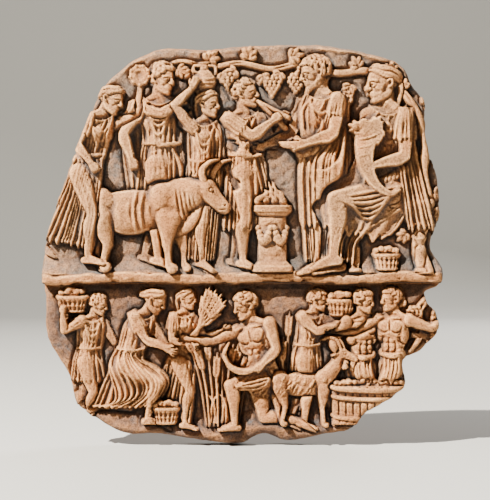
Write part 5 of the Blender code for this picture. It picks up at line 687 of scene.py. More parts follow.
    def reach(self, i, place, hand="grip", side=1, depth=14, turn=0):
        """An arm whose wrist comes to a place (x, z) if that is near enough. Side 1 keeps the elbow low."""
        dx, dz = place[0] - self.shoulder[i][0], place[1] - self.shoulder[i][2]
        upper, fore = (long * self.t * math.cos(math.radians(depth)) for long in (UPPER_ARM, FOREARM))
        far = min(math.hypot(dx, dz), 0.98 * (upper + fore))
        a = math.degrees(math.atan2(dx, -dz))
        at_shoulder = math.degrees(math.acos((upper**2 + far**2 - fore**2) / (2 * upper * far)))
        at_wrist = math.degrees(math.acos((fore**2 + far**2 - upper**2) / (2 * fore * far)))
        angles = (a - side * at_shoulder, depth)
        return angles, self.arm(i, angles, (a + side * at_wrist, depth), hand, turn)

    def hand(self, w, a, b, kind):
        t = self.t
        d = direction(a, b)
        n = direction(a + 90)
        y = np.array([0, t, 0])
        palm = w + d * 0.026 * t
        self.clay.egg(palm, np.array((0.02, 0.0135, 0.029)) * t, np.column_stack([n, [0, 1, 0], d]))
        for q in range(4):
            off = n * (q - 1.5) * t
            if kind == "grip":
                m = palm + d * 0.018 * t + off * 0.0098 + y * 0.008
                self.limb([m - d * 0.004 * t + y * 0.004, m + d * 0.01 * t + y * 0.004,
                           m + d * 0.014 * t - y * 0.006],
                          (0.0068, 0.0068, 0.006), 0.1)
                continue
            spread, curl, long = (0.004, 0, 0.04) if kind == "open" else (0.0012, -0.012, 0.034)
            size = 1 - 0.1 * abs(q - 1.4)
            m = palm + d * 0.02 * t + off * 0.0092
            self.limb([m, m + (d * long * 0.55 * t + off * spread) * size + y * 0.002,
                       m + (d * long * t + off * spread * 2) * size + y * curl],
                       (0.0062, 0.0058, 0.0048), 0.1)
        if kind == "grip":
            self.limb([palm + n * 0.018 * t, palm + n * 0.02 * t + d * 0.018 * t + y * 0.008],
                      (0.0075, 0.0065), 0.2)
        else:
            self.limb([palm + n * 0.014 * t, palm + n * 0.027 * t + d * 0.01 * t,
                       palm + n * 0.03 * t + d * 0.024 * t],
                      (0.0085, 0.0065, 0.0052), 0.3)

    def head(self, yaw, tilt=0, nod=0, hair="short", beard=False, crown=None, seed=1):
        """Neck, face and hair. Tilt leans the head towards +x, and nod bows it."""
        t = self.t
        h = HEAD_TALL * t
        axes = turned(yaw, tilt, nod)
        up = self.chest[:, 2]
        centre = self.neck + (up + axes[:, 2]) * 0.05 * t + axes[:, 1] * 0.02 * t
        r = 0.029 if self.female else 0.036
        self.limb([self.neck - up * 0.02 * t, self.neck + up * 0.02 * t,
                   centre - axes[:, 2] * 0.1 * h - axes[:, 1] * 0.08 * h],
                  (1.15 * r, r, r), 1)
        Head(self.clay, centre, axes, h, seed).finish(hair, beard, crown)


class Head:
    """A head of height h round its middle c, in shares of h: left, front and up."""

    def __init__(self, clay, c, axes, h, seed):
        self.clay, self.c, self.axes, self.h = clay, c, axes, h
        self.rng = np.random.RandomState(seed)

    def point(self, left, front, up):
        return self.c + self.axes @ (np.array([left, front, up]) * self.h)

    def egg(self, left, front, up, radii, fillet=0.5):
        self.clay.egg(self.point(left, front, up), np.multiply(radii, self.h), self.axes, fillet)

    def line(self, points, radii, fillet=0.25):
        self.clay.chain([self.point(*p) for p in points], np.multiply(radii, self.h), fillet)

    def shows(self, left, front=0.0):
        return (self.axes @ np.array([left, front, 0.0]))[1] > -0.02

    def finish(self, hair, beard, crown):
        self.skull()
        for s in (-1, 1):
            self.cheek(s)
        self.nose()
        for s in (-1, 1):
            self.lips(s)
            if self.shows(s):
                self.ear(s)
        if hair == "short":
            self.locks(0.052, 30, 7)
        elif hair == "curls":
            self.locks(0.07, 18, 17)
        else:
            self.waves(hair == "bun")
        if beard:
            self.beard()
        if crown == "wreath":
            self.wreath()
        if crown == "band":
            self.line([self.on_skull(az, self.rim(az), 1.1) for az in range(-180, 181, 20)], 0.028, 0.1)

    def skull(self):
        self.egg(*SKULL_MIDDLE, SKULL, 1)
        self.egg(0, 0.12, 0.13, (0.24, 0.27, 0.28), 1)
        self.egg(0, 0.11, -0.14, (0.21, 0.24, 0.33), 1)
        for s in (-1, 1):
            jaw = [(s * 0.18, -0.09, -0.1), (s * 0.16, -0.02, -0.26), (s * 0.09, 0.19, -0.37),
                   (0, 0.27, -0.4)]
            self.line(jaw, (0.1, 0.1, 0.09, 0.09), 1.2)
        self.egg(0, 0.275, -0.41, (0.1, 0.1, 0.09))
        self.egg(0, 0.25, -0.24, (0.15, 0.14, 0.13), 0.6)

    def cheek(self, s):
        """The eye, brow and cheek of one side."""
        if not self.shows(s * 0.5, 0.5):
            return
        self.clay.dent(self.point(s * 0.12, 0.34, 0.02), 0.1 * self.h, 0.07 * self.h)
        self.clay.dent(self.point(s * 0.18, 0.26, -0.17), 0.09 * self.h, 0.03 * self.h)
        self.egg(s * 0.115, 0.262, 0.01, (0.07, 0.075, 0.055), 0.05)
        self.line([(s * 0.05, 0.34, 0.005), (s * 0.11, 0.352, 0.052), (s * 0.19, 0.28, 0.008)],
                  (0.018, 0.026, 0.02), 0.1)
        self.line([(s * 0.06, 0.33, 0.0), (s * 0.115, 0.33, -0.04), (s * 0.18, 0.28, -0.005)],
                  (0.014, 0.018, 0.014), 0.1)
        self.line([(s * 0.03, 0.37, 0.1), (s * 0.12, 0.345, 0.13), (s * 0.215, 0.25, 0.09)],
                  (0.04, 0.045, 0.04), 0.5)
        self.egg(s * 0.112, 0.13, -0.06, (0.1, 0.15, 0.12), 1.5)

    def nose(self):
        ridge = [(0, 0.345, 0.16), (0, 0.375, 0.07), (0, 0.42, -0.02), (0, 0.455, -0.085), (0, 0.45, -0.105)]
        self.line(ridge, (0.05, 0.045, 0.048, 0.055, 0.055), 0.5)
        for s in (-1, 1):
            self.egg(s * 0.05, 0.4, -0.1, (0.045, 0.06, 0.042), 0.4)

    def lips(self, s):
        self.line([(0, 0.36, -0.205), (s * 0.045, 0.352, -0.2), (s * 0.1, 0.3, -0.228)],
                  (0.03, 0.03, 0.016), 0.2)
        self.line([(0, 0.35, -0.262), (s * 0.045, 0.34, -0.264), (s * 0.09, 0.29, -0.24)],
                  (0.033, 0.032, 0.016), 0.2)

    def ear(self, s):
        shell = [(s * 0.3, -0.01, 0.05), (s * 0.33, -0.07, 0.09), (s * 0.34, -0.13, 0.03),
                 (s * 0.33, -0.1, -0.06), (s * 0.3, -0.03, -0.11)]
        self.line(shell, (0.026, 0.032, 0.034, 0.03, 0.036), 0.1)

    def on_skull(self, az, el, out=1.0):
        """A place on the skull: az degrees from the front round to its left, and el degrees up."""
        a, e = math.radians(az), math.radians(el)
        across = out * math.cos(e)
        return (SKULL[0] * across * math.sin(a), SKULL_MIDDLE[1] + SKULL[1] * across * math.cos(a),
                SKULL_MIDDLE[2] + SKULL[2] * out * math.sin(e))

    def rim(self, az):
        """How high a band or wreath lies at a bearing."""
        return 38 - 11 * (1 - math.cos(math.radians(az)))

    def locks(self, r, long, bend):
        """Locks of hair in rows from the crown down. Each is long degrees and bends to either side."""
        rows = 0.68 * long + 4
        for row, el in enumerate(np.arange(-42, 90, rows)):
            step = 300 * r / max(0.2, math.cos(math.radians(el)))
            for az in np.arange(-180, 180, step):
                az += self.rng.uniform(-4, 4) + row % 2 * step / 2
                bearing = abs((az + 180) % 360 - 180)
                if el + 2 < np.interp(bearing, [0, 35, 60, 78, 92, 110, 180], [40, 38, 28, -2, 4, -32, -42]):
                    continue
                side = self.rng.choice([-1, 1]) * bend / max(0.35, math.cos(math.radians(el)))
                top = min(88, el + 0.45 * long)
                lock = [self.on_skull(az, top, 1.07), self.on_skull(az + side, el + 0.1 * long, 1.15),
                        self.on_skull(az + 0.7 * side, el - 0.3 * long, 1.14),
                        self.on_skull(az - 0.2 * side, el - 0.55 * long, 1.07)]
                self.line(lock, (r * 0.6, r, r * self.rng.uniform(0.75, 0.95), r * 0.35), 0.02)

    def waves(self, bun):
        """Strands combed back from a middle parting, into a bun or down the neck."""
        for s in (-1, 1):
            for n in range(7):
                az0, el0 = 6 + 4.5 * n, 68 - 6 * n
                way = []
                for v in np.linspace(0, 1, 7):
                    az = az0 * (1 - v) + 168 * v + 3 * math.sin(9 * v + n)
                    rise = 14 * math.sin(math.pi * v) if n < 4 else 0
                    el = el0 * (1 - v) - (6 + 4 * n) * v + rise + 2.5 * math.sin(14 * v)
                    way.append(self.on_skull(s * az, el, 1.08 + 0.05 * (n % 2)))
                self.line(way, (0.034,) + (0.052,) * 5 + (0.036,), 0.0)
        if bun:
            self.egg(0, -0.52, 0.04, (0.15, 0.16, 0.15), 0.1)
            for q in range(4):
                a, back = 0.8 * q, -0.5 - 0.05 * q
                coil = [(0.12 * math.cos(a), back, 0.04 + 0.15 * math.sin(a)), (0, -0.66 + 0.02 * q, 0.02),
                        (-0.12 * math.cos(a), back, 0.04 - 0.14 * math.sin(a))]
                self.line(coil, 3 * (0.03,), 0.02)
            return
        for n in range(5):
            side, wave = (n - 2) * 0.09, 0.05 * (n % 2)
            self.line([(side, -0.42, -0.05), (side * 1.1, -0.4 - wave, -0.25), (side * 1.1, -0.33, -0.45),
                       (side, -0.3 - wave, -0.6)], (0.07, 0.06, 0.055, 0.03), 0.05)

    def beard(self):
        for s in (-1, 1):
            for v in np.linspace(0, 1, 6):
                root = np.array([s * (0.28 - 0.25 * v), -0.06 + 0.33 * v, -0.16 - 0.2 * v])
                for q in range(2):
                    tip = root * (0.8 - 0.2 * q, 1, 1) + (0, 0.05 + 0.05 * q, -0.13 - 0.07 * v - 0.04 * q)
                    bend = (root + tip) / 2 + (self.rng.uniform(-0.03, 0.03), 0.03, 0)
                    self.line([root, bend, tip], (0.055, 0.05, 0.022), 0.02)
            self.line([(0, 0.405, -0.165), (s * 0.07, 0.38, -0.185), (s * 0.13, 0.29, -0.27)],
                      (0.022, 0.03, 0.02), 0.03)

    def wreath(self):
        for az in np.arange(-180, 180, 14):
            stalk = self.on_skull(az, self.rim(az), 1.14)
            for up in (-9, 9):
                self.line([stalk, self.on_skull(az + 13, self.rim(az) + up, 1.24)], (0.034, 0.016), 0.02)


# Animals, plants and vessels

class Beast:
    """The clay of an animal that faces +x, worked in shares of its height t at the shoulder.
    Its window reaches back to rear and up to top."""

    def __init__(self, t, rear, top):
        self.t = t
        self.clay = Clay(rear * t, 1.2 * t, -0.06 * t, top * t)

    def chain(self, points, radii, fillet):
        self.clay.chain(np.multiply(points, self.t), np.multiply(radii, self.t), fillet)

    def egg(self, centre, radii, fillet):
        self.clay.egg(np.multiply(centre, self.t), np.multiply(radii, self.t), fillet=fillet)

    def dent(self, place, radius, depth):
        self.clay.dent(np.multiply(place, self.t), radius * self.t, depth)

    def line(self, points, width, height, even=False):
        self.clay.stroke(np.multiply(points, self.t), width * self.t, height, even)

    def eye(self, place, radius, depth):
        self.dent(place, 0.035, depth)
        self.egg(place, radius, 0.05)

    def joints(self, hip, lean, back, split):
        """The hip, knee and foot of a leg. Split is how far down the knee lies, as a share."""
        hip = np.array(hip)
        knee = hip + direction(lean) * split * hip[2]
        return hip, knee, knee + direction(back) * ((1 - split) * hip[2] - 0.05)


def ox(t):
    """An ox with a ribbon round its middle, walking."""
    b = Beast(t, -1.05, 1.4)

    def leg(hip, lean, back, thick):
        hip, knee, foot = b.joints(hip, lean, back, 0.53)
        b.chain([hip, (hip + knee) / 2, knee], np.array((1.05, 0.66, 0.36)) * thick, 2)
        b.egg(knee, 0.4 * thick, 0.6)
        b.chain([knee, (knee + foot) / 2, foot], np.array((0.36, 0.26, 0.29)) * thick, 0.5)
        b.chain([foot, foot + direction(40) * 0.055], np.array((0.3, 0.42)) * thick, 0.1)

    leg((0.44, -0.02, 0.5), 14, 2, 0.12)
    leg((-0.52, -0.02, 0.5), 0, 16, 0.12)
    body = (((-0.05, 0.02, 0.68), (0.54, 0.18, 0.24), 3), ((-0.12, 0.04, 0.6), (0.3, 0.19, 0.2), 3),
            ((0.36, 0.05, 0.74), (0.23, 0.18, 0.27), 3), ((0.26, 0.02, 0.9), (0.2, 0.13, 0.14), 3),
            ((-0.47, 0.05, 0.72), (0.19, 0.18, 0.23), 3), ((-0.6, 0.0, 0.84), (0.09, 0.1, 0.08), 2))
    for form in body:
        b.egg(*form)
    b.chain([(0.3, 0.04, 0.8), (0.52, 0.06, 0.86), (0.7, 0.08, 0.92)], (0.22, 0.2, 0.135), 2.5)
    b.chain([(0.46, 0.05, 0.46), (0.56, 0.06, 0.52), (0.66, 0.07, 0.66), (0.72, 0.07, 0.8)],
            (0.07, 0.075, 0.06, 0.045), 1.5)
    leg((0.33, 0.12, 0.6), -3, 6, 0.145)
    leg((-0.46, 0.12, 0.6), 16, -14, 0.15)
    head = np.array([0.76, 0.1, 0.93])
    nose = head + direction(44, 8) * 0.28
    b.chain([head, (head + nose) / 2, nose], (0.13, 0.1, 0.082), 1)
    b.chain([nose, nose + direction(52, 8) * 0.03], (0.08, 0.074), 0.3)
    b.eye(head + direction(44) * 0.07 + (0.02, 0.11, 0.035), 0.021, 1.0)
    b.dent(nose + (0.035, 0, 0.01), 0.016, 0.9)
    b.line([(nose[0] - 0.04, nose[2] - 0.045), (nose[0] + 0.05, nose[2] - 0.035)], 0.012, -0.7)
    for y, out in ((0.07, 0.0), (-0.05, 0.07)):
        way = ((0, 0, 0), (-0.02 + out, 0.02, 0.12), (0.07 + out, 0, 0.22), (0.17 + out, 0, 0.25))
        b.chain(head + (-0.02 + out, y, 0.09) + way, (0.042, 0.035, 0.022, 0.01), 0.3)
    ear = ((-0.07, 0.06, 0.03), (-0.16, 0.09, 0.03), (-0.23, 0.07, -0.03))
    b.chain(head + ear, (0.024, 0.036, 0.012), 0.2)
    b.chain([(-0.63, 0.06, 0.82), (-0.69, 0.06, 0.72), (-0.66, 0.08, 0.48)], (0.03, 0.024, 0.018), 0.4)
    b.chain([(-0.66, 0.08, 0.48), (-0.68, 0.08, 0.34)], (0.034, 0.012), 0.2)
    for n in range(5):
        x = 0.42 + 0.05 * n
        b.line([(x, 0.93 - 0.02 * n), (x + 0.03, 0.72), (x + 0.07, 0.5 + 0.05 * n)], 0.018, -0.6)
    for n in range(4):
        x = 0.12 - 0.12 * n
        b.line([(x, 0.8), (x - 0.02, 0.66), (x + 0.02, 0.52)], 0.03, 0.4)
    for x in (-0.04, 0.04):
        b.line([(x, 0.9), (x - 0.03, 0.68), (x, 0.42)], 0.024, 1.0, even=True)
    return b.clay


def goat(t):
    """A goat looking up."""
    b = Beast(t, -1.1, 1.8)

    def leg(hip, lean, back, thick):
        hip, knee, foot = b.joints(hip, lean, back, 0.5)
        b.chain([hip, hip * 0.4 + knee * 0.6, knee], np.array((1.0, 0.6, 0.35)) * thick, 1.2)
        b.chain([knee, foot, foot + direction(60) * 0.05], np.array((0.32, 0.25, 0.36)) * thick, 0.4)

    leg((0.4, -0.02, 0.52), 12, 0, 0.11)
    leg((-0.5, -0.02, 0.52), 2, 16, 0.11)
    b.egg((-0.06, 0.02, 0.72), (0.5, 0.17, 0.21), 2)
    b.egg((0.3, 0.05, 0.76), (0.18, 0.16, 0.22), 2)
    b.egg((-0.45, 0.05, 0.76), (0.17, 0.16, 0.2), 2)
    leg((0.3, 0.1, 0.66), -5, 5, 0.13)
    leg((-0.45, 0.1, 0.66), 16, -12, 0.13)
    b.chain([(0.34, 0.05, 0.84), (0.5, 0.07, 1.04), (0.58, 0.09, 1.22)], (0.15, 0.11, 0.085), 1.5)
    head = np.array([0.6, 0.1, 1.26])
    nose = head + direction(66, 5) * 0.26
    b.chain([head, (head + nose) / 2, nose], (0.095, 0.072, 0.05), 1)
    b.eye(head + direction(66) * 0.06 + (0, 0.085, 0.03), 0.02, 0.6)
    for y, out in ((0.04, 0), (-0.02, 0.06)):
        way = ((0, 0, 0), (-0.06, 0.01, 0.14), (-0.2, 0, 0.2), (-0.34, 0, 0.14))
        b.chain(head + (-0.02 + out, y, 0.07) + way, (0.036, 0.032, 0.024, 0.01), 0.3)
    b.chain(head + ((-0.05, 0.06, 0.0), (-0.17, 0.09, -0.05)), (0.03, 0.014), 0.2)
    for n in range(3):
        x = -0.06 + 0.02 * n
        b.chain(nose + ((x, 0, -0.05), (x - 0.03, 0, -0.2)), (0.024, 0.008), 0.05)
    b.chain([(-0.6, 0.05, 0.86), (-0.69, 0.05, 0.95)], (0.04, 0.014), 0.3)
    rng = np.random.RandomState(3)
    for _ in range(46):
        x, z = rng.uniform(-0.55, 0.42), rng.uniform(0.56, 0.9)
        b.line([(x, z), (x - 0.02, z - 0.05), (x - 0.06, z - 0.09)], 0.018, 0.5)
    return b.clay


def leaf(clay, x, z, a, size, y):
    """A lobed leaf on a stalk at (x, z) that points along the angle a."""
    for turn, long in ((-70, 0.62), (-35, 0.85), (0, 1.0), (35, 0.85), (70, 0.62)):
        d = direction(a + turn)
        axes = np.column_stack([d, [0, 1, 0], direction(a + turn + 90)])
        middle = np.array([x, y, z]) + d * size * 0.5 * long
        clay.egg(middle, (size * 0.52 * long, size * 0.22, size * 0.2), axes, 0.35)
    for turn, long in ((-50, 0.7), (0, 0.9), (50, 0.7)):
        d = direction(a + turn) * size * long
        clay.stroke([(x, z), (x + d[0], z + d[2])], size * 0.06 + 0.15, -0.45)


def grapes(clay, x, z, size, y, seed):
    rng = np.random.RandomState(seed)
    for row, count in enumerate((3, 4, 4, 3, 2, 1)):
        for i in range(count):
            off = i - (count - 1) / 2
            place = (x + (0.36 * off + rng.uniform(-0.03, 0.03)) * size,
                     y + 0.16 * size * (1 - abs(off) / 2.5), z - 0.28 * size * row)
            clay.egg(place, 0.2 * size, fillet=0.02)


def fruit(clay, x, z, r, count, spread, y, seed):
    """A heap of round fruit."""
    rng = np.random.RandomState(seed)
    for _ in range(count):
        off = rng.uniform(-1, 1)
        high = rng.uniform(-0.2, 1) * r * 1.6 * (1 - abs(off) / 1.6)
        clay.egg((x + off * spread, y + rng.uniform(0, 0.8), z + high),
                 r * rng.uniform(0.8, 1.1), fillet=0.03)


def hoop(clay, x, z, r, y, thick, deep=0.8):
    """A ring round a turned form of radius r."""
    way = [(x + r * math.sin(a), y + deep * r * math.cos(a) * 0.98, z - 0.1 * r * math.cos(a))
           for a in np.linspace(-1.57, 1.57, 7)]
    clay.chain(way, thick, 0.1)


def basket(clay, x, z, r, tall, y, seed):
    """A wicker basket of fruit whose foot is at (x, z)."""
    clay.lathe(x, [(z, r * 0.72), (z + tall * 0.4, r * 0.9), (z + tall, r)], 0.75, y)
    for n in range(3):
        hoop(clay, x, z + tall * (0.15 + 0.36 * n), r * (0.78 + 0.1 * n), y, 0.06 * r + 0.2, 0.75)
    columns = int(r * 1.6) + 3
    for n in range(columns):
        s = math.sin(1.35 * ((n + 0.5) / columns * 2 - 1))
        clay.stroke([(x + s * r * 0.72, z), (x + s * r * 0.98, z + tall)],
                    0.28, 0.4 if n % 2 else -0.5, even=True)
    hoop(clay, x, z + tall, r, y, 0.1 * r + 0.3, 0.75)
    fruit(clay, x, z + tall + 0.2 * r, 0.23 * r, 16, r * 0.8, y + 0.3 * r, seed)


def altar(tall, r):
    """A round altar with a hanging garland, and a small fire on top."""
    clay = Clay(-2.2 * r, 2.2 * r, -1, 1.6 * tall)
    profile = ((0, 1.18), (0.09, 1.18), (0.1, 1.05), (0.15, 0.9), (0.16, 0.86), (0.84, 0.82), (0.85, 0.92),
               (0.9, 1.08), (0.91, 1.16), (1, 1.16))
    clay.lathe(0, [(z * tall, w * r) for z, w in profile], 0.75, 0, 0)
    for s in (-1, 1):
        for v in np.linspace(0, 1, 9):
            x, sag = s * r * (0.1 + 0.72 * v), math.sin(math.pi * v)
            y = 0.75 * math.sqrt(max(0, (0.84 * r) ** 2 - x * x))
            clay.egg((x, y + 0.5, tall * (0.66 - 0.2 * sag)), 1.5 + 0.7 * sag, fillet=0.1)
        ribbon = ((0.1, 0.65, 0.68), (0.08, 0.68, 0.58), (0.14, 0.68, 0.48))
        clay.chain([(s * a * r, b * r, c * tall) for a, b, c in ribbon], (0.9, 0.7, 1.0), 0.1)
    for n in range(-3, 4):
        x, bend = n * r * 0.23, (-1) ** n
        tip = tall * (1.34 - 0.06 * abs(n)) + 2.5 * (n % 2)
        flame = [(x, 2, tall), (x + 1.4 * bend, 3, 1.08 * tall), (0.6 * x - 1.0 * bend, 3, 1.17 * tall),
                 (0.5 * x + 0.9 * bend, 2, tip)]
        clay.chain(flame, (1.9, 1.6, 1.1, 0.3), 0.1)
    return clay


def wheat_ear(clay, root, d):
    """An ear of wheat that starts at root and points along d."""
    side = np.array([-d[2], 0, d[0]])
    for q in range(5):
        for s in (-1, 1):
            grain = root + d * q * 1.7 + side * 0.5 * s
            clay.chain([grain, grain + d * 2.0 + side * 0.9 * s + np.array([0, 0.4, 0])], (1.0, 0.5), 0.0)
    clay.chain([root + d * 8, root + d * 11], (0.7, 0.3), 0.0)


def standing_wheat():
    """Wheat with its ears nodding to both sides."""
    clay = Clay(-20, 20, -1, 58)
    rng = np.random.RandomState(6)
    for i in range(-4, 5):
        x, lean = 2.0 * i + rng.uniform(-0.3, 0.3), 2.6 * i + rng.uniform(-2, 2)
        high, y = (37, 29, 34, 25)[i % 4] + rng.uniform(-1, 1), 0.6 + 1.4 * (i % 2)
        top = np.array([x + math.tan(math.radians(lean)) * high, y, high])
        clay.chain([(x, y - 0.4, 0), ((x + top[0]) / 2 - lean * 0.06, y, high * 0.55), top], 0.6, 0.0)
        wheat_ear(clay, top, direction(180 - lean * 2.0 - rng.uniform(-8, 8)))
    for i in range(-2, 3):
        side = (-1) ** i
        clay.chain([(3 * i, 0.5, 2), (3 * i + 1.5 * side, 1.5, 12), (3 * i + 4.5 * side, 1.0, 16)],
                   (0.9, 0.7, 0.3), 0.05)
    return clay


def stem(clay, points, radii, seed=2):
    """A woody stem with cracks along its bark."""
    clay.chain(points, radii)
    path = curve(points, 1.0)
    rng = np.random.RandomState(seed)
    for _ in range(12):
        i = rng.randint(0, max(1, len(path) - 12))
        off = rng.uniform(-0.6, 0.6) * np.mean(radii)
        clay.stroke([(p[0] + off, p[2]) for p in path[i : i + 12 : 4]], 0.45, -0.7)


def climbing_vine():
    """A vine that climbs the right edge, with leaves and grapes."""
    clay = Clay(-146, 16, -2, 114)
    trunk = ((4, 1.5, -1), (1, 2, 14), (6, 2, 30), (3, 2, 48), (5, 2, 64), (-1, 2, 80), (-11, 2, 92),
             (-24, 1.5, 99), (-40, 1, 98), (-56, 1, 103), (-72, 1, 100), (-88, 1, 103), (-104, 1, 101),
             (-118, 1, 104), (-130, 1, 99))
    stem(clay, trunk, (4.2, 3.3, 3.0, 2.7, 2.4, 2.1, 1.9, 1.8, 1.7, 1.6, 1.5, 1.4, 1.3, 1.1, 0.7))
    stem(clay, [(3, 1, 44), (-6, 1, 54), (-9, 1, 66)], (1.9, 1.4, 0.8))
    leaves = ((9, 70, 70), (8, 55, 95), (-2, 74, -60), (4, 82, 130), (-6, 90, -150), (-13, 98, 170),
              (-20, 92, -40), (-29, 101, -150), (-33, 92, -20), (-44, 96, -110), (-43, 84, -60),
              (-10, 60, -80), (-9, 72, -140), (9, 38, 80), (-3, 32, -70), (10, 20, 60), (-5, 18, -50),
              (-56, 100, -30), (-63, 106, 100), (-68, 98, -30), (-77, 97, 20), (-84, 105, 170),
              (-90, 99, -60), (-97, 98, 30), (-104, 104, 140), (-112, 99, -10), (-119, 100, 60),
              (-128, 98, -60))
    for i, (x, z, a) in enumerate(leaves):
        leaf(clay, x, z, a, 6.2 if i % 3 else 7.2, 2.2)
    bunches = ((-36, 88), (10, 63), (-10, 54), (8, 30), (-60, 97), (-72, 95), (-93, 97), (-108, 96))
    for i, (x, z) in enumerate(bunches):
        grapes(clay, x, z, 6.0, 2.2, i)
    return clay


def vine_end():
    """The end of a vine, for the lobe at the lower right."""
    clay = Clay(-26, 16, -34, 14)
    stem(clay, [(8, 1, 4), (2, 1.6, -4), (4, 1.6, -14), (-2, 1.4, -24)], (2.2, 1.9, 1.6, 1.0))
    for x, z, a in ((-5, 2, -70), (9, -6, 80), (-4, -9, -90), (8, -17, 40), (-8, -20, -60)):
        leaf(clay, x, z, a, 5.6, 2.0)
    for i, (x, z) in enumerate(((0, -2), (9, -10), (-6, -13))):
        grapes(clay, x, z, 5.6, 2.0, i)
    return clay


def vat(width, tall):
    """A treading vat of upright staves with two hoops, full of grapes."""
    clay = Clay(-width / 2 - 4, width / 2 + 4, -1, tall + 8)
    half = width / 2
    clay.lathe(0, [(0, half * 0.94), (tall, half)], 0.3, 1.0, 0)
    staves = int(width / 3.4)
    for i in range(staves + 1):
        x = (i / staves - 0.5) * width
        clay.stroke([(x * 0.95, 0), (x, tall)], 0.45, -0.8, even=True)
    for z, thick in ((0.24, 1.0), (0.76, 1.0), (1.0, 1.3)):
        hoop(clay, 0, z * tall, half * (0.94 + 0.06 * z), 1.2, thick, 0.3)
    fruit(clay, 0, tall + 1.0, 1.5, 34, half * 0.9, 3.0, 3)
    return clay


def full_basket():
    clay = Clay(-12, 12, -1, 20)
    basket(clay, 0, 0, 6.5, 8.0, 0.5, 5)
    return clay


# The people of the upper scene

def dancer(t):
    """A woman who dances up the left edge with a small drum, her mantle blown back."""
    f = Figure(t, 62, 14, (50, 20, 4), ((20, 8, -8, 0), (-24, -4, -44, -6)), female=True)
    f.dress([(f.shoulder[0], -0.01, 0.055), (f.heart, -0.145, 0.03), (f.pelvis, -0.19, 0.065),
             (f.knee[1], -0.13, 0.13)],
            [(f.shoulder[0], 0.03, 0.01), (f.heart, -0.055, -0.065), (f.pelvis, -0.09, -0.03),
             (f.knee[1], -0.03, 0.02)],
            folds=6, deep=2.4, seed=8, thick=0.6, keep=0.2)
    f.stand((66, 0), (82, 12))
    wrist = f.arm(1, (112, 5), (176, 5), "open")
    f.trunk()
    f.skirt((f.ankle[1], -0.07, 0.05), (f.ankle[0], 0.035, 0.03), 3, folds=15, fan=0.7, hem=1.6)
    f.bodice(6, low=-0.05, hem=1.4)
    f.belt()
    for i in range(5):
        f.fold([(f.hip[0], 0.03 - 0.03 * i, -0.02), (f.knee[0], 0.01 - 0.035 * i, 0.02),
                (f.ankle[0], 0.0 - 0.035 * i, 0.05)], 0.8, 0.9)
    f.sleeved((-20, 14), (36, 25), "grip", 7)
    f.head(66, 16, 4, "bun", crown="wreath", seed=4)
    drum = wrist + np.array([0.0, 0.03, 0.08]) * t
    f.clay.egg(drum, np.array((0.058, 0.02, 0.058)) * t, fillet=0.2)
    for n in range(9):
        f.clay.egg(drum + direction(40 * n) * 0.052 * t + np.array([0, 0.02 * t, 0]), 0.01 * t, fillet=0.02)
    f.clay.dent(drum, 0.035 * t, 1.4)
    return f.clay


def tunic(f, hem, seed, flare=0.13):
    """A belted tunic over the trunk, down to the height hem (a share of the figure's)."""
    knees = np.array([(f.knee[0][0] + f.knee[1][0]) / 2, 0, hem * f.t])
    f.skirt((knees, -flare, 0), (knees, flare, 0), seed, folds=9, deep=2.6, hem=1.6, thick=1.0)
    f.bodice(seed + 5)
    f.belt()


def herdsman(t):
    """A youth in a short tunic and cloak beside the ox."""
    f = Figure(t, 50, 0, (28, -3, 0), ((4, 0, -2, 0), (-10, -5, -20, 0)))
    f.dress([(f.shoulder[0], -0.05, 0.03), (f.waist, -0.2, 0), (f.knee[1], -0.16, 0.06)],
            [(f.shoulder[0], 0.05, 0.03), (f.waist, -0.03, 0), (f.knee[1], -0.02, 0.02)],
            folds=6, seed=9, thick=0.5, keep=0.2, hem=1.8)
    f.stand((70, 20), (70, 20))
    f.arm(1, (36, -5), (64, 5), "rest")
    f.trunk()
    tunic(f, 0.33, 11)
    f.roll([(f.shoulder[0], -0.03, 0.05, 0.015), (f.shoulder[0], 0.03, 0.09, -0.01),
            (f.heart, 0.0, 0.1, 0.02), (f.shoulder[1], -0.02, 0.07, 0.0),
            (f.shoulder[1], 0.015, 0.03, 0.02)], 0.024, 4, 1.2)
    f.swags((f.shoulder[0], -0.01, 0.0), (f.shoulder[1], 0.0, 0.0), (0.05, 0.075), 0.9, 1.3)
    f.sleeved((-28, 12), (18, 22), "grip", 21, 0.5)
    f.head(48, 3, 4, "curls", seed=7)
    return f.clay


def jug_bearer(t):
    """A girl in a long dress with a jug on her head."""
    f = Figure(t, 50, -2, (40, 2, 0), ((6, 0, -2, 0), (-6, 0, -12, 0)), female=True)
    f.stand((60, 20), (66, 26))
    f.arm(1, (8, -10), (24, 0), "rest")
    f.trunk()
    f.skirt((f.ankle[1], -0.08, 0), (f.ankle[0], 0.07, 0), 41, folds=12)
    f.bodice(14, folds=9, low=-0.09, hem=1.8, thick=1.2)
    f.belt(0.011)
    f.head(58, 2, 2, "waves", crown="band", seed=15)
    x, _, z = f.neck + np.array([0.0, 0, 0.15]) * t
    f.sleeve(0, f.reach(0, (x - 0.075 * t, z + 0.03 * t), "rest", -1, turn=20)[0], 31, 0.4)
    profile = ((0, 0.03), (0.01, 0.034), (0.02, 0.024), (0.05, 0.06), (0.09, 0.068), (0.13, 0.044),
               (0.145, 0.026), (0.175, 0.024), (0.19, 0.038))
    f.clay.lathe(x, [(z + a * t, r * t) for a, r in profile], 0.75, 0.5, 0.1)
    for s in (-1, 1):
        handle = ((0.024, 0.17), (0.06, 0.165), (0.066, 0.12))
        f.clay.chain([(x + s * a * t, 1, z + b * t) for a, b in handle], 0.8, 0.1)
    for a, b in ((0.075, 0.066), (0.1, 0.064)):
        hoop(f.clay, x, z + a * t, b * t, 0.6, 0.35, 0.75)
    return f.clay


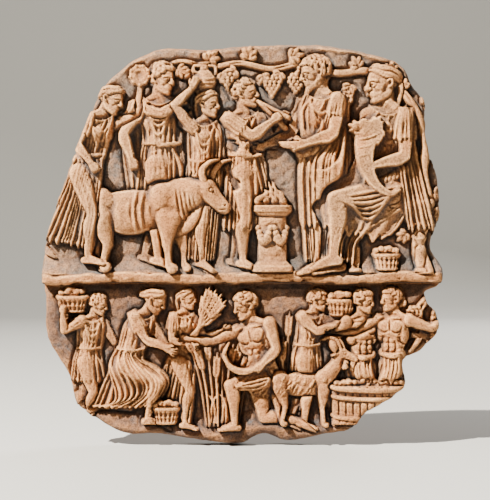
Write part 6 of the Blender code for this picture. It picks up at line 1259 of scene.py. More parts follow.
def piper(t):
    """A boy in a tunic who plays two pipes."""
    f = Figure(t, 55, -2, (45, -2, 0), ((6, 0, -4, 0), (-8, 0, -16, 0)))
    f.stand((70, 15), (74, 20))
    f.trunk()
    tunic(f, 0.2, 17)
    f.head(70, -2, -4, "curls", crown="band", seed=12)
    mouth = f.neck + np.array([0.078, 0.045, 0.062]) * t
    for i, a in ((1, 62), (0, 46)):
        way = direction(a, 8)
        f.clay.chain([mouth, mouth + way * 0.3 * t], (0.85, 1.25), 0.1)
        f.clay.egg(mouth + way * 0.3 * t, 1.8, fillet=0.1)
        hold = mouth + way * (0.12 + 0.05 * i) * t
        upper = f.reach(i, (hold[0] - 0.012 * t, hold[2] - 0.03 * t), "grip")[0]
    f.sleeve(0, upper, 23)
    return f.clay


def priest(t):
    """A bearded elder in a long mantle who pours from a shallow bowl."""
    f = Figure(t, 60, 2, (50, 0, 3), ((10, 0, 2, 0), (-10, 0, -14, 0)))
    f.stand((76, 20), (78, 24))
    f.arm(1, (22, 0), (66, 10), "rest")
    f.trunk()
    f.skirt((f.ankle[1], -0.085, 0.0), (f.ankle[0], 0.06, 0.005), 22, folds=17, deep=2.6, start=0.1)
    f.bodice(2)
    f.dress([(f.shoulder[0], -0.055, 0), (f.heart, -0.135, 0), (f.pelvis, -0.14, 0),
             (f.knee[1], -0.125, -0.06)],
            [(f.shoulder[0], 0.03, 0.035), (f.waist, 0.02, 0.01), (f.pelvis, 0.11, 0),
             (f.knee[0], 0.09, -0.06)],
            folds=11, deep=2.0, seed=33, thick=1.7, soft=1.8, start=0.1, hem=1.8)
    for v in np.linspace(0, 1, 8):
        f.fold([(f.pelvis, 0.1 - 0.03 * v, 0.03 - 0.09 * v), (f.pelvis, 0.01, -0.045 - 0.09 * v),
                (f.pelvis, -0.08, 0.02 - 0.08 * v), (f.heart, -0.12 + 0.01 * v, -0.02 - 0.06 * v)],
                0.95, 1.5)
    f.roll([(f.pelvis, 0.105, 0.03, 0.035), (f.waist, 0.02, 0.085, -0.02), (f.heart, -0.05, 0.095, 0),
            (f.shoulder[0], -0.01, 0.085, 0.015)],
           0.03, 4, 1.6)
    x, y, z = f.sleeved((8, 18), (70, 14), "rest", 35, 0.5, turn=6) + np.array([0.075, 0.015, -0.005]) * t
    f.head(78, 3, 8, "short", beard=True, crown="wreath", seed=9)
    f.clay.lathe(x, [(z - 1.6, 2.2), (z - 0.6, 4.8), (z + 0.9, 6.2), (z + 1.3, 6.3)], 0.6, y, 0.1)
    f.clay.stroke([(x - 6, z + 0.4), (x + 6, z + 0.4)], 0.35, -0.5, even=True)
    return f.clay


def stool(clay, x, seat, half):
    """A stool with turned legs and a cushion. Half is half its width."""
    turning = ((0, 3.2), (0.04, 3.2), (0.06, 1.9), (0.14, 2.6), (0.35, 2.9), (0.4, 1.6), (0.5, 3.3),
               (0.6, 1.6), (0.72, 2.8), (0.92, 2.5))
    for s in (-0.78, 0.78):
        clay.lathe(x + s * half, [(z * seat, r) for z, r in turning], 0.8, 0.5, 0.1)
    clay.chain([(x - half, 1.2, seat - 3.2), (x + half, 1.2, seat - 3.2)], 2.0, 0.1)
    clay.chain([(x - half, 1.8, seat + 0.6), (x + half, 1.8, seat + 0.6)], 2.6, 0.1)
    for u in np.linspace(-0.89, 0.89, 9):
        clay.stroke([(x + u * half, seat + 3), (x + u * half + 0.6, seat - 1.5)], 0.35, -0.4)


def enthroned(t):
    """A seated woman with a horn of plenty."""
    f = Figure(t, 58, -2, (42, -4, 0), ((82, 22, 2, 0), (74, -6, -16, 0)), female=True)
    stool(f.clay, -0.02 * t, f.pelvis[2] - 0.07 * t, 0.17 * t)
    f.stand((80, 10), (76, 22))
    f.trunk()
    f.dress([(f.hip[0], -0.06, -0.07), (f.ankle[1], -0.1, 0.1), (f.ankle[1], -0.07, 0)],
            [(f.knee[0], 0.035, 0.02), (f.ankle[0], 0.045, 0.12), (f.ankle[0], 0.05, -0.005)],
            folds=15, deep=3.0, seed=52, start=0.1, thick=0.5, fan=0.5, hem=1.2)
    f.dress([(f.waist, -0.085, 0), (f.pelvis, -0.125, -0.02), (f.hip[0], -0.05, -0.13),
             (f.hip[0], 0.02, -0.2)],
            [(f.waist, 0.07, 0), (f.hip[0], 0.15, 0.075), (f.knee[0], 0.05, 0.03), (f.knee[0], 0.05, -0.13)],
            folds=8, deep=0.9, seed=55, thick=1.2, soft=1.8, hem=1.8)
    f.swags((f.knee[0], 0.03, 0.0), (f.hip[0], -0.09, 0.03), (0.0, 0.022, 0.043, 0.066, 0.087, 0.108),
            0.8, 1.7)
    for i in range(5):
        f.fold([(f.knee[0], 0.03 - 0.02 * i, -0.1), (f.ankle[0], 0.035 - 0.022 * i, 0.1),
                (f.ankle[0], 0.04 - 0.025 * i, 0.0)], 0.7, 1.1)
    f.bodice(58, folds=10)
    f.belt(0.012)
    f.roll([(f.waist, -0.09, 0.03, -0.02), (f.pelvis, 0, 0.09, 0.02), (f.hip[0], 0.09, 0.105, 0.045)],
           0.022, 4, 2)
    f.dress([(f.shoulder[0], -0.035, 0.035), (f.heart, -0.115, 0), (f.waist, -0.15, -0.02),
             (f.pelvis, -0.215, -0.17)],
            [(f.shoulder[0], 0.015, 0.035), (f.heart, -0.035, 0), (f.waist, -0.06, -0.02),
             (f.pelvis, -0.1, -0.18)],
            folds=6, deep=2.2, seed=61, thick=1.2, keep=0.3, hem=1.8)
    f.reach(1, f.near(f.knee[0], -0.05, 0.06), "rest")
    wrist = f.sleeved((2, 14), (74, 22), "grip", 63)
    f.head(70, 3, 4, "waves", crown="band", seed=18)
    way = ((-0.1, 0.0, -0.1), (-0.06, 0.0, -0.115), (0.0, 0.0, -0.075), (0.035, 0.0, 0.0),
           (0.04, 0.0, 0.07), (0.03, 0.0, 0.13))
    f.clay.chain([wrist + np.array(p) * t for p in way], (0.6, 1.3, 2.4, 3.7, 4.9, 6.0), 0.2)
    for v in np.linspace(0, 1, 6):
        p = wrist + np.array((0.036 * math.sin(2.2 * v + 0.2), 0, -0.055 + 0.17 * v)) * t
        half = 2.4 + 3.2 * v
        f.clay.stroke([(p[0] - half, p[2] + 1.4), (p[0], p[2] - 0.7), (p[0] + half, p[2] - 1.6)], 0.5, 1.3)
    x, y, z = wrist + np.array([0.032, 0.0, 0.14]) * t
    hoop(f.clay, x, z - 1, 6.0, y, 0.9)
    fruit(f.clay, x, z + 1, 2.2, 18, 5.6, y + 2.5, 5)
    grapes(f.clay, x - 5.5, z, 4.6, y + 2.5, 6)
    leaf(f.clay, x + 4, z + 1, 110, 5.5, y + 2)
    leaf(f.clay, x - 4, z + 2, -150, 5.5, y + 2)
    return f.clay


# The people of the lower scene

def basket_man(t):
    """A man who walks to +x with a full basket on his shoulder."""
    f = Figure(t, 55, 5, (48, 8, 3), ((18, 5, -8, 0), (-16, -4, -38, 0)))
    f.stand((60, 0), (86, 8))
    f.arm(1, (30, 5), (60, 15), "grip")
    f.trunk()
    tunic(f, 0.34, 71, 0.14)
    f.head(74, 5, 8, "short", seed=21)
    x, _, z = f.shoulder[0] + np.array([-0.07, 0, 0.06]) * t
    basket(f.clay, x, z, 0.11 * t, 0.12 * t, 1.5, 3)
    f.sleeved((-60, 25), (-178, 20), "grip", 77, 0.5)
    return f.clay


def gatherer(t):
    """A woman on one knee who fills a basket."""
    f = Figure(t, 66, 14, (58, 20, 6), ((66, 10, -18, 0), (-2, -5, -88, 0)), female=True)
    f.stand((-60, 0), (86, 10))
    f.arm(1, (34, 0), (62, 10), "rest")
    f.trunk()
    f.skirt((f.ankle[1], 0, 0), (f.ankle[0], 0.05, 0.06), 81, folds=10, start=0.1, keep=0.35)
    f.dress([(f.waist, -0.085, 0.01), (f.pelvis, -0.12, -0.02), (f.knee[1], -0.09, 0.04),
             (f.ankle[1], 0, 0)],
            [(f.waist, 0.07, -0.02), (f.hip[0], 0.1, 0.055), (f.knee[0], 0.06, 0.02),
             (f.ankle[0], 0.05, 0.06)],
            folds=12, deep=3.0, seed=83, thick=0.8, start=0.1)
    f.bodice(84, folds=8)
    f.belt()
    f.sleeved((28, 20), (66, 22), "open", 87)
    f.head(80, 14, 12, "bun", crown="band", seed=23)
    return f.clay


def sheaf_woman(t):
    """A woman walking to +x who carries a sheaf in both arms."""
    f = Figure(t, 50, 3, (42, 2, 2), ((22, 5, -10, 0), (-14, -4, -34, 0)), female=True)
    f.stand((62, 5), (80, 14))
    f.trunk()
    f.skirt((f.ankle[1], -0.09, 0.02), (f.ankle[0], 0.05, 0.0), 101, hem=1.6)
    f.bodice(104, low=-0.07, hem=1.8, thick=1.1)
    f.belt(0.011)
    f.head(64, -2, 4, "waves", seed=31)
    tie = f.waist + np.array([0.06 * t, 4.0, 0.03 * t])
    for n in range(-4, 5):
        d = direction(150 + 5 * n, 4)
        off = np.array([0.75 * n, 0, 0])
        top = tie + d * (13.0 + 4.0 * (n % 2)) + off + np.array([0, 0.9 * (n % 2), 0])
        foot = tie - direction(150 - 4 * n) * 13 - off * 0.4
        f.clay.chain([foot, tie + off * 0.5 + np.array([0, 0.6, 0]), top], 0.6, 0.0)
        wheat_ear(f.clay, top, d)
    f.clay.rolled([tie + np.array([-3.4, 1.4, 1.4]), tie + np.array([0, 2.4, 0.2]),
                   tie + np.array([3.6, 1.4, -1.0])], 1.1, 2, 2)
    f.arm(1, (30, 20), (110, 20), "rest")
    f.sleeved((-4, 20), (72, 24), "open", 107)
    return f.clay


def reaper(t):
    """A bare-chested man on one knee who cuts wheat with a sickle."""
    f = Figure(t, 56, 10, (36, 12, 4), ((78, 16, -8, 0), (-8, -6, -84, 0)))
    f.stand((-70, 0), (86, 12))
    f.arm(1, (68, 5), (96, 10), "grip")
    f.trunk(bare=True)
    f.dress([(f.waist, -0.085, -0.02), (f.pelvis, -0.12, -0.02), (f.knee[1], -0.06, 0.1)],
            [(f.waist, 0.07, -0.045), (f.hip[0], 0.11, 0.05), (f.knee[0], -0.03, -0.01)],
            folds=8, deep=1.2, seed=91, soft=1.8, hem=1.8)
    f.swags((f.knee[0], -0.03, 0.0), (f.pelvis, -0.09, 0.0), (0.0, 0.025, 0.05, 0.075), 0.85, 1.7)
    f.roll([(f.waist, -0.085, 0.045, -0.03), (f.waist, 0, 0.095, -0.055), (f.waist, 0.075, 0.045, -0.055)],
           0.02, 3, 2)
    wrist = f.arm(0, (-16, 22), (44, 26), "grip")
    f.head(66, 8, 8, "curls", seed=27)
    blade = ((-0.01, 0.06, 0.01), (0.05, 0.06, -0.03), (0.13, 0.05, -0.045), (0.2, 0.05, -0.005),
             (0.225, 0.04, 0.06), (0.2, 0.04, 0.12))
    f.clay.chain([wrist + np.array(p) * t for p in blade], (1.0, 1.1, 1.5, 1.3, 1.0, 0.45), 0.1)
    return f.clay


def carrier(t):
    """A youth who lifts a basket in front of him."""
    f = Figure(t, 58, 6, (50, 10, 4), ((12, 5, -10, 0), (-12, -4, -26, 0)))
    f.stand((66, 0), (82, 10))
    f.arm(1, (96, 0), (132, 0), "grip")
    f.trunk()
    tunic(f, 0.33, 111)
    f.head(76, 6, 2, "curls", crown="band", seed=41)
    x, _, z = f.neck + np.array([0.2, 0, -0.02]) * t
    basket(f.clay, x, z, 0.1 * t, 0.12 * t, 1.0, 8)
    f.sleeved((46, 24), (108, 16), "grip", 117, 0.5)
    return f.clay


def treader(t, arm_back, seed):
    """A man treading grapes in a loincloth, one knee lifted."""
    f = Figure(t, 46, -4, (34, -2, 2), ((38, 14, -22, 0), (-4, -4, -8, 0)))
    f.arm(1, (60, 0), (84, 0), "open")
    f.stand((70, 10), (74, 10))
    f.trunk(bare=True)
    f.dress([(f.waist, -0.075, -0.03), (f.pelvis, -0.11, -0.03), (f.pelvis, -0.08, -0.16)],
            [(f.waist, 0.07, -0.04), (f.hip[0], 0.1, 0), (f.hip[0], 0.13, -0.12)],
            folds=7, deep=2.6, seed=seed, soft=1.6, hem=1.6)
    f.roll([(f.waist, -0.075, 0.035, -0.035), (f.waist, 0, 0.1, -0.055), (f.waist, 0.07, 0.035, -0.045)],
           0.018, 3, 2)
    if arm_back:
        f.arm(0, (-70, 10), (-120, 10), "open")
    else:
        f.arm(0, (-36, 15), (26, 20), "rest")
    f.head(62, 0, 6, "curls", crown="wreath", seed=seed)
    return f.clay


# The face of the panel

def smooth_noise(shape, size, seed):
    """Noise from -1 to 1 with bumps of about the given size."""
    coarse = np.random.RandomState(seed).uniform(-1, 1, 2 * (int(1.1 * DRAWN_WIDTH / size) + 3,))
    row = np.arange(shape[0]) * STEP / size
    column = np.arange(shape[1]) * STEP / size
    i, j = row.astype(int), column.astype(int)
    a, b = (row - i)[:, None], (column - j)[None, :]
    a, b = a * a * (3 - 2 * a), b * b * (3 - 2 * b)
    low = coarse[i][:, j] * (1 - b) + coarse[i][:, j + 1] * b
    high = coarse[i + 1][:, j] * (1 - b) + coarse[i + 1][:, j + 1] * b
    return low * (1 - a) + high * a


def outline():
    """The panel's edge as a closed loop of (x, z), clockwise from the top."""
    key = np.array([(x * DRAWN_WIDTH / 2, 0.0, z * DRAWN_HEIGHT / 2) for x, z in EDGE])
    path = through(np.vstack([key[-1:], key, key[:2]]), 1.0)[:-1, [0, 2]]
    rng = np.random.RandomState(17)
    chips = np.zeros(len(path))
    for size, depth in ((3, 0.18), (7, 0.25), (13, 0.25)):
        knots = rng.uniform(-1, 1, len(path) // size)
        chips += depth * np.interp(np.linspace(0, len(knots), len(path)), np.arange(len(knots) + 1),
                                   np.append(knots, knots[0]))
    path = path + chips[:, None] * outward(path)
    low, high = path.min(axis=0), path.max(axis=0)
    return (path - (low + high) / 2) / (high - low) * (DRAWN_WIDTH, DRAWN_HEIGHT)


def outward(loop):
    """At each point of a clockwise loop, the direction straight out of it."""
    along = np.roll(loop, -2, axis=0) - np.roll(loop, 2, axis=0)
    return np.column_stack([-along[:, 1], along[:, 0]]) / np.linalg.norm(along, axis=1)[:, None]


def depth_inside(loop, x, z, reach):
    """How far each point of a grid lies inside a loop, up to reach, and below 0 outside it."""
    gx, gz = np.meshgrid(x, z)
    inside = np.zeros(gx.shape, bool)
    for (x0, z0), (x1, z1) in zip(loop, np.roll(loop, -1, axis=0)):
        rows = slice(*np.searchsorted(z, sorted((z0, z1))))
        level = z[rows][:, None]
        if level.size:
            inside[rows] ^= x[None, :] < (x1 - x0) * (level - z0) / (z1 - z0) + x0
    away = np.full(gx.shape, reach)
    half = int(reach / STEP) + 1
    for px, pz in curve(np.column_stack([loop[:, 0], np.zeros(len(loop)), loop[:, 1]]), 0.5)[:, [0, 2]]:
        j, i = int((px - x[0]) / STEP), int((pz - z[0]) / STEP)
        rows, columns = slice(max(0, i - half), i + half + 1), slice(max(0, j - half), j + half + 1)
        part = away[rows, columns]
        np.minimum(part, np.hypot(gx[rows, columns] - px, gz[rows, columns] - pz), out=part)
    return np.where(inside, away, -away)


def capped(value, most):
    """A value brought smoothly under the most that it may be, up or down."""
    return most * np.tanh(value / most)


def tooled(y, radius, lift, cut):
    """Cuts the valleys between forms deeper, at most by cut, and raises their backs, at most by lift."""
    d = SHARPENING * (y - blurred(y, radius / STEP))
    return y + np.where(d < 0, capped(d, cut), capped(d, lift))


def for_thinning(y):
    """The carving with its high steps pressed down, so that thinning keeps more of its fine lines."""
    return sum(weight * capped(y - blurred(y, reach / STEP), most) for reach, most, weight in PRESSED)


class Face:
    """The whole front of the panel, as heights above its ground."""

    def __init__(self):
        across, up = DRAWN_WIDTH / 2 + 1, DRAWN_HEIGHT / 2 + 1
        self.clay = Clay(-across, across, -up, up)
        self.x, self.z = self.clay.grid()
        shape = self.clay.y.shape
        x, z = np.meshgrid(self.x, self.z)
        above = z > LEDGE_FOOT
        ground = 0.5 * smooth_noise(shape, 22, 1) + 0.25 * smooth_noise(shape, 7, 2)
        ground += 0.16 * smooth_noise(shape, 2.6, 3) + 0.08 * smooth_noise(shape, 1.3, 4)
        # both floors come forward towards their front edge
        crest = LEDGE_TOP + 8.0 + 1.6 * smooth_noise(shape, 26, 5)
        shelf = np.clip((crest - z) / SHELF_HEIGHT, 0, 1) ** 1.5
        ground += np.where(above, SHELF_SHARE * LEDGE_OUT * shelf, 0)
        low = LOWER_FLOOR + 7 + 3 * np.sin(x / 17)
        ground += np.where(above, 0, LOWER_RISE * np.clip((low - z) / 9, 0, 1))
        self.ground = ground
        self.clay.y[:] = ground
        self.ledge(x, z)

    def ledge(self, x, z):
        """The strip that the upper scene stands on, with a shadow cut under it."""
        shape = z.shape
        wave = 0.7 * np.sin(x / 11) + 0.7 * smooth_noise(shape, 12, 8)
        top = LEDGE_TOP + wave + 0.6 * smooth_noise(shape, 5, 7)
        foot = LEDGE_FOOT + wave + 0.5 * smooth_noise(shape, 6, 10)
        top -= 1.6 * np.clip(smooth_noise(shape, 2.4, 11) - 0.25, 0, 1)
        foot += 1.8 * np.clip(smooth_noise(shape, 2.8, 15) - 0.2, 0, 1)
        middle, half = (top + foot) / 2, (top - foot) / 2
        swell = np.sqrt(np.clip(1 - np.abs((z - middle) / half) ** 2.5, 0, 1))
        edge = np.where(z > middle, 0.86, 0.5)
        front = LEDGE_OUT * (edge + (1 - edge) * swell)
        front = front + 0.4 * smooth_noise(shape, 4, 9) + 0.2 * smooth_noise(shape, 1.6, 16)
        y = self.clay.y
        y[:] = np.where((z < top) & (z > foot), np.maximum(y, front), y)
        y -= np.where(z <= foot, 1.8 * np.clip((z - foot + 11) / 11, 0, 1) ** 2, 0)

    def place(self, clay, x, z, lift=1.0, squash=0.74, flip=False):
        """Presses a form into the face with its zero at (x, z). A groove sets it off from what is behind."""
        source = clay.mirrored() if flip else clay
        face = self.clay
        dj = round(x / STEP) + source.j0 - face.j0
        di = round(z / STEP) + source.i0 - face.i0
        rows, columns = source.y.shape
        i0, j0 = max(0, di), max(0, dj)
        i1, j1 = min(face.y.shape[0], di + rows), min(face.y.shape[1], dj + columns)
        own = source.y[i0 - di : i1 - di, j0 - dj : j1 - dj]
        there = face.y[i0:i1, j0:j1]
        ground = self.ground[i0:i1, j0:j1]
        behind = blurred(there - ground, BEHIND_REACH / STEP)
        y = lift + squash * own + BEHIND_SHARE * behind
        on = (own > EMPTY / 2) & (y > -0.5)
        # large forms are held under the highest relief and small ones keep their height
        share = blurred(on.astype(float), BROAD_REACH / STEP) + 1e-3
        broad = blurred(np.where(on, y, 0), BROAD_REACH / STEP) / share
        y = BROAD_TOP * np.tanh(broad / BROAD_TOP) + FINE_TOP * np.tanh(FINE_GAIN * (y - broad) / FINE_TOP)
        near = blurred(on.astype(float), GROOVE_REACH / STEP)
        groove = there - GROOVE * np.clip(2.2 * near, 0, 1)
        face.y[i0:i1, j0:j1] = np.where(on, np.maximum(y, 0.8) + ground, groove)

    def fill(self):
        """Sets every form in its place, from the farthest to the nearest."""
        g = LEDGE_TOP + 1.6
        self.place(climbing_vine(), 87, g, lift=0.6)
        self.place(piper(92), 2, g + 1, lift=0.2)
        self.place(herdsman(99), -40, g + 2, lift=0.2)
        self.place(jug_bearer(87), -19, g + 1, lift=0.6)
        self.place(ox(43), -51, g, lift=1.6, squash=0.78)
        self.place(dancer(92), -79, g + 3, lift=1.4)
        self.place(altar(33, 8.5), 15, g - 1, lift=1.5)
        self.place(priest(106), 40, g - 1, lift=1.4, flip=True)
        self.place(full_basket(), 72, g - 0.5, lift=0.6)
        self.place(enthroned(124), 70, g - 1, lift=1.2, flip=True)
        low = LOWER_FLOOR
        self.place(vine_end(), 86, -30, lift=0.6)
        self.place(standing_wheat(), 23, low + 8, lift=0.3)
        self.place(basket_man(67), -77, low - 1, lift=0.8)
        self.place(sheaf_woman(70), -30, low - 1, lift=0.8)
        self.place(gatherer(82), -57, low + 1, lift=1.4)
        self.place(full_basket(), -38, low + 1, lift=2.0)
        self.place(standing_wheat(), -10, low, lift=0.8)
        self.place(carrier(69), 32, low - 1, lift=0.4)
        self.place(reaper(84), 10, low - 2, lift=1.4, flip=True)
        self.place(treader(75, False, 35), 60, low - 8, lift=0.8)
        self.place(treader(75, True, 44), 75, low - 7, lift=0.8, flip=True)
        self.place(goat(29), 32, low, lift=1.4)
        self.place(vat(40, 19), 64, low + 1, lift=1.8)
        return self

    def finish(self, loop, soften):
        """Softens the carving, raises the lip along the top edge and rounds the face off at its edge."""
        inside = depth_inside(loop, self.x, self.z, EDGE_REACH)
        y = blurred(self.clay.y, soften / STEP)
        over = np.clip(y - SOFT_TOP, 0, None) / (DRAWN_DEPTH - SOFT_TOP)
        y = np.minimum(y, SOFT_TOP) + (DRAWN_DEPTH - SOFT_TOP) * np.tanh(over)
        y = tooled(tooled(y, *BROAD_TOOL), *FINE_TOOL)
        y = np.minimum(y, DRAWN_DEPTH)
        shape = y.shape
        high = np.clip((self.z[:, None] - 60) / 20, 0, 1) * (0.75 + 0.5 * smooth_noise(shape, 9, 12))
        inset = LIP_WIDTH * (1.7 + 0.5 * smooth_noise(shape, 7, 13))
        y += LIP_OUT * high * np.exp(-(((inside - inset) / LIP_WIDTH) ** 2))
        edge = EDGE_WIDTH * (1 + 0.35 * smooth_noise(shape, 6, 14))
        fall = np.clip(1 - np.clip(inside, 0, None) / edge, 0, 1)
        return y, y - EDGE_OUT * (1 - np.sqrt(1 - fall**2)), inside


# The panel's mesh

def sampled(field, face, points):
    """A grid's values at points (x, z)."""
    column = np.clip((points[:, 0] - face.x[0]) / STEP, 0, field.shape[1] - 2)
    row = np.clip((points[:, 1] - face.z[0]) / STEP, 0, field.shape[0] - 2)
    i, j = row.astype(int), column.astype(int)
    a, b = row - i, column - j
    low = field[i, j] * (1 - b) + field[i, j + 1] * b
    high = field[i + 1, j] * (1 - b) + field[i + 1, j + 1] * b
    return low * (1 - a) + high * a


def spaced_loop(loop, spacing):
    """A closed loop as evenly spaced points, anticlockwise."""
    closed = np.vstack([loop, loop[:1]])[::-1]
    run = np.concatenate([[0], np.cumsum(np.hypot(*np.diff(closed, axis=0).T))])
    want = np.linspace(0, run[-1], int(run[-1] / spacing))[:-1]
    path = np.column_stack([np.interp(want, run, closed[:, 0]), np.interp(want, run, closed[:, 1])])
    return path * (DRAWN_WIDTH, DRAWN_HEIGHT) / np.ptp(path, axis=0)


def triangles_between(points, rim):
    """Triangles over points (x, z) whose first ones are a closed rim."""
    found = delaunay_2d_cdt([tuple(p) for p in points], [], [list(range(rim))], 1, 1e-6)
    source = [ids[0] for ids in found[3]]
    return [tuple(source[i] for i in corners) for corners in found[2]]


def cells_inside(face, inside, spacing, margin):
    """Grid points at least a margin inside the outline."""
    across = np.arange(face.x[0] + 1, face.x[-1] - 1, spacing)
    up = np.arange(face.z[0] + 1, face.z[-1] - 1, spacing)
    cells = np.stack(np.meshgrid(across, up), axis=-1).reshape(-1, 2)
    return cells[sampled(inside, face, cells) > margin]


def placed(points, out):
    """Points (x, z) on the face, and how far out each one is in drawn units, as places in metres."""
    return np.column_stack([points[:, 0] * ACROSS, -(SLAB_DEPTH + out * OUT), points[:, 1] * UP])


def band(first, second):
    """Triangles between two rings of point numbers."""
    out = []
    for a, b, c, d in zip(first, first[1:] + first[:1], second, second[1:] + second[:1]):
        out += [(c, d, b), (c, b, a)]
    return out


def put(name, data):
    """A new object in the scene."""
    item = bpy.data.objects.new(name, data)
    bpy.context.scene.collection.objects.link(item)
    return item


def new_mesh(points, faces):
    mesh = bpy.data.meshes.new("clay_relief")
    mesh.from_pydata(points.tolist(), [], faces)
    return mesh


def thinned(mesh, triangles):
    """A sheet's places and triangles after thinning, closest together where it is busiest."""
    item = put("clay_relief", mesh)
    thin = item.modifiers.new("thin", "DECIMATE")
    thin.ratio = min(1, triangles / len(mesh.polygons))
    result = bpy.data.meshes.new_from_object(item.evaluated_get(bpy.context.evaluated_depsgraph_get()))
    faces = [tuple(f.vertices) for f in result.polygons]
    bpy.data.objects.remove(item)
    return places_of(result), faces


def border(faces):
    """The numbers of a sheet's border points, in order."""
    edges = {edge for f in faces for edge in zip(f, f[1:] + f[:1])}
    follows = {a: b for a, b in edges if (b, a) not in edges}
    first = min(follows)
    loop = [first]
    while follows[loop[-1]] != first:
        loop.append(follows[loop[-1]])
    return loop


def front_sheet(face, loop, smooth, field, inside):
    """The front as a thinned sheet: its points, how far out they are, its triangles and its border.
    It is thinned with its high steps pressed down, and then each point goes to its true height."""
    rim = spaced_loop(loop, MESH_SPACING)
    cells = cells_inside(face, inside, MESH_SPACING, 0.6 * MESH_SPACING)
    points = np.vstack([rim, cells])
    low = placed(points, np.concatenate([np.zeros(len(rim)), sampled(for_thinning(field), face, cells)]))
    place, faces = thinned(new_mesh(low, triangles_between(points, len(rim))), FRONT_TRIANGLES)
    points = np.column_stack([place[:, 0] / ACROSS, place[:, 2] / UP])
    out = sampled(field, face, points)
    edge = border(faces)
    out[edge] = sampled(smooth, face, points[edge]) - EDGE_OUT
    return points, out, faces, edge


def rim_rings(face, rim, edge):
    """The rings down the rim from the front's edge to the back. It is knife-cut clay, a little drawn in."""
    dents = 0.55 + 0.45 * smooth_noise(face.clay.y.shape, 8, 31)
    nicks = np.clip(smooth_noise(face.clay.y.shape, 3, 32), 0, 1)
    inward = outward(rim)  # the rim runs anticlockwise
    rings = []
    for share in RIM_STEPS:
        deep = math.sin(math.pi * share)
        cut = deep * sampled(dents, face, rim) * RIM_UNEVEN
        cut += RIM_UNEVEN * deep * sampled(np.roll(nicks, int(share * 40), axis=0), face, rim)
        cut += BACK_RADIUS * max(0, share - 0.9) * 10
        ring = placed(rim + inward * (cut / ACROSS)[:, None], edge)
        ring[:, 1] *= 1 - share
        rings.append(ring)
    return rings


def wiped_back(face, points):
    """How far a hand drew the clay in at places on the back."""
    shape = face.clay.y.shape
    x, z = np.meshgrid(face.x, face.z)
    along = smooth_noise(shape, 26, 33)
    streaks = np.sin((0.8 * x + 0.5 * z) / 3.1 + 3 * along) * (0.5 + 0.5 * smooth_noise(shape, 17, 34))
    hollow = 0.45 + 0.25 * streaks + 0.2 * smooth_noise(shape, 9, 35) + 0.12 * smooth_noise(shape, 3, 36)
    return BACK_UNEVEN * np.clip(sampled(hollow, face, points), 0, 1)


def full_mesh(face, loop, smooth, field, inside):
    """The front in full detail, the rim round it and the back as one closed mesh."""
    points, out, faces, edge = front_sheet(face, loop, smooth, field, inside)
    places = [placed(points, out)]
    first = edge
    start = len(points)
    for ring in rim_rings(face, points[edge], out[edge]):
        places.append(ring)
        second = list(range(start, start + len(ring)))
        faces += band(first, second)
        first = second
        start += len(ring)
    inner = np.column_stack([ring[:, 0] / ACROSS, ring[:, 2] / UP])
    middle = cells_inside(face, inside, BACK_SPACING, 2 * BACK_RADIUS / ACROSS)
    back = placed(middle, np.zeros(len(middle)))
    back[:, 1] = -wiped_back(face, middle)
    numbers = first + list(range(start, start + len(back)))
    across = triangles_between(np.vstack([inner, middle]), len(inner))
    faces += [tuple(numbers[i] for i in corners[::-1]) for corners in across]
    return new_mesh(np.vstack([*places, back]), faces)


def values_of(items, name, columns=1, kind=float):
    """A value that each of a mesh's items has, as an array or as rows."""
    out = np.empty(len(items) * columns, kind)
    items.foreach_get(name, out)
    return out if columns == 1 else out.reshape(-1, columns)


def places_of(mesh):
    return values_of(mesh.vertices, "co", 3)


def fit(mesh, low, high):
    """Brings the form into the solid's box, with the slab as deep as the solid's."""
    place = places_of(mesh)
    own_low, own_high = place.min(axis=0), place.max(axis=0)
    for axis in (0, 2):
        middle, size = (own_low[axis] + own_high[axis]) / 2, own_high[axis] - own_low[axis]
        centre, wide = (high[axis] + low[axis]) / 2, high[axis] - low[axis]
        place[:, axis] = (place[:, axis] - middle) * wide / size + centre
    front = place[:, 1] < -SLAB_DEPTH
    relief = low[1] + SLAB_DEPTH
    place[front, 1] = -SLAB_DEPTH + (place[front, 1] + SLAB_DEPTH) * relief / (own_low[1] + SLAB_DEPTH)
    mesh.vertices.foreach_set("co", place.reshape(-1))
    mesh.update()


def paint(mesh, face, field):
    """Keeps at each point how hollow, how worn and how low it is, for the material, which paints shade in
    the hollows and a highlight on crisp edges from these.
    """
    place = places_of(mesh)
    at = np.column_stack([place[:, 0] / ACROSS, place[:, 2] / UP])
    front = np.clip((-place[:, 1] - SLAB_DEPTH * 0.75) / (SLAB_DEPTH * 0.2), 0, 1)
    ground = blurred(face.ground, 2 / STEP)
    fine, near, mid, wide, broad = (blurred(field, size / STEP) for size in (0.2, 0.5, 0.9, 2.0, 4.5))
    # crease, hollow and deep drive painted shade; crisp and high drive wear with a painted highlight
    masks = {
        "crease": (mid - fine) / 0.4,
        "hollow": (wide - near) / 1.3 - 0.12,
        "ground": 1 - (near - ground) / 1.4,
        "crisp": (fine - near) / 0.16,
        "high": (near - ground - 2.0) / 4,
        "deep": (broad - near) / 2.6 - 0.15,
    }
    for name, mask in masks.items():
        value = sampled(np.clip(mask, 0, 1), face, at) * front
        mesh.attributes.new(name, "FLOAT", "POINT").data.foreach_set("value", value.astype(np.float32))


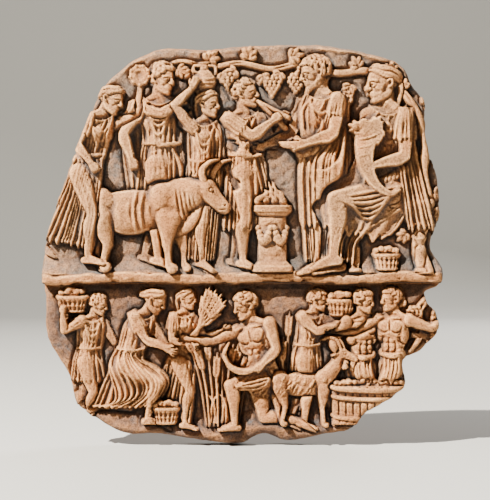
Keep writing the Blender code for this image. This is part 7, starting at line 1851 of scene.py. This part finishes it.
def lay_out(mesh):
    """The map for baked pictures: the front large, the back small beside it, and the rim in strips above."""
    corners = values_of(mesh.loops, "vertex_index", 1, np.int32)
    normal = values_of(mesh.polygons, "normal", 3)
    centre = values_of(mesh.polygons, "center", 3)
    sizes = values_of(mesh.polygons, "loop_total", 1, np.int32)
    # each face belongs to the front, the back or the rim
    kind = np.where(centre[:, 1] < -0.6 * SLAB_DEPTH, 0, np.where(normal[:, 1] > 0.8, 1, 2))
    kind = np.repeat(kind, sizes)
    owner = np.repeat(centre, sizes, axis=0)
    p = places_of(mesh)[corners]
    half = PANEL_WIDTH / 2
    u = (p[:, 0] + half) / PANEL_WIDTH
    v = (p[:, 2] + half) / PANEL_WIDTH
    across = (1 - MAP_FRONT) - 3 * MAP_GAP
    out = np.empty((len(p), 2))
    front, back, rim = (kind == k for k in range(3))
    out[front] = np.column_stack([u, v])[front] * MAP_FRONT + MAP_GAP
    out[back] = np.column_stack([1 - u, v])[back] * across + (MAP_FRONT + 2 * MAP_GAP, MAP_GAP)
    angle = np.arctan2(p[:, 2], p[:, 0])
    own = np.arctan2(owner[:, 2], owner[:, 0])
    angle -= 2 * math.pi * np.round((angle - own) / (2 * math.pi))
    turn = (own + math.pi) / (2 * math.pi) * MAP_STRIPS
    strip = np.clip(np.floor(turn), 0, MAP_STRIPS - 1)
    along = (angle + math.pi) / (2 * math.pi) * MAP_STRIPS - strip
    tall = across / MAP_STRIPS - MAP_GAP
    out[rim, 0] = (MAP_GAP + 0.02 + 0.94 * along * (1 - 2 * MAP_GAP))[rim]
    deep = np.clip(-p[:, 1] / SLAB_DEPTH, 0, 1)
    out[rim, 1] = (MAP_FRONT + 2 * MAP_GAP + strip * (tall + MAP_GAP) + tall * deep)[rim]
    layer = mesh.uv_layers.new(name="OFBake")
    layer.data.foreach_set("uv", np.clip(out, 0, 1).reshape(-1))


# Materials

class Nodes:
    """A material's nodes, with short ways to add and join them."""

    def __init__(self, name):
        self.material = bpy.data.materials.new(name)
        self.material.use_nodes = True
        self.tree = self.material.node_tree
        self.shader = self.tree.nodes["Principled BSDF"]

    def add(self, kind, inputs=(), **settings):
        node = self.tree.nodes.new("ShaderNode" + kind)
        for name, value in settings.items():
            setattr(node, name, value)
        for socket, value in dict(inputs).items():
            self.give(node.inputs[socket], value)
        return node

    def give(self, socket, value):
        if hasattr(value, "links"):
            self.tree.links.new(value, socket)
        else:
            socket.default_value = value

    def noise(self, scale, detail=3.0, roughness=0.5, distortion=0.0):
        inputs = {"Vector": self.place, "Scale": scale, "Detail": detail, "Roughness": roughness,
                  "Distortion": distortion}
        return self.add("TexNoise", inputs).outputs["Fac"]

    def cells(self, scale):
        return self.add("TexVoronoi", {"Vector": self.place, "Scale": scale}).outputs["Distance"]

    def ramp(self, value, low, high, start=0.0, end=1.0):
        inputs = {"Value": value, "From Min": low, "From Max": high, "To Min": start, "To Max": end}
        return self.add("MapRange", inputs, interpolation_type="SMOOTHSTEP").outputs[0]

    def math(self, operation, a, b):
        return self.add("Math", {0: a, 1: b}, operation=operation,
                        use_clamp=operation != "SUBTRACT").outputs[0]

    def times(self, a, b):
        return self.math("MULTIPLY", a, b)

    def mix(self, share, a, b, blend="MIX"):
        node = self.add("Mix", data_type="RGBA", blend_type=blend)
        self.give(node.inputs[0], share)
        self.give(node.inputs[6], a)
        self.give(node.inputs[7], b)
        return node.outputs[2]

    def kept(self, name):
        """A value that the mesh keeps at its points."""
        return self.add("Attribute", attribute_name=name).outputs["Fac"]

    @property
    def height(self):
        """How high a place is."""
        return self.add("SeparateXYZ", {"Vector": self.place}).outputs["Z"]

    @property
    def place(self):
        if not hasattr(self, "coordinates"):
            self.coordinates = self.add("TexCoord").outputs["Object"]
        return self.coordinates


def terracotta():
    n = Nodes("weathered_terracotta")
    crease, hollow, ground, crisp, high, deep = (
        n.kept(name) for name in ("crease", "hollow", "ground", "crisp", "high", "deep"))
    # fired clay, warmer and cooler in broad clouds, and warmer all over the lower scene
    lower = n.ramp(n.height, LEDGE_FOOT * UP, LEDGE_TOP * UP, 1.0, 0.0)
    clouds = n.math("SUBTRACT", n.ramp(n.noise(28, 4, 0.6, 0.4), 0.35, 0.65), n.times(lower, 0.6))
    colour = n.mix(clouds, CLAY_WARM, CLAY_COOL)
    blotches = n.ramp(n.noise(110, 5, 0.7, 0.6), 0.5, 0.72)
    colour = n.mix(n.times(blotches, 0.45), colour, CLAY_DARK)
    # pale worn skin and a painted highlight on what stands out, most on crisp edges
    wear_and_highlight = n.times(n.math("ADD", n.times(high, 0.05), n.times(crisp, 0.5)),
                  n.ramp(n.noise(75, 4, 0.65, 0.3), 0.3, 0.62, 0.25, 1.0))
    colour = n.mix(wear_and_highlight, colour, PALE_WEAR_AND_HIGHLIGHT)
    # dirt over the ground, browner in the lower scene, and slate-grey dust with painted shade where the
    # forms meet it and in creases
    patchy = n.ramp(n.noise(60, 5, 0.65, 0.8), 0.38, 0.62)
    earth = n.mix(n.math("MAXIMUM", n.times(patchy, 0.45), lower), GROUND_GREY, GROUND_BROWN)
    dirt = n.times(ground, n.ramp(n.noise(95, 4, 0.7), 0.36, 0.62, 0.55, 1.0))
    earth = n.mix(n.times(n.ramp(n.noise(70, 5, 0.7, 0.5), 0.5, 0.66), 0.8), earth, SLATE_DUST_AND_SHADE)
    colour = n.mix(dirt, colour, earth)
    dust_and_shade = n.math("ADD", n.times(hollow, 0.5), n.times(crease, 0.3))
    dust_and_shade = n.times(dust_and_shade, n.ramp(n.noise(45, 4, 0.6, 0.5), 0.36, 0.6, 0.3, 1.0))
    slate = n.ramp(n.noise(33, 3, 0.6, 0.5), 0.38, 0.5)
    colour = n.mix(dust_and_shade, colour, n.mix(slate, DUST_AND_SHADE_BROWN, SLATE_DUST_AND_SHADE))
    # painted shade, near black, over the deep recesses between the forms
    colour = n.mix(n.times(deep, 0.7), colour, n.mix(slate, SHADOW_BROWN, SHADOW_SLATE))
    # a painted shadow on the low ground under the ledge
    under = n.times(n.ramp(n.height, LEDGE_FOOT * UP + LEDGE_FADE, LEDGE_FOOT * UP),
                   n.ramp(n.height, LEDGE_FOOT * UP - SHADOW_HEIGHT, LEDGE_FOOT * UP - LEDGE_FADE))
    colour = n.mix(n.times(under, n.times(ground, 0.85)), colour, SHADOW_BROWN)
    # fine grain, pale and dark specks, and small dark pits
    grain = n.noise(1500, 3, 0.75)
    colour = n.mix(0.85, colour, n.mix(n.ramp(grain, 0.36, 0.57), GRAIN_DARK, GRAIN_PALE), "MULTIPLY")
    specks = n.times(n.ramp(n.cells(900), 0.24, 0.12), n.ramp(n.noise(170, 3, 0.6), 0.5, 0.58))
    pits = n.times(n.ramp(n.cells(520), 0.19, 0.08), n.ramp(n.noise(120, 3, 0.6), 0.5, 0.58))
    dark = n.math("MAXIMUM", n.times(specks, 0.7), pits)
    colour = n.mix(n.times(dark, 0.9), colour, PIT)
    n.give(n.shader.inputs["Base Color"], colour)
    n.give(n.shader.inputs["Roughness"], n.ramp(n.noise(220, 3), 0.3, 0.7, 0.82, 0.96))
    n.shader.inputs["Specular IOR Level"].default_value = CLAY_SHINE
    relief = n.math("ADD", n.times(grain, 0.3), n.times(n.noise(420, 5, 0.7), 0.6))
    relief = n.math("SUBTRACT", relief, n.times(dark, 0.5))
    bump = n.add("Bump", {"Strength": 1.0, "Distance": GRAIN_DEPTH, "Height": relief})
    n.give(n.shader.inputs["Normal"], bump.outputs["Normal"])
    return n.material


def plain(name, colour, roughness):
    n = Nodes(name)
    n.shader.inputs["Base Color"].default_value = colour
    n.shader.inputs["Roughness"].default_value = roughness
    return n.material


# The stage

def floor():
    """A pale floor that starts at the panel's foot and turns up into a wall far behind it."""
    profile = [(-FLOOR_FRONT, 0.0), (FLOOR_TURN, 0.0)]
    for a in range(10, 91, 10):
        r = math.radians(a)
        profile.append((FLOOR_TURN + FLOOR_BEND * math.sin(r), FLOOR_BEND * (1 - math.cos(r))))
    profile.append((FLOOR_TURN + FLOOR_BEND, FLOOR_TOP))
    low = -PANEL_HEIGHT / 2 - FLOOR_GAP
    points = [(x, y, low + z) for y, z in profile for x in (-FLOOR_SIDE, FLOOR_SIDE)]
    faces = [(2 * i, 2 * i + 1, 2 * i + 3, 2 * i + 2) for i in range(len(profile) - 1)]
    mesh = bpy.data.meshes.new("floor")
    mesh.from_pydata(points, [], faces)
    for f in mesh.polygons:
        f.use_smooth = True
    mesh.materials.append(plain("pale_floor", FLOOR_PALE, FLOOR_ROUGHNESS))
    put("floor", mesh)


def lamp(name, place, size, power, colour):
    light = bpy.data.lights.new(name, "AREA")
    light.size = size
    light.energy = power
    light.color = colour
    item = put(name, light)
    item.visible_camera = False
    item.location = place
    item.rotation_euler = (-Vector(place)).to_track_quat("-Z", "Y").to_euler()


def light_up():
    lamp("key", *KEY_LAMP)
    lamp("fill", *FILL_LAMP)
    lamp("behind", *BACK_LAMP)
    bpy.context.scene.world = pale_world()


def pale_world():
    """A pale surround that gives little light of its own, so that shadows stay dark."""
    world = bpy.data.worlds.new("pale_world")
    world.use_nodes = True
    tree = world.node_tree
    surround = tree.nodes["Background"]
    surround.inputs["Color"].default_value = SURROUND_PALE
    seen = tree.nodes.new("ShaderNodeLightPath").outputs["Is Camera Ray"]
    strength = tree.nodes.new("ShaderNodeMapRange")
    strength.inputs["To Min"].default_value = SURROUND_LIGHT
    strength.inputs["To Max"].default_value = SURROUND_SEEN
    tree.links.new(seen, strength.inputs["Value"])
    tree.links.new(strength.outputs[0], surround.inputs["Strength"])
    return world


def camera():
    """Straight on, with the panel as large in the picture as it is in the photograph."""
    lens = bpy.data.cameras.new("camera")
    lens.sensor_fit = "HORIZONTAL"
    lens.sensor_width = SENSOR_WIDTH
    lens.lens = SENSOR_WIDTH * CAMERA_DISTANCE / (PICTURE_WIDTH * PIXEL)
    lens.clip_start, lens.clip_end = 0.01, 50.0
    item = put("camera", lens)
    x = (PICTURE_WIDTH / 2 - PANEL_CENTRE[0]) * PIXEL
    z = (PANEL_CENTRE[1] - PICTURE_HEIGHT / 2) * PIXEL
    item.location = (x, -SLAB_DEPTH - CAMERA_DISTANCE, z)
    item.rotation_euler = (math.pi / 2, 0, 0)
    bpy.context.scene.camera = item


def main():
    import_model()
    low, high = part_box("relief_panel")
    camera()
    light_up()
    floor()
    face = Face().fill()
    loop = outline()
    smooth, field, inside = face.finish(loop, SOFTEN)
    panel = put("clay_relief", full_mesh(face, loop, smooth, field, inside))
    fit(panel.data, low, high)
    paint(panel.data, face, field)
    lay_out(panel.data)
    for f in panel.data.polygons:
        f.use_smooth = True
    panel.data.materials.append(terracotta())
    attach(panel, "root")
    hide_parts("relief_panel")


main()
